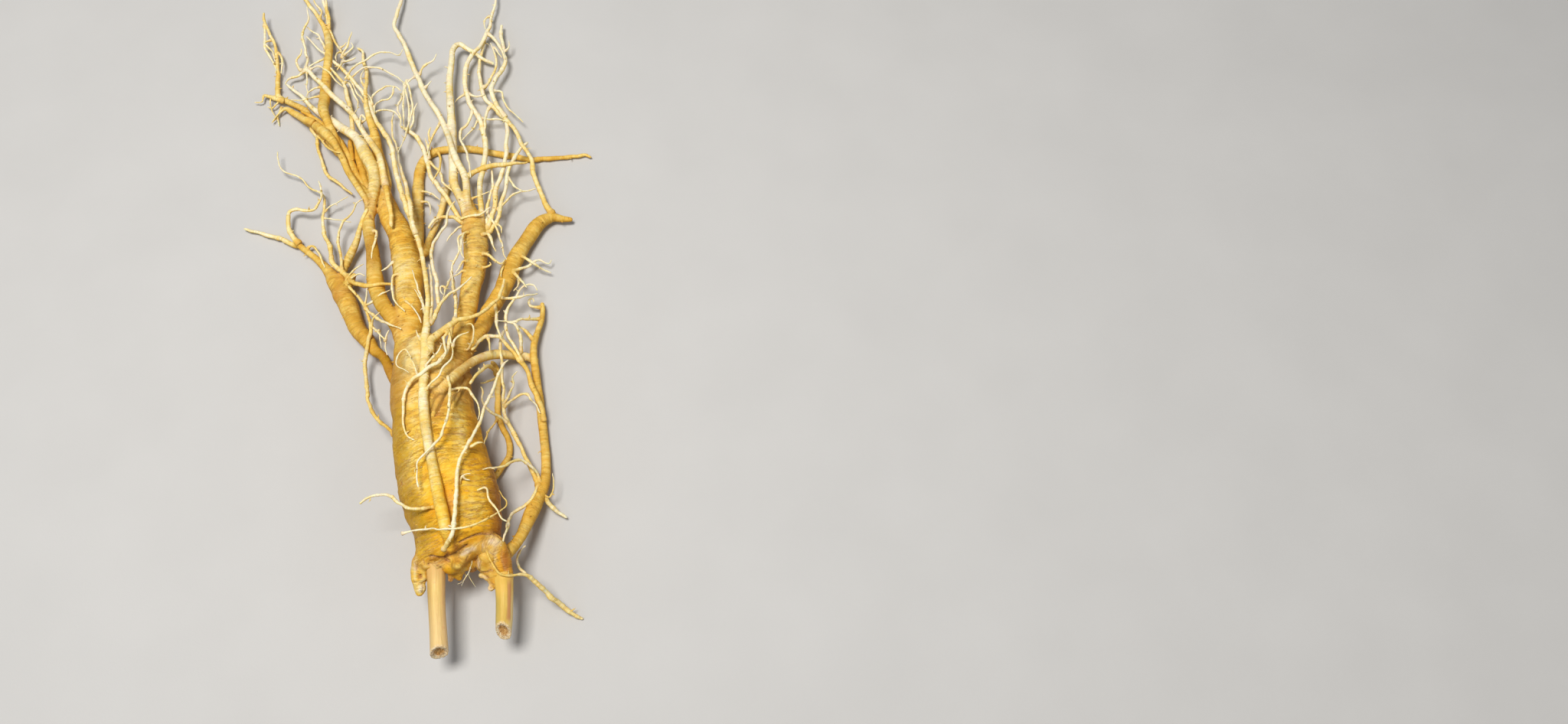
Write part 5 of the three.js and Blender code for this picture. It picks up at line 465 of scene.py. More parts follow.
    "b2": ("F", 0.19, 0.09, "S12", [[11.09, 93.37, 11.13, 0.66], [9.27, 90.73, 10.19, 0.64], [6.36, 86.41, 8.18, 0.6], [5.38, 84.44, 7.66, 0.58], [5.05, 83.3, 7.55, 0.57], [4.62,
        80.77, 7.69, 0.56], [4.16, 75.25, 8.66, 0.39]]),
    "b2b": ("F", 0.11, 0.04, "b2", [[5.06, 83.58, 7.55, 0.55], [4.22, 87.25, 7.81, 0.53], [4.1, 88.53, 7.84, 0.51], [5.14, 92.12, 7.91, 0.39]]),
    "b3": ("F", 0.21, 0.1, "M1", [[8.56, 79.06, 3.14, 0.69], [9.22, 77.59, 3.63, 0.69], [10.07, 74.34, 4.83, 0.64], [10.91, 69.18, 7.1, 0.57], [11.07, 65.91, 8.41, 0.54], [10.88,
        64.44, 8.9, 0.53], [9.33, 59.28, 10.33, 0.48], [8.37, 55.7, 10.51, 0.38]]),
    "b4": ("F", 0.04, 0.0, "M1", [[0.99, 55.2, 4.3, 0.6], [3.38, 54.6, 4.88, 0.58], [5.76, 53.3, 5.78, 0.54], [9.16, 50.43, 7.42, 0.46], [12.33, 47.52, 8.72, 0.36]]),
    "b5": ("F", 0.04, 0.0, "M1", [[1.34, 48.81, 4.31, 0.6], [3.89, 48.49, 5.2, 0.57], [5.15, 47.72, 5.8, 0.55], [6.11, 46.29, 6.51, 0.52], [7.33, 42.93, 8.06, 0.45], [7.62, 37.9,
        10.17, 0.34]]),
    "b6": ("F", 0.18, 0.08, "S15", [[31.05, 117.5, 6.22, 0.81], [32.15, 117.8, 6.2, 0.8], [33.1, 118.5, 6.18, 0.8], [35.1, 121.71, 6.15, 0.77], [36.14, 124.11, 6.13, 0.74], [36.93,
        126.65, 6.1, 0.71], [38.04, 132.01, 5.99, 0.65], [38.18, 134.82, 5.92, 0.62], [37.68, 137.62, 5.84, 0.59], [36.31, 141.66, 5.72, 0.54], [34.14, 146.93, 5.55, 0.42]]),
    "b7": ("F", 0.05, 0.01, "S14", [[32.52, 152.76, 6.38, 0.9], [36.54, 148.87, 6.77, 0.86], [38.23, 146.45, 7.04, 0.84], [40.82, 140.67, 7.94, 0.8], [43.66, 132.97, 9.47, 0.71]]),
    "b8": ("F", 0.04, 0.0, "S16", [[37.08, 113.36, 8.43, 0.6], [39.26, 113.85, 8.23, 0.6], [41.47, 113.66, 7.98, 0.58], [42.24, 112.81, 7.85, 0.57], [42.71, 109.08, 7.46, 0.54],
        [43.14, 107.89, 7.35, 0.53], [44.94, 104.6, 7.09, 0.5], [46.5, 102.67, 6.97, 0.48], [54.13, 94.68, 6.55, 0.37]]),
    "b9": ("F", 0.04, 0.0, "S14", [[31.21, 96.46, 9.13, 0.57], [35.77, 95.86, 8.37, 0.53], [38.11, 95.96, 8.22, 0.51], [39.33, 95.93, 8.34, 0.51], [41.83, 95.26, 9, 0.48], [46.68,
        92.33, 10.6, 0.37]]),
    "b10": ("F", 0.04, 0.0, "S16", [[42.39, 139.92, 7.31, 0.52], [43.28, 140.36, 7.46, 0.51], [44.67, 141.86, 7.77, 0.49], [44.95, 142.9, 7.94, 0.47], [44.77, 146.18, 8.44,
        0.37]]),
    "b11": ("F", 0.04, 0.0, "S14", [[34.25, 164.07, 6.19, 0.54], [33.23, 163.97, 6.27, 0.52], [32.22, 163.23, 6.39, 0.5], [31.42, 162.15, 6.55, 0.48], [30.92, 160.76, 6.74, 0.47],
        [30.67, 159.23, 6.97, 0.46], [30.77, 157.62, 7.21, 0.44], [31.75, 154.55, 7.7, 0.38]]),
    "b12": ("F", 0.04, 0.0, "b6", [[35.94, 143.18, 5.67, 0.53], [36.74, 143.44, 5.69, 0.54], [40.91, 136.27, 6.22, 0.38]]),
    "c1": ("F", 0.05, 0.01, "LL", [[-19.54, 26.22, 15.47, 0.65], [-18.47, 26.53, 15.63, 0.65], [-17.4, 26.38, 15.81, 0.64], [-17.15, 25.04, 16.01, 0.63], [-17.16, 23.68, 16.24,
        0.62], [-17.46, 18.3, 17.27, 0.58], [-17.84, 14.42, 17.83, 0.53], [-17.78, 7.98, 18.48, 0.36]]),
    "c3": ("F", 0.05, 0.01, "LD", [[-20.97, -14.19, 13.74, 0.6], [-16.09, -13.79, 17.83, 0.56], [-14.02, -13.07, 19.52, 0.55], [-13.16, -12.47, 20.02, 0.54], [-12.35, -11.78,
        20.24, 0.53], [-10.71, -10.42, 20.03, 0.5], [-7.38, -7.83, 18.27, 0.41]]),
    "c4": ("F", 0.05, 0.01, "LD", [[-21.01, -13.76, 13.7, 0.54], [-20.09, -12.05, 15.08, 0.51], [-19.25, -10.43, 16.76, 0.47], [-18.82, -8.76, 18.48, 0.41], [-18.6, -6.99, 19.99,
        0.36]]),
    "c5": ("F", 0.05, 0.01, "LDc", [[-13.34, -28.09, 13.43, 0.51], [-13.02, -27.17, 13.16, 0.51], [-12.61, -29.32, 12.5, 0.46], [-12.31, -32.54, 11.4, 0.39], [-12.01, -36.02,
        10.95, 0.32]]),
    "c8": ("F", 0.05, 0.01, "legA", [[-4.22, 9.72, 15.55, 0.61], [-6.54, 9.53, 14.99, 0.61], [-7.63, 9.26, 14.85, 0.61], [-8.55, 8.65, 14.88, 0.6], [-9.21, 7.67, 15.09, 0.59],
        [-10.39, 5.52, 15.92, 0.56], [-12.8, 3.18, 17.55, 0.41]]),
    "d1": ("F", 0.07, 0.02, "RL", [[29.89, 25.24, 14.27, 0.66], [28.03, 24.25, 15.99, 0.66], [27.27, 23.27, 17, 0.65], [26.98, 21.65, 18.12, 0.64], [26.98, 19.86, 19.3, 0.62],
        [27.36, 14.51, 22.64, 0.59], [27.79, 9.71, 24.89, 0.55], [28.57, 6.87, 25.81, 0.49], [30, 4.46, 26.5, 0.38]]),
    "d2": ("F", 0.05, 0.01, "RLe", [[21.01, 3.67, 12.4, 0.56], [21.82, -4.45, 19.86, 0.52], [21.65, -8.02, 23.14, 0.5], [21.26, -11.13, 25.51, 0.48], [21.17, -12.65, 26.43, 0.46],
        [21.25, -18.63, 29.57, 0.36]]),
    "d2b": ("F", 0.05, 0.01, "d2", [[21.35, -10.94, 25.51, 0.48], [20.71, -10.09, 25.25, 0.48], [19.67, -9.68, 25.27, 0.46], [19.05, -10.41, 25.74, 0.43], [19.73, -13.43, 27.21,
        0.4], [21.65, -15.79, 28.64, 0.33]]),
    "d2c": ("F", 0.05, 0.01, "RL", [[30.87, 7.91, 15.46, 0.58], [28.77, 8.36, 15.79, 0.58], [27.73, 8.31, 16.09, 0.58], [26.95, 7.5, 16.49, 0.56], [25.99, 3.58, 17.82, 0.49],
        [24.41, 0.24, 18.71, 0.37]]),
    "d3": ("F", 0.05, 0.01, "RL", [[30.48, 2.17, 15.69, 0.58], [28.37, 2.73, 15.77, 0.58], [27.33, 2.74, 15.94, 0.58], [26.46, 2.1, 16.2, 0.55], [25.07, 0.25, 16.9, 0.47], [23.49,
        -1.35, 17.63, 0.38]]),
    "d4": ("F", 0.07, 0.02, "RL", [[35.3, 23.5, 14.36, 0.78], [38.26, 24.45, 13.65, 0.79], [39.2, 24.07, 13.48, 0.78], [39.75, 23.1, 13.34, 0.76], [40.87, 18.78, 12.67, 0.67],
        [42.81, 15.12, 11.45, 0.43]]),
    "d5": ("F", 0.05, 0.01, "RL", [[35.97, 12.26, 15.11, 0.78], [38.13, 12.44, 14.8, 0.78], [39.17, 11.97, 14.75, 0.77], [42.86, 8.71, 14.93, 0.7], [44.78, 7.45, 14.75, 0.67],
        [45.8, 7.08, 14.52, 0.64], [46.72, 7.59, 14.21, 0.57], [47.57, 10.14, 13.42, 0.38]]),
    "d6": ("F", 0.04, 0.0, "RL", [[36.77, 4.76, 14.56, 0.66], [37.69, 5.04, 14.4, 0.63], [38.65, 5.2, 14.46, 0.61], [40.57, 5.61, 15.12, 0.55], [41.42, 6, 15.6, 0.51], [41.21,
        6.66, 16.11, 0.45], [40.52, 7.13, 16.58, 0.39]]),
    "d7": ("F", 0.04, 0.0, "RLd", [[41.71, 31.12, 11, 0.59], [42.69, 31.15, 10.97, 0.59], [43.6, 30.72, 10.9, 0.57], [44.43, 30.13, 10.79, 0.55], [45.03, 29.31, 10.64, 0.5],
        [45.14, 28.28, 10.49, 0.45], [44.97, 26.21, 10.17, 0.35]]),
    "d8": ("F", 0.07, 0.02, "Rarm", [[49.18, 8.53, 9.82, 0.59], [48.17, 8.95, 10.19, 0.59], [47.19, 8.61, 10.58, 0.58], [46.71, 7.31, 10.99, 0.57], [46.22, 4.45, 11.86, 0.52],
        [46.3, -0.03, 13.2, 0.38]]),
    "d9": ("F", 0.05, 0.01, "Rarm", [[50.33, 4.13, 10.4, 0.85], [55.24, 6.12, 9.39, 0.76], [58.15, 7.45, 8.43, 0.71], [59.04, 8.13, 8.11, 0.7], [60.35, 10.12, 7.54, 0.67], [62.14,
        11.45, 7, 0.65], [63.13, 11.87, 6.73, 0.64], [64.16, 12.05, 6.46, 0.63], [65.17, 11.87, 6.18, 0.62], [68.07, 10.77, 5.37, 0.58], [69.07, 10.91, 5.1, 0.54], [69.98, 13.24,
        4.55, 0.39]]),
    "d10": ("F", 0.07, 0.02, "Rarm", [[55.14, 13.62, 8.89, 0.79], [57.07, 12.6, 8.49, 0.78], [60.73, 9.76, 8.23, 0.7], [62.57, 8.66, 7.69, 0.67], [65.31, 7.42, 6.32, 0.6], [70,
        5.69, 3.82, 0.48]]),
    "d11": ("F", 0.04, 0.0, "Rarm", [[50.3, 5.02, 10.35, 0.78], [52, 3.36, 10.34, 0.76], [53.77, 1.46, 10.79, 0.75], [57.16, -3.13, 12.74, 0.71], [59.19, -6.46, 13.37, 0.58]]),
    "d12": ("F", 0.04, 0.0, "d11", [[55.02, 0.18, 11.2, 0.61], [54.08, -2.53, 9.44, 0.55], [53.58, -3.31, 8.69, 0.52], [51.48, -5.29, 6.44, 0.38]]),
    "d15": ("F", 0.07, 0.02, "Rarm", [[43.52, -9.2, 11.07, 0.85], [46.82, -11.09, 12.27, 0.81], [49.15, -12, 13.33, 0.78], [51.48, -12.53, 14.26, 0.76], [53.69, -12.62, 14.65,
        0.75], [55.74, -12.14, 14.31, 0.72], [58.54, -10.48, 12.95, 0.65], [64.48, -8.46, 9.81, 0.47]]),
    "d16": ("F", 0.11, 0.04, "Rarm", [[43.06, -13.78, 11.93, 0.87], [43.92, -18.02, 13.86, 0.84], [45.1, -23.84, 16.98, 0.81], [45.96, -29.35, 19.49, 0.78], [46.69, -31.85, 20.32,
        0.75], [48.5, -36.5, 21.53, 0.66]]),
    "d17": ("F", 0.05, 0.01, "RD", [[65.2, -20.51, 5.18, 0.78], [63.26, -21.09, 6.73, 0.77], [58.66, -22.92, 11.71, 0.72], [56.79, -23.55, 13.32, 0.69], [55.91, -24.18, 13.98,
        0.68], [54.3, -25.78, 15.13, 0.65], [53.36, -26.18, 15.66, 0.64], [45.57, -26.58, 19.42, 0.38]]),
    "d18": ("F", 0.03, -0.01, "RA", [[55.76, -40.1, 7.66, 0.86], [56.3, -38.33, 8.95, 0.86], [56.64, -34.03, 12.89, 0.85], [56.53, -32.17, 14.08, 0.84], [56.01, -30.33, 15.09,
        0.82], [55.06, -28.65, 16.04, 0.8], [54.4, -27.96, 16.51, 0.77], [53.55, -27.49, 16.96, 0.72], [50.63, -27.07, 18.2, 0.49]]),
    "d19": ("F", 0.21, 0.1, "RD", [[63.36, -33.98, 6.55, 0.88], [58.36, -28.37, 7.72, 0.85], [54.65, -24.49, 8.55, 0.58]]),
    "d20": ("F", 0.04, 0.0, "RD", [[65.3, -13.7, 4.13, 0.75], [62.21, -13.68, 5.19, 0.71], [60.2, -13.41, 5.97, 0.67], [59.54, -12.69, 6.36, 0.65], [59.32, -11.7, 6.75, 0.64],
        [59.42, -10.68, 7.13, 0.62], [60.26, -10.09, 7.49, 0.59], [61.36, -10.01, 7.83, 0.55], [61.87, -11.15, 8.16, 0.46], [62.05, -12.48, 8.48, 0.38]]),
    "d22": ("F", 0.18, 0.08, "RF", [[41.61, -34.77, 18.77, 0.55], [41.87, -35.85, 18.71, 0.54], [42.22, -37.09, 19.07, 0.53], [42.61, -38.47, 19.78, 0.52], [43.97, -44.44, 23.73,
        0.4]]),
    "d23": ("F", 0.04, 0.0, "V", [[15.1, -31.05, 33.65, 0.64], [13, -23.74, 31.79, 0.58], [10.32, -16.01, 29.05, 0.54], [3.96, 0.73, 23.55, 0.37]]),
    "d23b": ("F", 0.04, 0.0, "V", [[14.47, -28.76, 32.99, 0.53], [13.2, -24.11, 32.29, 0.52], [12.33, -21.71, 31.69, 0.5], [6.75, -11.96, 27.53, 0.33]]),
    "d23c": ("F", 0.04, 0.0, "V", [[15.52, -44.67, 37.04, 0.61], [12.73, -41.09, 35.08, 0.57], [10.19, -35.9, 33.25, 0.35]]),
    "d25": ("F", 0.03, -0.01, "AR", [[24.02, -36.76, 32.42, 0.73], [24.97, -37.62, 32.76, 0.72], [23.9, -40.95, 33.88, 0.67], [24.47, -44.89, 35.14, 0.59], [25.65, -48.77, 36.51,
        0.54], [25.65, -50.07, 37, 0.5], [24.87, -53.69, 38.49, 0.35]]),
    "d25b": ("F", 0.03, -0.01, "AR", [[24.63, -36.05, 32.13, 0.69], [25.39, -36.85, 32.17, 0.69], [25.91, -37.88, 32.3, 0.67], [26.99, -41.45, 33.19, 0.54], [27.62, -43.68, 33.45,
        0.39]]),
    "d26": ("F", 0.05, 0.01, "Xb", [[28.65, -46.65, 35.96, 0.6], [29.07, -43.02, 35.06, 0.58], [29.51, -41.96, 34.76, 0.57], [30.18, -41.1, 34.45, 0.55], [31.76, -39.7, 33.84,
        0.51], [35.17, -37.28, 32.65, 0.37]]),
    "d27": ("F", 0.05, 0.01, "RL", [[30.86, -41.33, 19.93, 0.6], [32.02, -42.06, 20.61, 0.6], [33.12, -42.02, 21.41, 0.58], [34.48, -40.83, 23.57, 0.55], [36.15, -39.04, 27.33,
        0.5], [36.95, -37.52, 29.13, 0.48], [37.15, -36.59, 29.68, 0.48], [37.14, -35.56, 30.01, 0.47], [36.83, -34.49, 30.14, 0.46], [36.29, -33.43, 30.12, 0.46], [35.45, -32.56,
        29.98, 0.44], [33.24, -32.35, 29.51, 0.33]]),
    "e5": ("F", 0.21, 0.1, "RG", [[43.73, -49.24, 2.91, 1.01], [43.49, -48.54, 6.86, 1.02], [43.36, -48.36, 9.13, 1.02], [43.05, -48.45, 11.62, 1.01], [42.59, -48.87, 14.24, 0.99],
        [42.06, -49.6, 16.86, 0.97], [41.53, -50.74, 19.37, 0.96], [40.69, -53.54, 23.67, 0.95], [40.24, -54.86, 25.4, 0.95], [39.3, -57.3, 28.05, 0.93], [38.42, -59.65, 29.93,
        0.94], [36.96, -64.32, 32.62, 1.06]]),
    "e7": ("F", 0.04, 0.0, "RG", [[43.82, -50.96, 3.13, 0.58], [42.07, -54.19, 9.43, 0.53], [40.88, -58.39, 17.4, 0.48], [39.99, -60.64, 22.95, 0.37]]),
    "e8": ("F", 0.11, 0.04, "body", [[26.57, -67.49, 33.86, 0.61], [30.53, -67.01, 33.98, 0.62], [34.58, -66.79, 34.39, 0.62], [36.53, -67.33, 34.38, 0.6], [37.3, -68.03, 34.3,
        0.59], [39.23, -71.64, 33.65, 0.53], [40.35, -73.29, 33.21, 0.5], [41.17, -75.1, 32.75, 0.48], [41.65, -78.03, 32.04, 0.46], [41.6, -79.02, 31.8, 0.44], [40.9, -81.87,
        31.09, 0.35]]),
    "e9": ("F", 0.21, 0.1, "RG", [[44.76, -72.53, 2.44, 0.56], [43.53, -76.17, 5.98, 0.52], [42.73, -80.28, 10.69, 0.48], [42.58, -87.85, 19.4, 0.4], [42.78, -90.83, 22.46, 0.36],
        [43.03, -93.67, 25.05, 0.32]]),
    "e11": ("F", 0.21, 0.1, "body", [[32.66, -96.34, 34.18, 0.78], [38.88, -97.44, 39.7, 0.78], [40.06, -97.53, 40.64, 0.78], [41.14, -97.42, 41.27, 0.77], [42.07, -97.04, 41.56,
        0.76], [42.93, -96.53, 41.54, 0.73], [43.82, -96.14, 41.3, 0.67], [45.66, -95.72, 40.49, 0.42]]),
    "e12": ("F", 0.03, -0.01, "body", [[36.14, -115.35, 42.35, 0.5], [36.87, -112.54, 42.49, 0.48], [37.5, -111.85, 42.63, 0.46], [39.31, -111.24, 42.99, 0.39], [41.29, -111.19,
        43.37, 0.31]]),
    "e12b": ("F", 0.04, 0.0, "e12", [[37.42, -111.91, 42.63, 0.44], [38.53, -113.11, 42.03, 0.38], [39.04, -113.35, 41.93, 0.36], [40.74, -113.62, 41.82, 0.31]]),
    "e13": ("F", 0.03, -0.01, "body", [[12.19, -105.11, 35.74, 0.59], [15.12, -106.63, 38.27, 0.53], [16.24, -106.94, 39.63, 0.5], [19.23, -107.07, 43.21, 0.38]]),
    "under1": ("R", 0.46, 0.44, "S3", [[-34.51, 67.36, 5.55, 1.22], [-37.49, 75.30, 5.55, 1.32], [-41.52, 83.04, 6.05, 1.43], [-45.84, 88.94, 6.55, 1.52], [-51.08, 94.26, 6.55,
        1.52], [-56.72, 99.13, 6.55, 1.34], [-61.18, 102.40, 6.05, 1.13], [-65.61, 105.84, 4.55, 0.93]]),
    "under2": ("R", 0.36, 0.34, "S3", [[-44.23, 79.14, 4.05, 1.53], [-48.73, 85.75, 4.15, 1.76], [-53.99, 91.89, 4.35, 1.93], [-60.20, 97.85, 4.15, 1.90], [-66.39, 102.53, 3.75,
        1.65], [-71.84, 106.86, 3.15, 1.14]]),
    "under3": ("R", 0.46, 0.42, "S3", [[-26.61, 53.26, 7.55, 1.31], [-31.17, 58.01, 6.55, 1.41], [-35.97, 65.56, 5.55, 1.46], [-39.29, 74.07, 4.55, 1.43], [-41.09, 82.04, 4.55,
        1.33], [-42.73, 87.72, 4.55, 1.03]]),
    "under4": ("R", 0.54, 0.5, "S3", [[-24.84, 50.50, 7.55, 1.20], [-28.40, 57.94, 6.55, 1.45], [-32.79, 65.48, 5.55, 1.54], [-35.92, 73.70, 5.05, 1.51], [-37.47, 81.96, 4.55,
        1.35], [-38.29, 87.61, 4.55, 1.03]]),
    "under5": ("R", 0.5, 0.46, "S3", [[-24.13, 55.19, 5.55, 1.11], [-26.99, 64.05, 4.55, 1.34], [-30.57, 73.21, 4.05, 1.39], [-33.57, 80.46, 3.75, 1.23], [-36.53, 87.23, 3.55,
        0.95]]),
    "tipA": ("F", 0.12, 0.02, "S3", [[-77.58, 113.48, 3.55, 0.54], [-79.75, 110.63, 3.55, 0.46], [-81.80, 109.07, 3.05, 0.41], [-84.54, 110.42, 2.55, 0.33]]),
    "tipB": ("F", 0.12, 0.02, "S3", [[-76.77, 109.76, 2.55, 0.54], [-78.11, 105.24, 2.15, 0.50], [-79.22, 102.64, 1.75, 0.46], [-81.22, 101.02, 1.35, 0.33]]),
    "tipC": ("F", 0.12, 0.02, "S3", [[-78.82, 103.46, 1.95, 0.46], [-77.90, 100.82, 1.55, 0.41], [-77.43, 98.67, 1.15, 0.31]]),
    "over1": ("R", 0.2, 0.16, "legA", [[-12.67, 49.37, 20.55, 1.30], [-11.47, 44.64, 21.05, 1.28], [-10.16, 38.08, 20.05, 1.21], [-9.16, 32.19, 19.55, 1.13], [-8.71, 27.02, 18.55,
        0.98]]),
    "flareA": ("R", 0.3, 0.36, "body", [[29.38, -50.47, 23.09, 1.73], [27.59, -59.21, 30.03, 1.89], [25.24, -66.73, 34.11, 1.88], [23.34, -73.67, 36.84, 1.68], [21.93, -80.17,
        38.50, 1.39], [20.85, -84.71, 38.87, 1.11]]),
    "flareB": ("R", 0.3, 0.36, "body", [[33.27, -55.64, 19.51, 1.54], [31.54, -64.54, 27.14, 1.61], [30.14, -72.47, 32.54, 1.50], [28.89, -78.65, 35.34, 1.30]]),
}
# small lumps of the crown: (x, y, z, radius, blend, tone, scar)
LUMPS = [
    (37.01, -143.76, 29.15, 3.99, 3.00, 0.26, 0.00),
    (41.50, -141.61, 29.75, 4.35, 3.00, 0.28, 0.00),
    (47.36, -141.20, 29.95, 4.52, 3.00, 0.22, 0.00),
    (51.12, -142.68, 29.55, 3.83, 2.60, 0.18, 0.00),
    (46.12, -149.71, 28.15, 3.96, 1.60, 0.16, 0.00),
    (48.61, -146.19, 28.35, 3.30, 2.40, 0.20, 0.00),
    (49.91, -150.56, 27.15, 3.30, 2.60, 0.30, 0.00),
    (49.42, -153.76, 25.75, 2.61, 3.00, 0.30, 0.00),
    (50.91, -156.47, 24.95, 2.26, 2.60, 0.30, 0.00),
    (52.12, -158.88, 24.55, 2.26, 2.60, 0.30, 0.00),
    (43.99, -153.94, 24.95, 1.36, 0.60, 0.00, 0.00),
    (45.41, -154.25, 25.15, 1.25, 0.80, 0.05, 0.00),
    (46.95, -155.08, 25.15, 1.67, 0.70, 0.02, 0.00),
    (48.34, -156.84, 24.55, 1.43, 0.70, 0.00, 0.00),
    (49.45, -158.24, 24.35, 1.32, 0.80, 0.02, 0.00),
    (48.39, -159.66, 23.55, 1.53, 0.60, 0.00, 0.00),
    (31.74, -149.55, 24.05, 2.62, 1.60, 0.26, 0.00),
    (34.05, -150.57, 23.35, 2.44, 1.40, 0.10, 0.00),
    (35.81, -149.66, 23.75, 1.75, 1.00, 0.06, 0.00),
    (33.22, -152.10, 22.35, 1.68, 1.20, 0.10, 0.00),
    (30.88, -151.72, 22.75, 1.57, 1.00, 0.14, 0.00),
    (33.14, -147.05, 27.15, 2.26, 1.50, 0.46, 0.00),
    (36.26, -146.71, 26.55, 1.74, 1.20, 0.08, 0.00),
    (29.61, -153.24, 23.75, 1.04, 0.80, 0.30, 0.50),
    (29.86, -154.85, 22.95, 1.29, 0.60, 0.45, 0.90),
    (17.99, -147.11, 28.15, 2.36, 1.80, 0.22, 0.00),
    (20.35, -148.80, 29.15, 2.21, 1.40, 0.18, 0.00),
    (22.37, -148.36, 29.15, 1.94, 1.40, 0.30, 0.00),
    (24.73, -149.58, 29.55, 1.86, 1.40, 0.12, 0.00),
    (26.28, -148.18, 29.15, 2.14, 1.40, 0.20, 0.00),
    (28.10, -148.88, 28.75, 1.80, 1.30, 0.18, 0.00),
    (29.28, -146.78, 27.55, 1.91, 1.50, 0.32, 0.00),
    (37.82, -146.65, 24.05, 3.15, 2.60, 0.40, 0.00),
    (40.53, -147.72, 23.55, 2.97, 2.60, 0.40, 0.00),
    (39.07, -149.65, 21.05, 2.11, 2.20, 0.45, 0.00),
    (38.76, -143.18, 31.15, 2.42, 1.60, 0.05, 0.00),
    (36.50, -145.06, 30.55, 2.15, 1.40, 0.06, 0.00),
    (50.63, -139.83, 31.15, 2.78, 1.80, 0.04, 0.00),
    (48.10, -138.23, 30.75, 2.61, 2.00, 0.12, 0.00),
    (44.94, -142.79, 31.35, 1.91, 1.40, 0.12, 0.00),
    (54.85, -149.21, 28.15, 2.61, 2.00, 0.50, 0.00),
    (55.73, -153.49, 26.55, 2.08, 2.00, 0.50, 0.00),
    (15.85, -147.16, 27.05, 2.78, 2.00, 0.26, 0.00),
    (14.98, -150.59, 26.05, 2.25, 1.40, 0.12, 0.00),
    (15.42, -154.25, 25.05, 2.25, 1.30, 0.10, 0.00),
    (18.17, -151.17, 26.55, 2.25, 1.50, 0.22, 0.00),
    (18.28, -154.46, 25.55, 1.91, 1.30, 0.20, 0.00),
    (16.95, -158.64, 24.05, 2.35, 1.00, 0.14, 0.00),
]
# pits pressed into the skin: (x, y, z, radius, depth, brown)
PITS = [
    (22.58, -80.93, 39.64, 1.11, 1.00, 0.90),
    (8.78, -112.51, 35.57, 0.81, 0.90, 0.90),
    (17.31, -153.87, 27.34, 0.95, 1.60, 0.90),
    (-20.98, 35.71, 15.08, 0.92, 0.70, 0.80),
    (-20.09, 34.26, 14.42, 0.55, 0.40, 0.70),
    (-52.14, 122.61, 6.57, 0.82, 0.50, 0.60),
    (-52.27, 114.00, 7.87, 0.64, 0.40, 0.50),
]
# the blunt end of the taproot: a point on it and the way it faces
CROWN_END = ((34.58, -144.39, 21.55), (0.3188, -0.9478, 0.0000), 5.5)
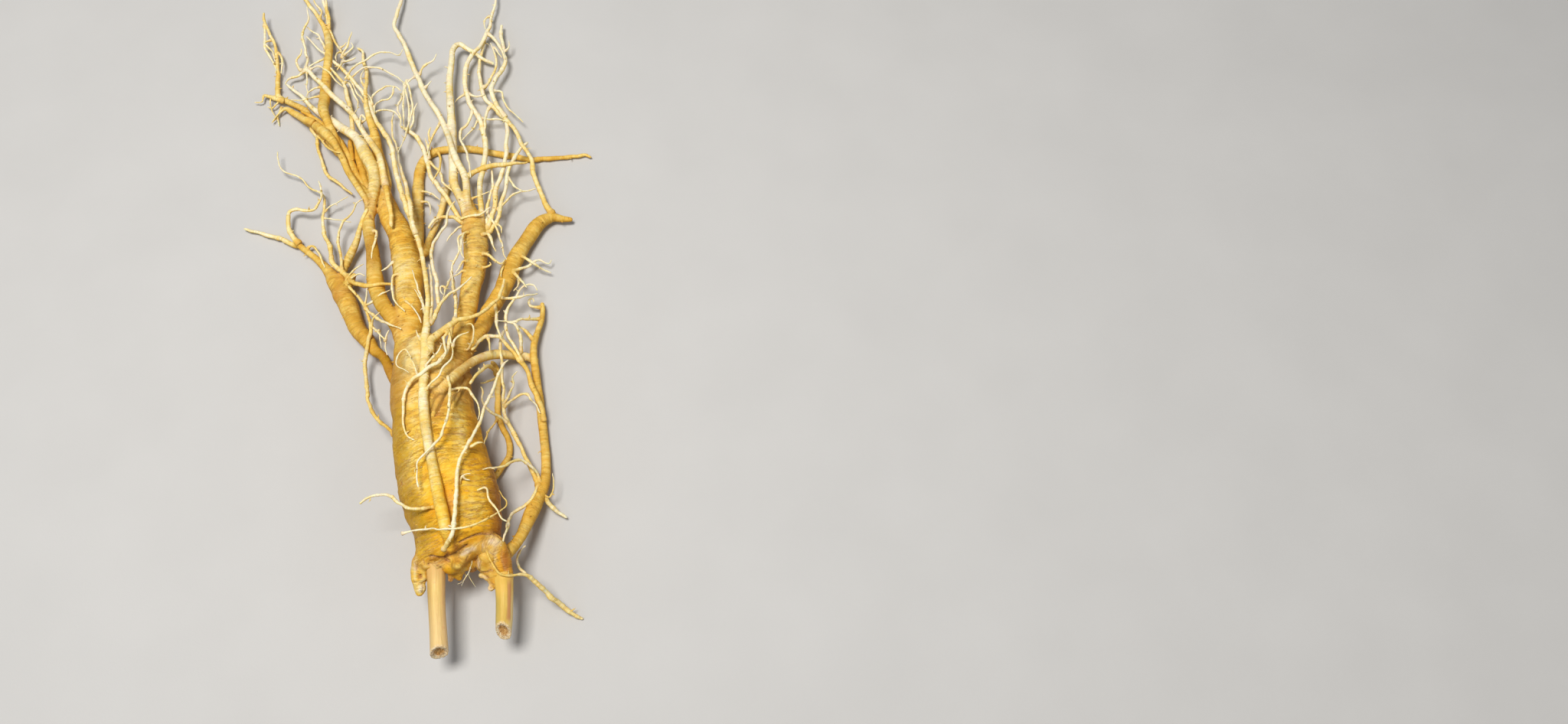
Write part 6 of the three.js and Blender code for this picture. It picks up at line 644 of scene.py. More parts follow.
# creases cut along lines, given as the camera's frame sees them (2048 x 946):
# (half width, depth mm, brown, owners, [x, y]...)
FOLDS = [
    (1.5, 1.3, 1, (), (600.5, 709), (608, 705), (615.7, 701.6), (622, 699), (630, 697), (642.5, 696), (651, 699.5), (656, 704)),
    (1.1, 0.6, 0.75, (), (584, 727.5), (592, 723), (601, 718.6), (610, 712.5)),
    (1.4, 1.2, 1, (), (561, 728.5), (566, 728), (575, 728.5), (581, 728.2), (585, 724)),
    (1.8, 1.3, 1, (), (582.5, 731), (585.5, 733)),
    (1.7, 1.5, 1, (), (559.8, 737.6), (562.2, 738.4)),
    (1.3, 1, 1, (), (565.6, 741.2), (567, 741.8)),
    (1.1, 0.7, 0.9, (), (575, 741), (577, 742)),
    (0.9, 0.4, 0.5, (), (611, 712), (606, 716), (600.5, 722), (599, 728)),
    (0.9, 0.5, 0.5, (), (615, 722), (611.5, 727), (609, 733)),
    (0.9, 0.35, 0.6, (), (636, 716), (640, 722), (646, 727), (651, 733)),
    (0.8, 0.3, 0.4, (), (640, 711), (645, 713.5), (651, 713)),
    (1.1, 0.7, 0.8, (), (571, 739), (572.5, 739.5)),
    (1.1, 0.6, 0.7, (), (552, 733), (554, 736)),
    (1.2, 0.8, 0.85, (), (543.4, 741), (543.8, 743.5)),
    (1.7, 1.2, 1, (), (549, 752.5), (549.6, 755)),
    (0.9, 0.4, 0.45, (), (545.5, 734), (544.6, 742), (545, 751), (547, 759)),
    (1, 0.7, 0.55, (), (540, 760), (545.5, 762.5), (551, 762), (557, 759)),
    (0.9, 0.5, 0.45, (), (552, 763), (553, 768), (551.5, 774)),
    (0.8, 0.35, 0.5, ('body',), (547, 716), (553, 713), (560, 710.5), (572, 705)),
    (0.7, 0.3, 0.5, ('body',), (545, 709), (555, 705.5), (566, 701), (571, 698)),
    (0.8, 0.35, 0.55, ('body',), (552, 721), (560, 719), (568, 715.5), (575, 712)),
    (0.7, 0.3, 0.5, ('body',), (543, 703), (551, 699.5), (557, 698)),
    (0.8, 0.35, 0.5, ('body',), (549, 725), (556, 723.5), (565, 720)),
    (0.7, 0.3, 0.45, ('body',), (556, 716), (564, 713), (573, 708)),
    (0.7, 0.3, 0.4, ('body',), (541, 697), (549, 694.5), (556, 693.5)),
    (1, 0.6, 0.8, (), (643, 746), (640.5, 744.5), (636, 748.5), (628, 748), (623, 743), (621.5, 735), (623.5, 727)),
    (0.9, 0.4, 0.4, (), (627, 744), (625.8, 738), (627.5, 731), (633, 728.5)),
    (1, 0.45, 0.5, (), (648, 716), (644, 724), (644.5, 733), (648, 742), (653, 749)),
    (1, 0.4, 0.5, (), (656, 718), (654.5, 727), (657, 737), (661, 746)),
    (0.8, 0.3, 0.45, (), (634, 708), (631, 714), (629, 720.5)),
    (0.9, 0.3, 0.3, (), (630, 707), (638, 704), (647, 704)),
    (0.9, 0.3, 0.3, (), (634, 712), (643, 710), (651, 711)),
    (1.3, 0.5, 0.95, (), (635.6, 753.8), (637.2, 754.6)),
    (1.2, 0.5, 0.8, (), (640.8, 767.6), (641.8, 768.4)),
    (0.9, 0.3, 0.5, (), (637, 758.5), (640, 762), (644, 764.5)),
    (0.65, 0.26, 0.75, ('body',), (573, 567), (582, 567.5), (594, 566.5), (606, 567)),
    (0.6, 0.22, 0.6, ('body',), (568, 585.5), (574, 587), (581, 586)),
    (0.6, 0.22, 0.6, ('body',), (570, 591), (578, 592.5), (583, 592)),
    (0.6, 0.22, 0.6, ('body',), (571, 597), (577, 599), (584, 598.5)),
    (0.65, 0.25, 0.65, ('body',), (600, 600), (610, 601.5), (622, 600)),
    (0.6, 0.22, 0.6, ('body',), (604, 606.5), (613, 608), (628, 606.5), (636, 604)),
    (0.65, 0.25, 0.7, ('body',), (602, 613), (612, 615), (625, 614.5), (637, 611)),
    (0.6, 0.22, 0.55, ('body',), (606, 619.5), (617, 621), (631, 620)),
    (0.65, 0.25, 0.65, ('body',), (601, 626), (613, 628.5), (628, 628), (640, 624)),
    (0.6, 0.22, 0.6, ('body',), (610, 633.5), (620, 635.5), (636, 634)),
    (0.65, 0.28, 0.7, ('body',), (604, 640), (615, 643), (629, 643.5), (642, 640)),
    (0.6, 0.22, 0.6, ('body',), (612, 648), (622, 650), (634, 650.5)),
    (0.65, 0.25, 0.65, ('body',), (606, 655), (618, 658), (632, 658.5)),
    (0.6, 0.22, 0.6, ('body',), (609, 664), (620, 666.5), (640, 667)),
    (0.65, 0.25, 0.65, ('body',), (605, 675), (618, 677.5), (634, 678), (648, 676)),
    (0.6, 0.22, 0.55, ('body',), (608, 684), (620, 686.5), (640, 687)),
    (0.6, 0.22, 0.5, ('body',), (524, 600), (531, 602), (538, 601)),
    (0.6, 0.22, 0.5, ('body',), (520, 632), (526, 633), (531, 632.5)),
    (0.6, 0.22, 0.5, ('body',), (536, 645), (543, 647), (551, 646.5)),
    (0.6, 0.22, 0.5, ('body',), (541, 660), (549, 662), (558, 661.5)),
    (0.65, 0.25, 0.6, ('body',), (556, 553), (564, 554.5), (574, 553)),
    (0.6, 0.22, 0.55, ('body',), (575, 548), (584, 549.5), (596, 548)),
    (0.6, 0.22, 0.5, ('body',), (580, 558), (590, 559.5), (601, 558)),
    (0.65, 0.3, 0.7, ('RL',), (613, 333.5), (619, 335.5), (627, 334.5)),
    (0.6, 0.25, 0.65, ('RL',), (624, 341), (630, 342.5), (635, 341)),
    (0.65, 0.3, 0.7, ('RL',), (607, 380), (612, 382.5), (617, 382)),
    (0.6, 0.22, 0.55, ('RL',), (608, 322), (617, 324), (629, 323)),
    (0.6, 0.22, 0.5, ('RL',), (606, 346), (614, 348), (624, 347)),
    (0.6, 0.22, 0.5, ('RL',), (603, 393), (610, 395), (619, 394)),
    (0.6, 0.22, 0.5, ('RL',), (607, 310), (617, 312), (630, 311)),
    (0.9, 0.45, 0.5, (), (583, 515), (577, 527), (573, 538)),
    (0.8, 0.35, 0.45, (), (562, 545), (568, 543), (575, 541)),
    (0.8, 0.35, 0.4, (), (596, 515), (590, 530), (586, 541)),
]
# patches of colour, given the same way: (x, y, radius x, radius y, channel, amount, owners)
PATCHES = [
    (566, 736, 19, 6, "scar", 0.16, ()),
    # painted shade in the hollow between the neck's ridge and the knob below it
    (617, 736, 8, 9, "olive_shade", 1, ()),
    (616, 744, 8, 6, "tone", 0.3, ()),
    (566, 735, 20, 7, "warm", 0.35, ()),
    (592, 727, 8, 6, "warm", 0.35, ()),
    (603, 712, 9, 5, "warm", 0.25, ()),
    # painted highlight: pale streak along the ridge of the neck
    (604, 724, 4.5, 3.5, "tone", -0.45, ()),
    (611, 720, 5, 3.5, "tone", -0.5, ()),
    (618, 717, 4, 3.5, "tone", -0.35, ()),
    (597, 733, 5, 4.5, "tone", 0.4, ()),
    # painted shade in the dark hollow under the neck's ridge
    (618, 727, 3.5, 6.5, "olive_shade", 1, ()),
    (618, 727, 3.5, 6.5, "tone", 0.3, ()),
    (624, 737, 2.6, 9, "tone", -0.35, ()),
    (634, 737, 5.5, 6, "olive_shade", 0.75, ()),
    (634, 738, 5, 6, "tone", 0.22, ()),
    (641, 731, 3, 7, "tone", -0.25, ()),
    # painted highlight on the ridge of the neck
    (631, 713, 2, 6, "tone", -0.25, ()),
    # painted shade on the dull lumps under the crown
    (597, 751, 13, 6, "olive_shade", 0.8, ()),
    (598, 754, 12, 4, "tone", 0.25, ()),
    (590, 745, 5, 4, "olive_shade", 0.4, ()),
    # painted highlights: pale patches on the crest of the neck
    (646, 709, 6.5, 4.5, "tone", -0.32, ()),
    (638, 706, 6, 3.5, "tone", -0.15, ()),
    (647, 727, 3.5, 9, "tone", -0.22, ()),
    (659, 729, 5.5, 14, "tone", 0.45, ()),
    (659, 730, 4, 9, "warm", 0.25, ()),
    (662, 744, 3.5, 9, "warm", 0.45, ()),
    (661, 742, 3.5, 12, "tone", 0.3, ()),
    (622, 705, 15, 4, "tone", 0.15, ()),
    # painted highlight along the left rim of the bud
    (542, 745, 2.2, 16, "tone", -0.3, ()),
    (549, 770, 5, 7, "tone", -0.2, ()),
    # painted shade: a warm band beside the V strand where it lies over the taproot
    (589, 657, 5, 14, "warm", 0.8, ('body',)),
    (589, 700, 5, 16, "warm", 0.5, ('body',)),
    (620, 668, 20, 20, "tone", -0.16, ('body',)),
    (606, 560, 10, 30, "tone", -0.12, ('body',)),
    (618, 560, 9, 40, "tone", 0.16, ('body',)),
    # painted shade: the right edge of the taproot is made a deeper orange
    (650, 640, 12, 60, "tone", 0.26, ('body',)),
    (640, 700, 16, 12, "tone", 0.18, ('body',)),
    # painted shade: an olive cast on the left part of the taproot
    (570, 640, 9, 60, "olive_shade", 0.2, ('body',)),
    (560, 690, 26, 16, "olive_shade", 0.3, ('body',)),
    # painted shade on LL where it lies under the strands of legA
    (485, 330, 10, 18, "olive_shade", 0.8, ('LL',)),
    (485, 325, 10, 22, "tone", 0.25, ('LL',)),
    (493, 395, 12, 22, "olive_shade", 0.5, ('LL',)),
    (505, 470, 16, 20, "olive_shade", 0.6, ('LB',)),
    (500, 470, 18, 22, "tone", 0.25, ('LB',)),
    (576, 522, 9, 20, "warm", 0.42, ()),
    (568, 540, 8, 9, "warm", 0.35, ()),
    (600, 505, 8, 14, "warm", 0.25, ()),
    # painted shade: the right edge of the taproot is made a deeper orange
    (651, 660, 8, 45, "tone", 0.22, ('body',)),
    (652, 670, 6, 40, "warm", 0.3, ('body',)),
    (536, 610, 16, 110, "tone", -0.17, ('body',)),
    (528, 440, 24, 50, "tone", -0.16, ('body', 'legA')),
    (525, 380, 20, 40, "tone", -0.08, ('legA',)),
    (600, 560, 14, 40, "tone", -0.08, ('body',)),
    (481, 322, 6, 20, "scar", 0.3, ('LL',)),
    (486, 345, 5, 14, "scar", 0.25, ('LL',)),
    (520, 345, 14, 30, "tone", -0.1, ('legA',)),
]
LEFT_STEM = [[23.55, -146.17, 26.55, 4.07], [23.80, -148.95, 26.22, 4.07], [24.21, -160.02, 24.88, 3.90], [24.78, -170.08, 23.66, 3.78], [25.44, -179.14, 22.55, 3.86], [25.97, -187.24, 21.55, 4.09]]
RIGHT_STEM = [[53.66, -153.21, 25.55, 3.88], [54.37, -158.82, 24.80, 3.88], [54.58, -163.48, 24.18, 3.88], [54.54, -172.75, 22.92, 3.82], [54.18, -179.16, 22.05, 3.53]]
CAMERA = {"at": (0.151453, -0.256780, 0.569550), "right": (0.99761308, -0.05149573, 0.04600355),
          "up": (0.03228414, 0.93675576, 0.34849158), "forward": (0.06103992, 0.34617458, -0.93618229), "lens": 27.22852}


# ---------------------------------------------------------------- noise
def _hash(cell, seed):
    n = np.full(cell.shape[0], (seed * 0x9E3779B1) & 0xFFFFFFFF, np.uint32)
    for i, k in enumerate((0x8DA6B343, 0xD8163841, 0xCB1AB31F, 0x165667B1)[: cell.shape[1]]):
        n ^= cell[:, i].astype(np.int64).astype(np.uint32) * np.uint32(k)
        n ^= n >> np.uint32(15)
        n *= np.uint32(0x2C1B3C6D)
    n ^= n >> np.uint32(12)
    n *= np.uint32(0x297A2D39)
    n ^= n >> np.uint32(15)
    return n.astype(np.float32) / np.float32(4294967295.0) * 2.0 - 1.0


def noise(p, seed=0):
    """Value noise from -1 to 1 on points of 1 to 4 coordinates."""
    p = np.atleast_2d(np.asarray(p, np.float64))
    if p.shape[0] == 1 and p.shape[1] > 4:
        p = p.T
    base = np.floor(p).astype(np.int64)
    f = p - base
    f = f * f * f * (f * (f * 6 - 15) + 10)
    d = p.shape[1]
    out = np.zeros(len(p), np.float32)
    for c in range(1 << d):
        off = np.array([(c >> i) & 1 for i in range(d)])
        w = np.ones(len(p))
        for i in range(d):
            w = w * (f[:, i] if off[i] else 1 - f[:, i])
        out += (w * _hash(base + off, seed)).astype(np.float32)
    return out


def fbm(p, octaves=3, seed=0, gain=0.5):
    p = np.asarray(p, np.float64)
    out, amp, tot = 0.0, 1.0, 0.0
    for o in range(octaves):
        out = out + amp * noise(p * (2.03 ** o) + 17.3 * o, seed + 31 * o)
        tot += amp
        amp *= gain
    return out / tot


def smooth(a, b, x):
    t = np.clip((x - a) / (b - a), 0, 1)
    return t * t * (3 - 2 * t)


# ---------------------------------------------------------------- centre lines
def curve(points, step):
    """Centripetal Catmull-Rom through [x, y, z, r], resampled at even steps of arc length."""
    P = np.asarray(points, float)
    if len(P) == 2:
        D = P
    else:
        Q = np.vstack([2 * P[0] - P[1], P, 2 * P[-1] - P[-2]])
        out = []
        for i in range(1, len(Q) - 2):
            p0, p1, p2, p3 = Q[i - 1:i + 3]
            k = [max(1e-4, np.linalg.norm((b - a)[:3])) ** 0.5 for a, b in ((p0, p1), (p1, p2), (p2, p3))]
            t1, t2, t3 = k[0], k[0] + k[1], k[0] + k[1] + k[2]
            n = max(3, int(np.linalg.norm((p2 - p1)[:3]) / 0.4))
            t = np.linspace(t1, t2, n, endpoint=False)[:, None]
            a1 = (t1 - t) / t1 * p0 + t / t1 * p1
            a2 = (t2 - t) / (t2 - t1) * p1 + (t - t1) / (t2 - t1) * p2
            a3 = (t3 - t) / (t3 - t2) * p2 + (t - t2) / (t3 - t2) * p3
            b1 = (t2 - t) / t2 * a1 + t / t2 * a2
            b2 = (t3 - t) / (t3 - t1) * a2 + (t - t1) / (t3 - t1) * a3
            out.append((t2 - t) / (t2 - t1) * b1 + (t - t1) / (t2 - t1) * b2)
        D = np.vstack(out + [P[-1:]])
    s = np.concatenate([[0], np.cumsum(np.linalg.norm(np.diff(D[:, :3], axis=0), axis=1))])
    n = max(3, int(round(s[-1] / step)) + 1)
    q = np.linspace(0, s[-1], n)
    return np.stack([np.interp(q, s, D[:, k]) for k in range(4)], 1), q


def frames(C):
    """Tangent and two side directions along a line, turning as little as possible."""
    T = np.gradient(C, axis=0)
    T /= np.linalg.norm(T, axis=1)[:, None]
    up = np.array([0, 0, 1.0])
    if abs(T[0] @ up) > 0.9:
        up = np.array([1.0, 0, 0])
    N = np.zeros_like(T)
    n = up - (up @ T[0]) * T[0]
    for i in range(len(T)):
        n = n - (n @ T[i]) * T[i]
        n = n / np.linalg.norm(n)
        N[i] = n
    return T, N, np.cross(T, N)


# where each strand starts along its parent, so that its rings run on from the parent's
LINES = {}
OFFSET = {}
TONE = {}


def place(name, index):
    kind, tone0, tone1, parent, points = STRANDS[name]
    line, s = curve(points, 0.5)
    LINES[name] = line
    if parent in LINES:
        d = np.linalg.norm(LINES[parent][:, :3] - line[0, :3], axis=1)
        i = int(d.argmin())
        OFFSET[name] = OFFSET[parent] + 0.5 * i
        start = tone0 if name == "CR2" else TONE[parent][i]
    else:
        OFFSET[name] = 37.0 * index
        start = tone0
    u = s / s[-1]
    own = tone0 + (tone1 - tone0) * u
    TONE[name] = own + (start - own) * np.exp(-s / (3.5 if kind == "F" or name == "U" else 14.0))


for index, name in enumerate(list(STRANDS)):
    place(name, index)

# short spurs and whiskers, where hair roots broke off
rng = np.random.default_rng(77)
for name in list(STRANDS):
    kind, tone0, tone1, parent, points = STRANDS[name]
    line = LINES[name]
    length = 0.5 * (len(line) - 1)
    if name in ("neck", "knobL", "knobC", "knobD", "knobE") or length < 14:
        continue
    every = {"T": 9.0, "R": 7.5, "F": 9.5}[kind]
    at = 6.0 + rng.uniform(0, 4)
    while at < length - 3:
        i = int(at / 0.5)
        C, R = line[i, :3], line[i, 3]
        T = line[min(i + 1, len(line) - 1), :3] - line[i - 1, :3]
        T = T / np.linalg.norm(T)
        side = np.cross(T, [0, 0, 1.0])
        side /= max(1e-6, np.linalg.norm(side))
        turn = rng.uniform(-0.15, math.pi + 0.15)
        out = math.cos(turn) * side + math.sin(turn) * np.cross(side, T)
        long = rng.uniform(0.7, 2.1) * (1.0 if kind != "T" else 0.9)
        lean = T * rng.uniform(-0.9, 0.9)
        p = [C + out * max(R - 0.5, 0.2 * R), C + out * (R + 0.35 * long) + lean * 0.2 * long,
             C + out * (R + 0.75 * long) + lean * 0.6 * long + rng.normal(0, 0.16, 3), C + out * (R + long) + lean * long + rng.normal(0, 0.28, 3)]
        thin = min(rng.uniform(0.15, 0.28), 0.7 * R)
        if min(q[2] for q in p) > 0.35 and rng.uniform() < (0.45 if kind == "T" else 0.34):
            w = "spur%03d" % len(STRANDS)
            STRANDS[w] = ("F", min(tone0, 0.22), 0.05, name, [[*q, thin * k] for q, k in zip(p, (1.25, 1.0, 0.8, 0.5))])
            place(w, 0)
        at += every * rng.uniform(0.55, 1.5)

# how far along each strand it belongs to the joined flesh; past that it is a tube of its own
FLESH = {}
for name, (kind, tone0, tone1, parent, points) in STRANDS.items():
    line = LINES[name]
    length = 0.5 * (len(line) - 1)
    if kind == "F":
        FLESH[name] = 0.0
        continue
    thin = np.nonzero(line[:, 3] < (1.25 if kind == "T" else 1.45))[0]
    reach = length if len(thin) == 0 else 0.5 * thin[0]
    if name == "V":
        reach = min(reach, 75.0)
    FLESH[name] = 0.0 if reach < 7 else min(reach, length)


# ---------------------------------------------------------------- the joined flesh
VOX = 0.56
BLEND = {"legA": 7.0, "RL": 6.0, "Rarm": 5.0, "LB": 5.0, "LL": 4.5, "neck": 3.0, "knobL": 2.0, "knobC": 1.2,
         "knobD": 1.5, "knobE": 1.5, "V": 1.6, "RA": 1.8, "RD": 2.0, "LBn": 2.5}


# how rich the gold of the skin is: amount, and the distances along the strand between which it fades in
RIPE = {"legA": (0.3, 1000.0, 900.0), "body": (1.0, 98.0, 48.0), "V": (0.75, 68.0, 25.0), "neck": (0.95, 1000.0, 900.0), "knobL": (0.8, 1000.0, 900.0),
        "knobC": (0.3, 1000.0, 900.0), "knobD": (0.3, 1000.0, 900.0), "knobE": (0.5, 1000.0, 900.0)}


def flesh_field():
    lines = {n: LINES[n][: int(FLESH[n] / 0.5) + 1] for n in STRANDS if FLESH[n] > 0}
    allp = np.vstack(list(lines.values()))
    lo = (allp[:, :3] - allp[:, 3:]).min(0) - 3.0
    hi = (allp[:, :3] + allp[:, 3:]).max(0) + 3.0
    dims = np.ceil((hi - lo) / VOX).astype(int) + 1
    G = np.full(dims, 9.0, np.float32)      # signed distance
    A = {k: np.zeros(dims, np.float32) for k in ("s", "tone", "rad", "crease", "ripe")}
    owner = np.full(dims, -1, np.int16)
    order = list(STRANDS)

    def join(sl, D, k, values, who, folded=1.0):
        g = G[sl]
        owner[sl] = np.where(D < g, who, owner[sl])
        h = np.clip(0.5 + 0.5 * (g - D) / k, 0, 1)
        new = g * (1 - h) + D * h - k * h * (1 - h)
        near = (g < 8.9) & (D < 8.9)
        for key, v in values.items():
            a = A[key][sl]
            A[key][sl] = a * (1 - h) + v * h
        c = A["crease"][sl]
        both = np.where(near, 4 * h * (1 - h), 0) * folded
        A["crease"][sl] = np.maximum(c, both)
        G[sl] = new

    for name, line in lines.items():
        band = 7.0
        seg = line[:: 3] if (len(line) - 1) % 3 == 0 else np.vstack([line[:-1][::3], line[-1:]])
        idx = np.concatenate([np.arange(0, len(line) - 1, 3), [len(line) - 1]])
        seg = line[idx]
        s_at = idx * 0.5
        r_max = line[:, 3].max()
        blo = np.maximum(0, np.floor(((seg[:, :3] - seg[:, 3:]).min(0) - band - lo) / VOX).astype(int))
        bhi = np.minimum(dims, np.ceil(((seg[:, :3] + seg[:, 3:]).max(0) + band - lo) / VOX).astype(int) + 1)
        shape = tuple(bhi - blo)
        D = np.full(shape, 9.0, np.float32)
        S = np.zeros(shape, np.float32)
        R = np.zeros(shape, np.float32)
        for a, b, sa, sb in zip(seg[:-1], seg[1:], s_at[:-1], s_at[1:]):
            w = max(a[3], b[3]) + band
            l3 = np.maximum(blo, np.floor((np.minimum(a[:3], b[:3]) - w - lo) / VOX).astype(int))
            h3 = np.minimum(bhi, np.ceil((np.maximum(a[:3], b[:3]) + w - lo) / VOX).astype(int) + 1)
            if np.any(h3 <= l3):
                continue
            ax = [(lo[i] + VOX * np.arange(l3[i], h3[i])).astype(np.float32) - np.float32(a[i]) for i in range(3)]
            e = (b[:3] - a[:3]).astype(np.float32)
            ee = float(e @ e)
            t = (ax[0][:, None, None] * e[0] + ax[1][None, :, None] * e[1] + ax[2][None, None, :] * e[2]) / ee
            np.clip(t, 0, 1, out=t)
            dx = ax[0][:, None, None] - t * e[0]
            dy = ax[1][None, :, None] - t * e[1]
            dz = ax[2][None, None, :] - t * e[2]
            d = np.sqrt(dx * dx + dy * dy + dz * dz)
            rr = a[3] + t * (b[3] - a[3])
            d -= rr
            sl = tuple(slice(l3[i] - blo[i], h3[i] - blo[i]) for i in range(3))
            closer = d < D[sl]
            D[sl] = np.where(closer, d, D[sl])
            S[sl] = np.where(closer, sa + t * (sb - sa), S[sl])
            R[sl] = np.where(closer, rr, R[sl])
        k0 = BLEND.get(name, 1.1 * float(line[0, 3]) + 0.3)
        decay = max(6.0, 1.6 * float(line[: 20, 3].max()))
        k = (k0 - 0.35) * np.exp(-S / decay) + 0.35
        tone = np.interp(S, 0.5 * np.arange(len(TONE[name])), TONE[name]).astype(np.float32)
        sl = tuple(slice(blo[i], bhi[i]) for i in range(3))
        if name == "body":
            # the round-ended field is cut off square at the crown, with a soft shoulder
            (px, py, pz), (nx, ny, nz), shoulder = CROWN_END
            ax = [(lo[i] + VOX * np.arange(blo[i], bhi[i])).astype(np.float32) for i in range(3)]
            h = (ax[0][:, None, None] - px) * nx + (ax[1][None, :, None] - py) * ny + (ax[2][None, None, :] - pz) * nz
            w = np.clip(0.5 + 0.5 * (D - h) / shoulder, 0, 1)
            # near the crown the rings follow the end plane, not the end of the centre line
            at = np.abs(S - 42.0) < 4.0
            shift = float((S[at & (np.abs(D) < 1)] + h[at & (np.abs(D) < 1)]).mean())
            turn = smooth(46.0, 30.0, S)
            S = (S * (1 - turn) + (shift - h) * turn).astype(np.float32)
            D = (h * (1 - w) + D * w + shoulder * w * (1 - w)).astype(np.float32)
        full, a, b = RIPE.get(name, (0.0, 1.0, 0.0))
        ripe = (full * smooth(a, b, S)).astype(np.float32)
        join(sl, D, k.astype(np.float32), {"s": S + OFFSET[name], "tone": tone, "rad": R, "ripe": ripe}, order.index(name))
    for x, y, z, r, k, tone, scar in LUMPS:
        c = np.array([x, y, z])
        l3 = np.maximum(0, np.floor((c - r - 4 - lo) / VOX).astype(int))
        h3 = np.minimum(dims, np.ceil((c + r + 4 - lo) / VOX).astype(int) + 1)
        ax = [(lo[i] + VOX * np.arange(l3[i], h3[i]) - c[i]).astype(np.float32) for i in range(3)]
        d = np.sqrt(ax[0][:, None, None] ** 2 + ax[1][None, :, None] ** 2 + ax[2][None, None, :] ** 2)
        D = (d - r).astype(np.float32)
        sl = tuple(slice(l3[i], h3[i]) for i in range(3))
        keep = A["s"][sl].copy()
        join(sl, D, np.float32(k), {"s": keep, "tone": np.float32(tone), "rad": np.float32(r), "ripe": np.float32(0.6)}, -2, min(1.0, k / 2.0) ** 2)
    return G, A, owner, lo


def surface_nets(G, lo, h):
    ins = G < 0
    n = [s - 1 for s in G.shape]
    count = np.zeros(n, np.int8)
    for c in range(8):
        o = ((c & 1), (c >> 1) & 1, (c >> 2) & 1)
        count += ins[o[0]:o[0] + n[0], o[1]:o[1] + n[1], o[2]:o[2] + n[2]]
    act = (count > 0) & (count < 8)
    I, J, K = np.nonzero(act)
    ids = np.full(n, -1, np.int32)
    ids[I, J, K] = np.arange(len(I), dtype=np.int32)
    pos = np.zeros((len(I), 3))
    cnt = np.zeros(len(I))
    corners = [((c & 1), (c >> 1) & 1, (c >> 2) & 1) for c in range(8)]
    for a in corners:
        for axis in range(3):
            if a[axis]:
                continue
            b = list(a)
            b[axis] = 1
            ga = G[I + a[0], J + a[1], K + a[2]]
            gb = G[I + b[0], J + b[1], K + b[2]]
            m = (ga < 0) != (gb < 0)
            t = ga[m] / (ga[m] - gb[m])
            p = np.tile(np.array(a, float), (m.sum(), 1))
            p[:, axis] += t
            pos[m] += p
            cnt[m] += 1
    V = lo + h * (np.stack([I, J, K], 1) + pos / cnt[:, None])
    faces = []
    for axis in range(3):
        u, v = (axis + 1) % 3, (axis + 2) % 3
        sa = [slice(None)] * 3
        sb = [slice(None)] * 3
        sa[axis] = slice(0, -1)
        sb[axis] = slice(1, None)
        a, b = ins[tuple(sa)], ins[tuple(sb)]
        e = np.argwhere(a != b)
        ok = (e[:, u] > 0) & (e[:, v] > 0) & (e[:, u] < G.shape[u] - 1) & (e[:, v] < G.shape[v] - 1)
        e = e[ok]
        out = a[e[:, 0], e[:, 1], e[:, 2]]
        q = []
        for du, dv in ((-1, -1), (0, -1), (0, 0), (-1, 0)):
            c = e.copy()
            c[:, u] += du
            c[:, v] += dv
            q.append(ids[c[:, 0], c[:, 1], c[:, 2]])
        q = np.stack(q, 1)
        q[~out] = q[~out][:, ::-1]
        faces.append(q)
    return V, np.vstack(faces)


def sample(F, P, lo, h):
    g = (P - lo) / h
    i = np.floor(g).astype(int)
    i = np.clip(i, 0, np.array(F.shape) - 2)
    f = g - i
    out = 0
    for c in range(8):
        o = ((c & 1), (c >> 1) & 1, (c >> 2) & 1)
        w = np.ones(len(P))
        for k in range(3):
            w = w * (f[:, k] if o[k] else 1 - f[:, k])
        out = out + w * F[i[:, 0] + o[0], i[:, 1] + o[1], i[:, 2] + o[2]]
    return out


def gradient(F, P, lo, h):
    e = 0.6 * h
    g = np.stack([sample(F, P + d, lo, h) - sample(F, P - d, lo, h) for d in np.eye(3) * e], 1)
    return g / np.maximum(1e-9, np.linalg.norm(g, axis=1))[:, None]


def in_frame(P):
    """Where points in mm lie in the camera's frame, and how far off."""
    d = P * MM - np.array(CAMERA["at"])
    z = d @ np.array(CAMERA["forward"])
    k = CAMERA["lens"] / 36.0 * 2048
    return 1024 + k * (d @ np.array(CAMERA["right"])) / z, 473 - k * (d @ np.array(CAMERA["up"])) / z, z


def along_line(x, y, pts):
    """Distance from each point of the frame to a line through pts."""
    best = np.full(len(x), 1e9)
    for (ax, ay), (bx, by) in zip(pts[:-1], pts[1:]):
        ex, ey = bx - ax, by - ay
        t = np.clip(((x - ax) * ex + (y - ay) * ey) / max(1e-9, ex * ex + ey * ey), 0, 1)
        best = np.minimum(best, np.hypot(x - ax - t * ex, y - ay - t * ey))
    return best


def owned(owner, names):
    if not names:
        return np.ones(len(owner), bool)
    order = list(STRANDS)
    ids = [order.index(n) if n in order else -2 for n in names]
    return np.isin(owner, ids)


def lumps_and_rings(P, s, rad):
    """How far the skin stands out from the smooth root, in mm, and how deep it lies in a ring groove."""
    big = smooth(1.0, 12.0, rad)
    size = 0.25 + 0.75 * smooth(1.0, 9.0, rad)
    d = (0.15 + 0.75 * big) * fbm(P / 11.0, 2, 3)
    d += (0.10 + 0.14 * big) * fbm(P / 3.4, 3, 5)
    # swellings and waists that go round the whole root
    d += (0.10 + 0.32 * big) * noise(np.column_stack([s / 6.5, P / 60.0]), 11)
    d += (0.05 + 0.10 * big) * noise(np.column_stack([s / 2.9, P / 40.0]), 12)
    # ring grooves, interrupted
    g = noise(np.column_stack([s / 3.1, P / 15.0]), 21)
    g2 = noise(np.column_stack([s / 1.7, P / 10.0]), 22)
    mask = smooth(-0.25, 0.35, noise(np.column_stack([s / 16.0, P / 17.0]), 23))
    groove = np.exp(-(g / 0.10) ** 2) * (0.35 + 0.65 * mask)
    fine = np.exp(-(g2 / 0.13) ** 2) * mask
    d -= size * (0.26 * groove + 0.15 * fine)
    return d, np.clip(0.8 * groove + 0.5 * fine, 0, 1)


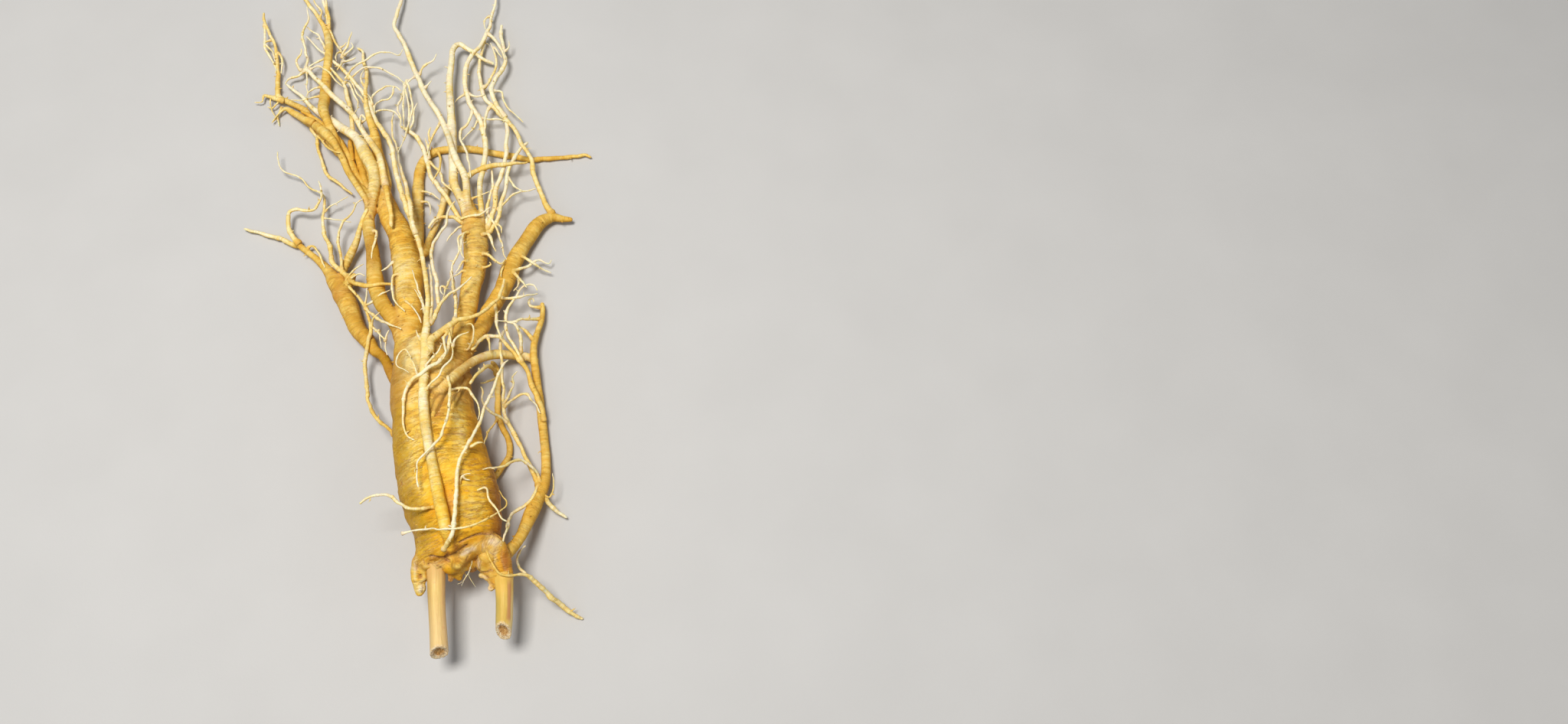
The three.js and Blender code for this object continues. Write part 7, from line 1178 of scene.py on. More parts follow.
def make_mesh(name, V, faces, attributes, material, smooth_shade=True):
    me = bpy.data.meshes.new(name)
    V = np.asarray(V, np.float64) * MM
    me.vertices.add(len(V))
    me.vertices.foreach_set("co", V.astype(np.float32).ravel())
    sizes = np.concatenate([np.full(len(f), f.shape[1], np.int32) for f in faces])
    loops = np.concatenate([f.ravel() for f in faces]).astype(np.int32)
    me.loops.add(len(loops))
    me.loops.foreach_set("vertex_index", loops)
    me.polygons.add(len(sizes))
    starts = np.concatenate([[0], np.cumsum(sizes)[:-1]]).astype(np.int32)
    me.polygons.foreach_set("loop_start", starts)
    me.polygons.foreach_set("use_smooth", np.full(len(sizes), smooth_shade))
    me.update(calc_edges=True)
    me.validate()
    for key, values in attributes.items():
        values = np.asarray(values, np.float32)
        if values.ndim == 1:
            me.attributes.new(key, "FLOAT", "POINT").data.foreach_set("value", values)
        else:
            me.attributes.new(key, "FLOAT_VECTOR", "POINT").data.foreach_set("vector", values.ravel())
    me.materials.append(material)
    ob = bpy.data.objects.new(name, me)
    bpy.context.scene.collection.objects.link(ob)
    return ob


def settle(V, floor=0.0, soft=0.5):
    """Flesh that would reach under the table is flattened against it."""
    z = V[:, 2] - floor
    V[:, 2] = floor + np.where(z < soft, soft * np.exp((z - soft) / soft) , z)
    return V


# ---------------------------------------------------------------- materials
class Nodes:
    def __init__(self, name):
        self.mat = bpy.data.materials.new(name)
        self.mat.use_nodes = True
        self.t = self.mat.node_tree
        self.t.nodes.clear()

    def put(self, kind, **inputs):
        n = self.t.nodes.new("ShaderNode" + kind)
        for k, v in inputs.items():
            self.feed(n, k, v)
        return n

    def feed(self, n, key, v):
        sock = n.inputs[key if isinstance(key, int) else key.replace("_", " ")]
        if isinstance(v, bpy.types.NodeSocket):
            self.t.links.new(v, sock)
        elif isinstance(v, bpy.types.Node):
            self.t.links.new(v.outputs[0], sock)
        else:
            sock.default_value = v

    def attr(self, name, vector=False):
        n = self.t.nodes.new("ShaderNodeAttribute")
        n.attribute_name = name
        return n.outputs["Vector" if vector else "Fac"]

    def math(self, op, a, b=None, c=None, clamp=False):
        n = self.t.nodes.new("ShaderNodeMath")
        n.operation = op
        n.use_clamp = clamp
        for i, v in enumerate((a, b, c)):
            if v is not None:
                self.feed(n, i, v)
        return n.outputs[0]

    def vmath(self, op, a, b=None, scale=None):
        n = self.t.nodes.new("ShaderNodeVectorMath")
        n.operation = op
        self.feed(n, 0, a)
        if b is not None:
            self.feed(n, 1, b)
        if scale is not None:
            self.feed(n, "Scale", scale)
        return n.outputs[0]

    def ramp(self, fac, stops, mode="LINEAR"):
        n = self.t.nodes.new("ShaderNodeValToRGB")
        n.color_ramp.interpolation = mode
        e = n.color_ramp.elements
        while len(e) < len(stops):
            e.new(0.5)
        for el, (p, c) in zip(e, stops):
            el.position = p
            el.color = (*c, 1) if len(c) == 3 else c
        self.feed(n, 0, fac)
        return n.outputs[0]

    def step(self, v, a, b):
        n = self.t.nodes.new("ShaderNodeMapRange")
        n.interpolation_type = "SMOOTHSTEP"
        self.feed(n, "Value", v)
        n.inputs["From Min"].default_value = a
        n.inputs["From Max"].default_value = b
        return n.outputs["Result"]

    def mix(self, fac, a, b, kind="MIX"):
        n = self.t.nodes.new("ShaderNodeMix")
        n.data_type = "RGBA"
        n.blend_type = kind
        n.clamp_factor = True
        self.feed(n, 0, fac)
        for i, v in ((6, a), (7, b)):
            if isinstance(v, tuple):
                n.inputs[i].default_value = (*v, 1) if len(v) == 3 else v
            else:
                self.feed(n, i, v)
        return n.outputs[2]

    def noise(self, vector, scale, detail=2.0, rough=0.5, w=None, distortion=0.0):
        n = self.t.nodes.new("ShaderNodeTexNoise")
        n.noise_dimensions = "3D" if w is None else "4D"
        self.feed(n, "Vector", vector)
        if w is not None:
            self.feed(n, "W", w)
        n.inputs["Scale"].default_value = scale
        n.inputs["Detail"].default_value = detail
        n.inputs["Roughness"].default_value = rough
        n.inputs["Distortion"].default_value = distortion
        return n.outputs[0]

    def cells(self, vector, scale, w=None, randomness=1.0):
        n = self.t.nodes.new("ShaderNodeTexVoronoi")
        n.voronoi_dimensions = "3D" if w is None else "4D"
        self.feed(n, "Vector", vector)
        if w is not None:
            self.feed(n, "W", w)
        n.inputs["Scale"].default_value = scale
        n.inputs["Randomness"].default_value = randomness
        return n.outputs["Distance"], n.outputs["Color"]

    def millimetres(self):
        n = self.t.nodes.new("ShaderNodeTexCoord")
        return self.vmath("SCALE", n.outputs["Object"], scale=1000.0)

    def bump(self, height, distance, strength=1.0, normal=None):
        n = self.t.nodes.new("ShaderNodeBump")
        n.inputs["Distance"].default_value = distance
        n.inputs["Strength"].default_value = strength
        self.feed(n, "Height", height)
        if normal is not None:
            self.feed(n, "Normal", normal)
        return n.outputs[0]

    def finish(self, colour, rough, normal, specular=0.5, coat=0.0, coat_rough=0.3, sub=0.0, radius=(1, 0.5, 0.25), scale=0.001, sheen=0.0):
        p = self.t.nodes.new("ShaderNodeBsdfPrincipled")
        self.feed(p, "Base Color", colour)
        self.feed(p, "Roughness", rough)
        self.feed(p, "Normal", normal)
        p.inputs["Specular IOR Level"].default_value = specular
        p.inputs["Coat Weight"].default_value = coat
        p.inputs["Coat Roughness"].default_value = coat_rough
        p.inputs["Subsurface Weight"].default_value = sub
        p.inputs["Subsurface Radius"].default_value = radius
        p.inputs["Subsurface Scale"].default_value = scale
        p.inputs["Sheen Weight"].default_value = sheen
        o = self.t.nodes.new("ShaderNodeOutputMaterial")
        self.t.links.new(p.outputs[0], o.inputs[0])
        return self.mat


def skin_material(name, fine):
    """Root skin. The attribute along runs down each strand in mm, so rings lie across it."""
    m = Nodes(name)
    P = m.millimetres()
    s = m.attr("along")
    tone = m.attr("tone")
    crease = m.attr("crease")
    groove = m.attr("groove")
    scar = m.attr("scar")
    olive_shade = m.attr("olive_shade")
    warm = m.attr("warm")
    rad = m.attr("thick")
    thick = m.step(rad, 1.0, 7.0)

    blotch = m.noise(P, 0.075, 3.0, 0.55)
    patch = m.noise(P, 0.33, 4.0, 0.6)
    grain = m.noise(P, 1.7, 3.0, 0.6)
    rings = m.noise(m.vmath("SCALE", P, scale=0.085), 1.0, 4.0, 0.62, w=m.math("MULTIPLY", s, 0.95))
    fine_rings = m.noise(m.vmath("SCALE", P, scale=0.16), 1.0, 3.0, 0.6, w=m.math("MULTIPLY", s, 2.3))
    zone = m.step(m.noise(m.vmath("SCALE", P, scale=0.07), 1.0, 2.0, 0.5, w=m.math("MULTIPLY", s, 0.09)), 0.42, 0.62)

    side_shade = m.attr("side_shade")
    ripe = m.attr("ripe")
    bold = m.math("MULTIPLY", m.math("MULTIPLY_ADD", ripe, 0.30, 0.55), m.math("MULTIPLY_ADD", olive_shade, -0.6, 1.0))
    # pale cream to deep golden; painted shade: the sides and undersides of every strand are made deeper, as if turned
    # from the light above
    tone = m.math("MULTIPLY_ADD", side_shade, 0.20, tone)
    t = m.math("ADD", tone, m.math("MULTIPLY", m.math("SUBTRACT", blotch, 0.5), 0.62))
    t = m.math("ADD", t, m.math("MULTIPLY", m.math("SUBTRACT", patch, 0.5), 0.34))
    t = m.math("ADD", t, m.math("MULTIPLY", m.math("SUBTRACT", rings, 0.5), 0.52))
    rich = m.ramp(t, [(0.00, (0.96, 0.85, 0.56)), (0.14, (0.94, 0.75, 0.28)), (0.30, (0.94, 0.61, 0.072)),
                      (0.46, (0.93, 0.49, 0.018)), (0.62, (0.82, 0.385, 0.009)), (0.80, (0.56, 0.235, 0.008)), (1.00, (0.36, 0.12, 0.004))])
    plain = m.ramp(t, [(0.00, (0.95, 0.86, 0.60)), (0.14, (0.92, 0.74, 0.32)), (0.30, (0.85, 0.595, 0.150)),
                       (0.46, (0.76, 0.450, 0.068)), (0.62, (0.66, 0.355, 0.038)), (0.80, (0.51, 0.24, 0.024)), (1.00, (0.35, 0.13, 0.010))])
    base = m.mix(ripe, plain, rich)
    # painted shade: the left flank of the taproot, the hollows of the crown and skin lying under other strands are
    # mixed towards a dark olive gold
    base = m.mix(m.math("MULTIPLY", olive_shade, 0.78), base, (0.46, 0.245, 0.005))
    # ring lines: thin, brownish, interrupted
    line = m.step(m.math("ABSOLUTE", m.math("SUBTRACT", rings, 0.5)), 0.035, 0.0)
    line2 = m.step(m.math("ABSOLUTE", m.math("SUBTRACT", fine_rings, 0.5)), 0.03, 0.0)
    lines = m.math("MULTIPLY", m.math("ADD", m.math("MULTIPLY", line, 0.55), m.math("MULTIPLY", line2, 0.35)), m.math("MULTIPLY_ADD", zone, 0.75, 0.25))
    amount = m.math("MULTIPLY", m.math("MULTIPLY", lines, bold), m.math("MULTIPLY_ADD", thick, 0.54, 0.20))
    base = m.mix(amount, base, (0.35, 0.130, 0.012))
    base = m.mix(m.math("MULTIPLY", m.math("MULTIPLY", groove, bold), m.math("MULTIPLY_ADD", thick, 0.46, 0.18)), base, (0.34, 0.135, 0.016))
    # short dark dashes across the strand and small round specks
    d, c = m.cells(m.vmath("SCALE", P, scale=0.36), 1.0, w=m.math("MULTIPLY", s, 0.85))
    pick = m.step(m.math("MULTIPLY", c, 1.0), 0.62, 0.68)
    dash = m.math("MULTIPLY", m.step(d, 0.24, 0.11), pick)
    d3, c3 = m.cells(m.vmath("SCALE", P, scale=0.55), 1.0, w=m.math("MULTIPLY", s, 1.9))
    dash3 = m.math("MULTIPLY", m.step(d3, 0.26, 0.12), m.step(m.math("MULTIPLY", c3, 1.0), 0.58, 0.64))
    dash = m.math("MAXIMUM", dash, m.math("MULTIPLY", dash3, m.math("MULTIPLY_ADD", thick, 0.6, 0.2)))
    base = m.mix(m.math("MULTIPLY", dash, m.math("MULTIPLY_ADD", thick, 0.45, 0.30)), base, (0.20, 0.075, 0.014))
    d2, c2 = m.cells(P, 0.95)
    speck = m.math("MULTIPLY", m.step(d2, 0.20, 0.08), m.step(m.math("MULTIPLY", c2, 1.0), 0.66, 0.70))
    base = m.mix(m.math("MULTIPLY", speck, 0.50), base, (0.24, 0.10, 0.02))
    base = m.mix(m.math("MULTIPLY", warm, 0.8), base, (0.72, 0.31, 0.075))
    # crisp dark wrinkles, interrupted and gathered in bands
    wr = m.noise(m.vmath("SCALE", P, scale=0.10), 1.0, 3.0, 0.6, w=m.math("MULTIPLY", s, 0.52))
    band = m.step(m.noise(m.vmath("SCALE", P, scale=0.13), 1.0, 2.0, 0.5, w=m.math("MULTIPLY", s, 0.17)), 0.42, 0.56)
    wrinkle = m.math("MULTIPLY", m.step(m.math("ABSOLUTE", m.math("SUBTRACT", wr, 0.5)), 0.050, 0.010), band)
    base = m.mix(m.math("MULTIPLY", m.math("MULTIPLY", wrinkle, bold), m.math("MULTIPLY_ADD", thick, 0.46, 0.08)), base, (0.43, 0.165, 0.010))
    # fine grain drawn out round the strand: dark flecks and pale flecks
    weave = m.noise(m.vmath("SCALE", P, scale=0.42), 1.0, 3.0, 0.65, w=m.math("MULTIPLY", s, 2.1))
    dark = m.step(weave, 0.47, 0.30)
    pale = m.step(weave, 0.54, 0.70)
    base = m.mix(m.math("MULTIPLY", dark, m.math("MULTIPLY_ADD", thick, 0.16, 0.07)), base, (0.52, 0.23, 0.014))
    base = m.mix(m.math("MULTIPLY", pale, m.math("MULTIPLY_ADD", thick, 0.20, 0.10)), base, (0.95, 0.72, 0.26))
    # folds hold a pinkish brown
    fold = m.math("MULTIPLY", crease, m.math("MULTIPLY_ADD", patch, 0.9, 0.15), clamp=True)
    base = m.mix(m.math("MULTIPLY", fold, 0.55), base, (0.52, 0.20, 0.05))
    # scars of old stems: dull brown with pale flecks
    flecks = m.noise(m.vmath("MULTIPLY", P, (1.6, 3.6, 1.6)), 0.55, 4.0, 0.65)
    scar_colour = m.ramp(flecks, [(0.34, (0.22, 0.085, 0.028)), (0.50, (0.50, 0.24, 0.075)), (0.66, (0.80, 0.52, 0.24))])
    base = m.mix(scar, base, scar_colour)

    height = m.math("ADD", m.math("MULTIPLY", rings, 0.55), m.math("MULTIPLY", fine_rings, 0.30))
    height = m.math("ADD", height, m.math("MULTIPLY", grain, 0.20))
    height = m.math("ADD", height, m.math("MULTIPLY", weave, 0.36))
    height = m.math("SUBTRACT", height, m.math("MULTIPLY", wrinkle, 0.45))
    height = m.math("SUBTRACT", height, m.math("MULTIPLY", lines, 0.22))
    height = m.math("SUBTRACT", height, m.math("MULTIPLY", dash, 0.35))
    height = m.math("SUBTRACT", height, m.math("MULTIPLY", speck, 0.25))
    height = m.math("ADD", height, m.math("MULTIPLY", m.math("MULTIPLY", flecks, scar), 0.8))
    normal = m.bump(height, 0.00042 if not fine else 0.00026, 1.0)
    rough = m.math("ADD", m.math("MULTIPLY", patch, 0.22), m.math("MULTIPLY", lines, 0.10))
    rough = m.math("ADD", rough, 0.36, clamp=True)
    return m.finish(base, rough, normal, specular=0.17, coat=0.0, coat_rough=0.32,
                    sub=0.16 if not fine else 0.22, radius=(1.0, 0.48, 0.16), scale=0.0022 if not fine else 0.0012)


def stem_material(name, stripe_colour, stripe_at, stripe_width, tint, left_side, right_side, near_crown, whitish):
    """Stem skin. The attribute around holds (cos, sin) of the angle and the distance from the crown."""
    m = Nodes(name)
    P = m.millimetres()
    around = m.attr("around", vector=True)
    sep = m.put("SeparateXYZ", Vector=around)
    cx, cy, s = sep.outputs[0], sep.outputs[1], sep.outputs[2]
    comb = m.put("CombineXYZ", X=m.math("MULTIPLY", cx, 3.2), Y=m.math("MULTIPLY", cy, 3.2), Z=m.math("MULTIPLY", s, 0.055)).outputs[0]
    comb2 = m.put("CombineXYZ", X=m.math("MULTIPLY", cx, 8.5), Y=m.math("MULTIPLY", cy, 8.5), Z=m.math("MULTIPLY", s, 0.13)).outputs[0]
    wide = m.noise(comb, 1.0, 3.0, 0.55)
    fibre = m.noise(comb2, 1.0, 4.0, 0.6)
    blotch = m.noise(P, 0.22, 3.0, 0.55)
    cut = m.attr("cut")
    pith = m.attr("pith")
    t = m.math("ADD", m.math("MULTIPLY", wide, 0.62), m.math("MULTIPLY", fibre, 0.22))
    t = m.math("ADD", t, m.math("MULTIPLY", blotch, 0.20))
    base = m.ramp(t, tint)
    far = m.step(s, 9.0, 36.0)
    base = m.mix(m.math("MULTIPLY", m.step(m.math("ADD", cy, m.math("MULTIPLY", wide, 0.3)), 0.25, 0.95), 0.75), base, left_side)
    base = m.mix(m.math("MULTIPLY", m.step(m.math("ADD", cy, m.math("MULTIPLY", wide, 0.2)), -0.40, -0.85), 0.65), base, right_side)
    base = m.mix(m.math("MULTIPLY", far, whitish), base, (0.83, 0.62, 0.33))
    base = m.mix(m.math("MULTIPLY", m.step(blotch, 0.58, 0.78), 0.5), base, (0.74, 0.38, 0.16))
    # the skin of the crown runs a little way down the stem
    near = m.step(m.math("MULTIPLY_ADD", wide, 6.0, s), near_crown[0], near_crown[1])
    base = m.mix(m.math("MULTIPLY", near, 0.8), base, near_crown[2])
    angle = m.math("ARCTAN2", cy, cx)
    off = m.math("ABSOLUTE", m.math("SUBTRACT", m.math("ADD", angle, m.math("MULTIPLY", m.math("SUBTRACT", wide, 0.5), 0.5)), stripe_at))
    stripe = m.math("MULTIPLY", m.step(off, stripe_width, stripe_width * 0.35), m.attr("stripe"))
    base = m.mix(stripe, base, stripe_colour)
    cut_noise = m.noise(P, 1.5, 4.0, 0.65)
    cut_colour = m.ramp(cut_noise, [(0.30, (0.50, 0.27, 0.10)), (0.48, (0.80, 0.60, 0.33)), (0.64, (0.93, 0.84, 0.64))])
    base = m.mix(cut, base, cut_colour)
    pith_colour = m.ramp(cut_noise, [(0.32, (0.30, 0.12, 0.03)), (0.55, (0.62, 0.34, 0.10)), (0.72, (0.85, 0.65, 0.36))])
    base = m.mix(pith, base, pith_colour)
    height = m.math("ADD", m.math("MULTIPLY", wide, 0.5), m.math("MULTIPLY", fibre, 0.5))
    height = m.math("ADD", height, m.math("MULTIPLY", m.math("MULTIPLY", cut_noise, cut), 0.8))
    normal = m.bump(height, 0.00045)
    rough = m.math("ADD", m.math("MULTIPLY", fibre, 0.25), 0.36, clamp=True)
    return m.finish(base, rough, normal, specular=0.34, coat=0.0, coat_rough=0.3, sub=0.12,
                    radius=(1.0, 0.55, 0.28), scale=0.0016)


def floor_material():
    m = Nodes("pale_table")
    P = m.millimetres()
    n = m.noise(P, 0.02, 3.0, 0.5)
    base = m.mix(n, (0.52, 0.515, 0.505), (0.57, 0.565, 0.555))
    normal = m.bump(m.noise(P, 0.9, 2.0, 0.5), 0.00004)
    return m.finish(base, m.math("MULTIPLY_ADD", n, 0.05, 0.62), normal, specular=0.25)


# ---------------------------------------------------------------- build
SKIN = skin_material("root_skin", False)
FINE = skin_material("rootlet_skin", True)

BODY_LINE = LINES["body"]


def left_side_shade(P):
    """Painted shade: 1 on the left flank of the taproot, which is coloured darker as if turned from the light, 0
    elsewhere.
    """
    d = P[:, 0] - np.interp(P[:, 1], BODY_LINE[:, 1], BODY_LINE[:, 0])
    r = np.interp(P[:, 1], BODY_LINE[:, 1], BODY_LINE[:, 3])
    on = smooth(BODY_LINE[:, 1].min() - 4, BODY_LINE[:, 1].min() + 14, P[:, 1]) * (1 - smooth(BODY_LINE[:, 1].max() - 18, BODY_LINE[:, 1].max() + 10, P[:, 1]))
    return on * smooth(-0.28, -0.72, d / r)


G, A, OWNER, lo = flesh_field()
V, Q = surface_nets(G, lo, VOX)
for _ in range(2):
    V = V - gradient(G, V, lo, VOX) * np.clip(sample(G, V, lo, VOX), -0.4 * VOX, 0.4 * VOX)[:, None]
N = gradient(G, V, lo, VOX)
along = sample(A["s"], V, lo, VOX)
tone = sample(A["tone"], V, lo, VOX)
thick = sample(A["rad"], V, lo, VOX)
ripe = sample(A["ripe"], V, lo, VOX)
crease = np.clip(sample(A["crease"], V, lo, VOX), 0, 1)
cell = np.clip(np.round((V - lo) / VOX).astype(int), 0, np.array(OWNER.shape) - 1)
owner = OWNER[cell[:, 0], cell[:, 1], cell[:, 2]]
del G, A, OWNER
P0 = V.copy()
d, groove = lumps_and_rings(P0, along, thick)
V = V + N * (d * (1 - 0.5 * crease))[:, None]
scar = np.zeros(len(V))
warm = np.zeros(len(V))
fx, fy, fz = in_frame(P0)
facing = smooth(0.05, -0.25, np.einsum("ij,ij->i", N, (P0 * MM - np.array(CAMERA["at"])) / np.linalg.norm(P0 * MM - np.array(CAMERA["at"]), axis=1)[:, None]))
for half, depth, brown, names, *pts in FOLDS:
    w = np.exp(-(along_line(fx, fy, pts) / half) ** 2) * facing * owned(owner, names)
    V = V - N * (depth * w)[:, None]
    scar = np.maximum(scar, brown * np.clip(1.3 * w, 0, 1))
extra = {"tone": np.zeros(len(V)), "olive_shade": np.zeros(len(V)), "warm": warm, "scar": np.zeros(len(V))}
for x, y, rx, ry, channel, amount, names in PATCHES:
    w = np.exp(-(((fx - x) / rx) ** 2 + ((fy - y) / ry) ** 2)) * facing * owned(owner, names)
    extra[channel] = extra[channel] + amount * w
tone = np.clip(tone + extra["tone"], 0, 1)
scar = np.clip(np.maximum(scar, extra["scar"]), 0, 1)
for x, y, z, r, depth, brown in PITS:
    q = np.linalg.norm(P0 - [x, y, z], axis=1)
    w = np.exp(-(q / r) ** 2)
    V = V - N * (depth * w)[:, None]
    scar = np.maximum(scar, brown * np.clip(1.6 * w, 0, 1))
for x, y, z, r, k, t_, brown in LUMPS:
    if brown > 0:
        q = np.linalg.norm(P0 - [x, y, z], axis=1)
        scar = np.maximum(scar, brown * smooth(r * 1.5, r * 0.8, q))
V = settle(V)
# painted shade: skin that faces sideways or down, above the table, is marked to be coloured deeper
side_shade = smooth(0.80, 0.15, N[:, 2]) * smooth(0.5, 3.0, P0[:, 2])
flesh = make_mesh("root_flesh", V, [Q], {"side_shade": side_shade, "along": along, "tone": tone, "thick": thick, "crease": crease, "groove": groove,
                                         "scar": scar, "warm": np.clip(extra["warm"], 0, 1), "ripe": np.clip(ripe, 0, 1),
                                         "olive_shade": np.clip(left_side_shade(P0) + extra["olive_shade"], 0, 1)}, SKIN)
triangles = 2 * len(Q)
LIMIT = 192000
if triangles > LIMIT:
    mod = flesh.modifiers.new("fewer", "DECIMATE")
    mod.ratio = LIMIT / triangles
    dg = bpy.context.evaluated_depsgraph_get()
    me = bpy.data.meshes.new_from_object(flesh.evaluated_get(dg))
    old = flesh.data
    flesh.modifiers.clear()
    flesh.data = me
    bpy.data.meshes.remove(old)
    me.name = "root_flesh"
    me.polygons.foreach_set("use_smooth", np.ones(len(me.polygons), bool))
print("flesh", triangles, "->", sum(len(p.vertices) - 2 for p in flesh.data.polygons), [a.name for a in flesh.data.attributes])


def tube(name, seed):
    """One strand past its fleshy part, as a closed tube with knots, bends and a rounded tip."""
    kind, tone0, tone1, parent, points = STRANDS[name]
    base = LINES[name]
    r_mid = float(np.median(base[:, 3]))
    step = float(np.clip(0.62 * r_mid, 0.42, 0.8)) * 1.0
    if name.startswith("spur"):
        step = 0.45
    line, s = curve(points, step)
    start = 0.0
    exit_at = 0.0
    if FLESH[name] > 0:
        start = FLESH[name] - 1.6
        if start > s[-1] - 3:
            return None
    elif parent in LINES:
        pl = LINES[parent]
        dist = np.linalg.norm(line[:, None, :3] - pl[None, ::2, :3], axis=2)
        j = dist.argmin(1)
        outside = dist[np.arange(len(j)), j] > pl[::2][j, 3] * 0.98
        first = np.nonzero(outside)[0]
        exit_at = float(s[first[0]]) if len(first) else 0.0
        if exit_at > 0.5 * s[-1]:
            exit_at = 0.0
        start = max(0.0, exit_at - 1.5)
    keep = s >= start
    line, s = line[keep], s[keep]
    C, r = line[:, :3].copy(), line[:, 3].copy()
    T, N1, N2 = frames(C)
    ramp = smooth(0, 7, s - start) * smooth(0, 2, s[-1] - s + 1.0)
    amp = (0.30 if kind == "F" else 0.26) * ramp
    C += (amp * noise(np.column_stack([s / 4.6]), seed))[:, None] * N1
    C += (amp * noise(np.column_stack([s / 4.1]), seed + 7))[:, None] * N2
    calm = float(np.interp(r_mid, [0.5, 1.2], [1.0, 0.55]))
    r = r * (1 + calm * ramp * (0.12 * noise(np.column_stack([s / 2.7]), seed + 13) + 0.08 * noise(np.column_stack([s / 1.1]), seed + 14)))
    # knots where a hair once grew
    knots = np.zeros_like(r)
    rng = np.random.default_rng(seed)
    for at in np.arange(start + 5, s[-1] - 3, 1e9 if s[-1] < 10 else 9.0):
        at = at + rng.uniform(-3.5, 3.5)
        a = rng.uniform(0.12, 0.34) * min(1.0, 0.8 / max(0.3, r_mid)) + 0.06
        w = rng.uniform(0.5, 1.1)
        knots += a * np.exp(-((s - at) / w) ** 2)
    r = r * (1 + knots * ramp * calm)
    if FLESH[name] > 0:
        r = r * (0.95 + 0.05 * smooth(start, start + 2.0, s))
    elif parent in LINES:
        r = r * (1 + float(np.interp(r_mid, [0.5, 1.3], [0.75, 0.22])) * np.exp(-((s - exit_at) / (1.1 * r_mid + 0.5)) ** 2))
    if kind == "F":
        r = r * (1 - 0.38 * smooth(0.5 * s[-1], s[-1], s))
    tip = max(1.2 * r[-1], 0.3)
    u = np.clip((s - (s[-1] - tip)) / tip, 0, 1)
    r = np.maximum(r * np.sqrt(np.maximum(0, 1 - u * u)), 0.04)
    C[:, 2] = np.minimum(C[:, 2], TOP - 1.15 * r)
    sides = 5 if name.startswith("spur") else 12 if r_mid > 1.3 else 10 if r_mid > 0.8 else 8 if r_mid > 0.45 else 7
    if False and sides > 6:
        sides = max(6, sides - 3)
    th = np.linspace(0, 2 * math.pi, sides, endpoint=False)
    ring = np.cos(th)[None, :, None] * N1[:, None, :] + np.sin(th)[None, :, None] * N2[:, None, :]
    lump = 1 + 0.085 * noise(np.column_stack([np.repeat(s / 1.6, sides), np.tile(np.cos(th) * 1.2, len(s)), np.tile(np.sin(th) * 1.2, len(s))]), seed + 20).reshape(len(s), sides)
    V = (C[:, None, :] + ring * (r[:, None] * lump)[:, :, None]).reshape(-1, 3)
    rise = np.append(ring[:, :, 2].ravel(), [0, 0])
    n = len(s)
    i, j = np.meshgrid(np.arange(n - 1), np.arange(sides), indexing="ij")
    a = (i * sides + j).ravel()
    b = (i * sides + (j + 1) % sides).ravel()
    quads = np.stack([a, b, b + sides, a + sides], 1)
    caps = []
    V = np.vstack([V, C[:1] - T[:1] * 0.02, C[-1:] + T[-1:] * 0.03])
    p0, p1 = n * sides, n * sides + 1
    k = np.arange(sides)
    caps.append(np.stack([np.full(sides, p0), (k + 1) % sides, k], 1))
    e = (n - 1) * sides
    caps.append(np.stack([np.full(sides, p1), e + k, e + (k + 1) % sides], 1))
    own = tone0 + (tone1 - tone0) * s / max(1e-6, s[-1])
    if parent in LINES:
        pi = int(np.linalg.norm(LINES[parent][:, :3] - LINES[name][0, :3], axis=1).argmin())
        own = own + (TONE[parent][pi] - own) * np.exp(-s / (3.5 if kind == "F" or name == "U" else 14.0))
    at = {"along": np.append(np.repeat(s + OFFSET[name], sides), [s[0] + OFFSET[name], s[-1] + OFFSET[name]]),
          "tone": np.append(np.repeat(own, sides), [own[0], own[-1]]),
          "thick": np.append(np.repeat(line[:, 3], sides), [r_mid, r_mid])}
    near_base = np.exp(-((s - exit_at) / 1.3) ** 2) if FLESH[name] == 0 else np.zeros_like(s)
    at["crease"] = np.append(np.repeat(0.6 * near_base, sides), [0, 0])
    # painted shade: the sides and underside of each tube are marked to be coloured deeper
    at["side_shade"] = smooth(0.80, 0.0, rise)
    for key in ("groove", "scar", "olive_shade", "warm"):
        at[key] = np.zeros(len(V))
    V = settle(V, 0.0, 0.15)
    return V, quads, np.vstack(caps), at


def gather(names, label):
    VV, QQ, TT, AA, base = [], [], [], {}, 0
    for name in names:
        got = tube(name, 1000 + 37 * list(STRANDS).index(name))
        if got is None:
            continue
        v, q, t, a = got
        VV.append(v)
        QQ.append(q + base)
        TT.append(t + base)
        for key, val in a.items():
            AA.setdefault(key, []).append(val)
        base += len(v)
    ob = make_mesh(label, np.vstack(VV), [np.vstack(QQ), np.vstack(TT)], {k: np.concatenate(v) for k, v in AA.items()}, FINE)
    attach(ob, "root")
    print(label, 2 * sum(map(len, QQ)) + sum(map(len, TT)))
    return ob


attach(flesh, "root")
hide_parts("root")
rootlets = gather([n for n in STRANDS if STRANDS[n][0] in "TR"], "rootlets")
hairs = gather([n for n in STRANDS if STRANDS[n][0] == "F"], "hair_roots")


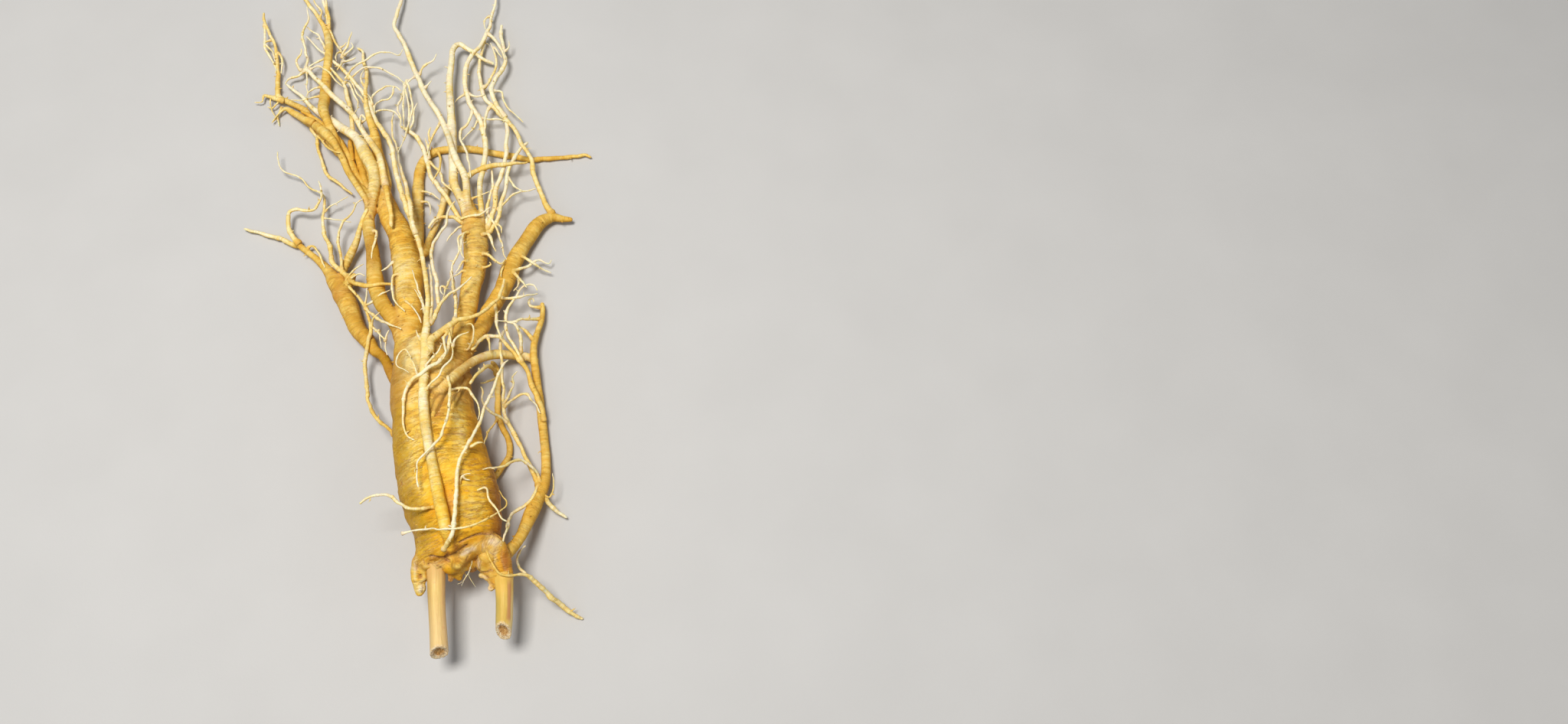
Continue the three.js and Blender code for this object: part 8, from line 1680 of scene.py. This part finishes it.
def stem(label, points, material, node, seed, tilt, facet=None):
    """A cut stem: ribbed along its length, with a torn, hollowed end."""
    step = 0.5
    line, s = curve(points, step)
    C, r = line[:, :3], line[:, 3]
    T, N1, N2 = frames(C)
    sides = 72
    th = np.linspace(0, 2 * math.pi, sides, endpoint=False)
    cs, sn = np.cos(th), np.sin(th)
    L = s[-1]
    n = len(s)
    S = np.repeat(s, sides)
    CS, SN = np.tile(cs, n), np.tile(sn, n)
    ribs = noise(np.column_stack([CS * 2.4, SN * 2.4, S / 46.0]), seed) * 0.026
    ribs += noise(np.column_stack([CS * 6.5, SN * 6.5, S / 22.0]), seed + 1) * 0.010
    ribs += noise(np.column_stack([CS * 0.8, SN * 0.8, S / 8.0]), seed + 2) * 0.022
    # the stem widens where it leaves the crown
    ribs += 0.15 * np.exp(-np.maximum(0, S - 3.0) / 3.2) + 0.10 * np.exp(-np.maximum(0, S - 3.0) / 4.0) * noise(np.column_stack([CS * 2.2, SN * 2.2, S / 9.0]), seed + 8)
    R = r[:, None] * (1 + ribs.reshape(n, sides))
    ring = cs[None, :, None] * N1[:, None, :] + sn[None, :, None] * N2[:, None, :]
    # torn rim: the last rings are pulled along the stem by different amounts
    rag = noise(np.column_stack([cs * 2.5, sn * 2.5]), seed + 3) * 0.35 + noise(np.column_stack([cs * 7.0, sn * 7.0]), seed + 4) * 0.22
    rag = rag + tilt[0] * cs + tilt[1] * sn
    pull = smooth(L - 8.0, L, s)[:, None] * rag[None, :]
    P = C[:, None, :] + ring * R[:, :, None] + T[:, None, :] * pull[:, :, None]
    V = [P.reshape(-1, 3)]
    around = [np.stack([CS, SN, S], 1)]
    cut = [np.repeat(smooth(L - 1.6, L - 0.2, s), sides) * 0.8]
    pith = [np.zeros(n * sides)]
    i, j = np.meshgrid(np.arange(n - 1), np.arange(sides), indexing="ij")
    a = (i * sides + j).ravel()
    b = (i * sides + (j + 1) % sides).ravel()
    quads = [np.stack([a, b, b + sides, a + sides], 1)]
    # end face: rings from the rim to a sunk pith
    rings = [(0.93, 0.10), (0.84, -0.15), (0.74, -0.28), (0.62, -0.45), (0.50, -0.80), (0.38, -1.10), (0.24, -1.25), (0.12, -1.3)]
    base = (n - 1) * sides
    top = n * sides
    e_c, e_t, e_r = C[-1], T[-1], R[-1]
    for k, (share, sink) in enumerate(rings):
        lump = 0.34 * noise(np.column_stack([cs * share * 5.0, sn * share * 5.0]), seed + 5) + 0.22 * noise(np.column_stack([cs * share * 12.0, sn * share * 12.0]), seed + 6)
        rag_k = rag * share
        p = e_c + ring[-1] * (e_r * share)[:, None] + e_t * (rag_k + sink + lump)[:, None]
        V.append(p)
        around.append(np.stack([cs * share, sn * share, np.full(sides, L)], 1))
        cut.append(np.ones(sides))
        pith.append(np.full(sides, float(smooth(0.72, 0.5, share))))
        j = np.arange(sides)
        quads.append(np.stack([base + j, base + (j + 1) % sides, top + (j + 1) % sides, top + j], 1))
        base = top
        top += sides
    V.append((e_c + e_t * -1.3)[None])
    around.append(np.array([[0, 0, L]]))
    cut.append(np.ones(1))
    pith.append(np.ones(1))
    j = np.arange(sides)
    tris = [np.stack([base + j, base + (j + 1) % sides, np.full(sides, top)], 1)]
    V.append((C[0] - T[0] * 0.1)[None])
    around.append(np.array([[0, 0, 0]]))
    cut.append(np.zeros(1))
    pith.append(np.zeros(1))
    tris.append(np.stack([(j + 1) % sides, j, np.full(sides, top + 1)], 1))
    V = np.vstack(V)
    around = np.vstack(around)
    cut = np.concatenate(cut)
    if facet is not None:
        centre, normal, depth = facet
        normal = np.array(normal, float)
        normal /= np.linalg.norm(normal)
        h = (V - np.array(centre)) @ normal
        cut = np.maximum(cut, smooth(-0.05, 0.15, h) * (around[:, 2] > 3))
        V = V - np.maximum(0, h)[:, None] * normal * 0.95
    stripe = np.clip(smooth(2.0, 7.0, around[:, 2]) * smooth(L - 1.5, L - 6.0, around[:, 2]), 0, 1)
    ob = make_mesh(label, V, [np.vstack(quads), np.vstack(tris)], {"around": around, "cut": cut, "pith": np.concatenate(pith), "stripe": stripe}, material)
    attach(ob, "root")
    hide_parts(node)
    return ob


LEFT_SKIN = stem_material("left_stem_skin", (0.80, 0.50, 0.28), 2.4, 0.30,
                          [(0.34, (0.66, 0.41, 0.105)), (0.50, (0.78, 0.52, 0.155)), (0.62, (0.84, 0.60, 0.20)), (0.78, (0.89, 0.70, 0.31))],
                          (0.50, 0.31, 0.085), (0.78, 0.47, 0.20), (17.0, 9.0, (0.74, 0.45, 0.15)), 0.42)
RIGHT_SKIN = stem_material("right_stem_skin", (0.56, 0.27, 0.095), -0.72, 0.40,
                           [(0.34, (0.56, 0.36, 0.055)), (0.50, (0.67, 0.44, 0.075)), (0.62, (0.75, 0.51, 0.11)), (0.78, (0.84, 0.61, 0.20))],
                           (0.50, 0.38, 0.085), (0.88, 0.69, 0.33), (17.0, 9.5, (0.80, 0.50, 0.09)), 0.10)
left_stem = stem("left_cut_stem", LEFT_STEM, LEFT_SKIN, "left_stem_stub", 501, (-2.4, 0.5))
right_stem = stem("right_cut_stem", RIGHT_STEM, RIGHT_SKIN, "right_stem_stub", 601, (-3.4, -0.6))


# ---------------------------------------------------------------- table, light, camera
def stage_floor():
    me = bpy.data.meshes.new("table")
    k = 4.0
    me.from_pydata([(-k, -k, -0.0001), (k, -k, -0.0001), (k, k, -0.0001), (-k, k, -0.0001)], [], [(0, 1, 2, 3)])
    me.materials.append(floor_material())
    ob = bpy.data.objects.new("table", me)
    bpy.context.scene.collection.objects.link(ob)


stage_floor()


def area(name, at, target, size, power, colour):
    li = bpy.data.lights.new(name, "AREA")
    li.shape = "RECTANGLE"
    li.size, li.size_y = size
    li.energy = power
    li.color = colour
    ob = bpy.data.objects.new(name, li)
    bpy.context.scene.collection.objects.link(ob)
    ob.location = at
    ob.rotation_euler = (Vector(target) - Vector(at)).to_track_quat("-Z", "Y").to_euler()
    return ob


area("key", (-0.12, -0.02, 1.35), (0.0, -0.02, 0.0), (0.42, 0.42), 17.7, (1.0, 0.970, 0.925))
area("fill", (-0.75, -0.45, 0.95), (0.0, 0.0, 0.0), (0.9, 0.9), 2.2, (0.95, 0.97, 1.0))
area("side", (0.9, -0.3, 0.6), (0.0, 0.0, 0.0), (0.6, 0.6), 1.0, (1.0, 0.97, 0.92))
world = bpy.data.worlds.new("room")
world.use_nodes = True
bg = world.node_tree.nodes["Background"]
bg.inputs[0].default_value = (0.92, 0.95, 1.0, 1.0)
bg.inputs[1].default_value = 0.20
bpy.context.scene.world = world
bpy.context.scene.view_settings.view_transform = "Standard"

cam_data = bpy.data.cameras.new("camera")
cam_data.sensor_fit = "HORIZONTAL"
cam_data.sensor_width = 36.0
cam_data.lens = CAMERA["lens"]
cam_data.clip_start = 0.01
cam_data.clip_end = 20.0
cam = bpy.data.objects.new("camera", cam_data)
bpy.context.scene.collection.objects.link(cam)
R = Matrix((CAMERA["right"], CAMERA["up"], [-c for c in CAMERA["forward"]])).transposed().to_4x4()
cam.matrix_world = Matrix.Translation(CAMERA["at"]) @ R
bpy.context.scene.camera = cam
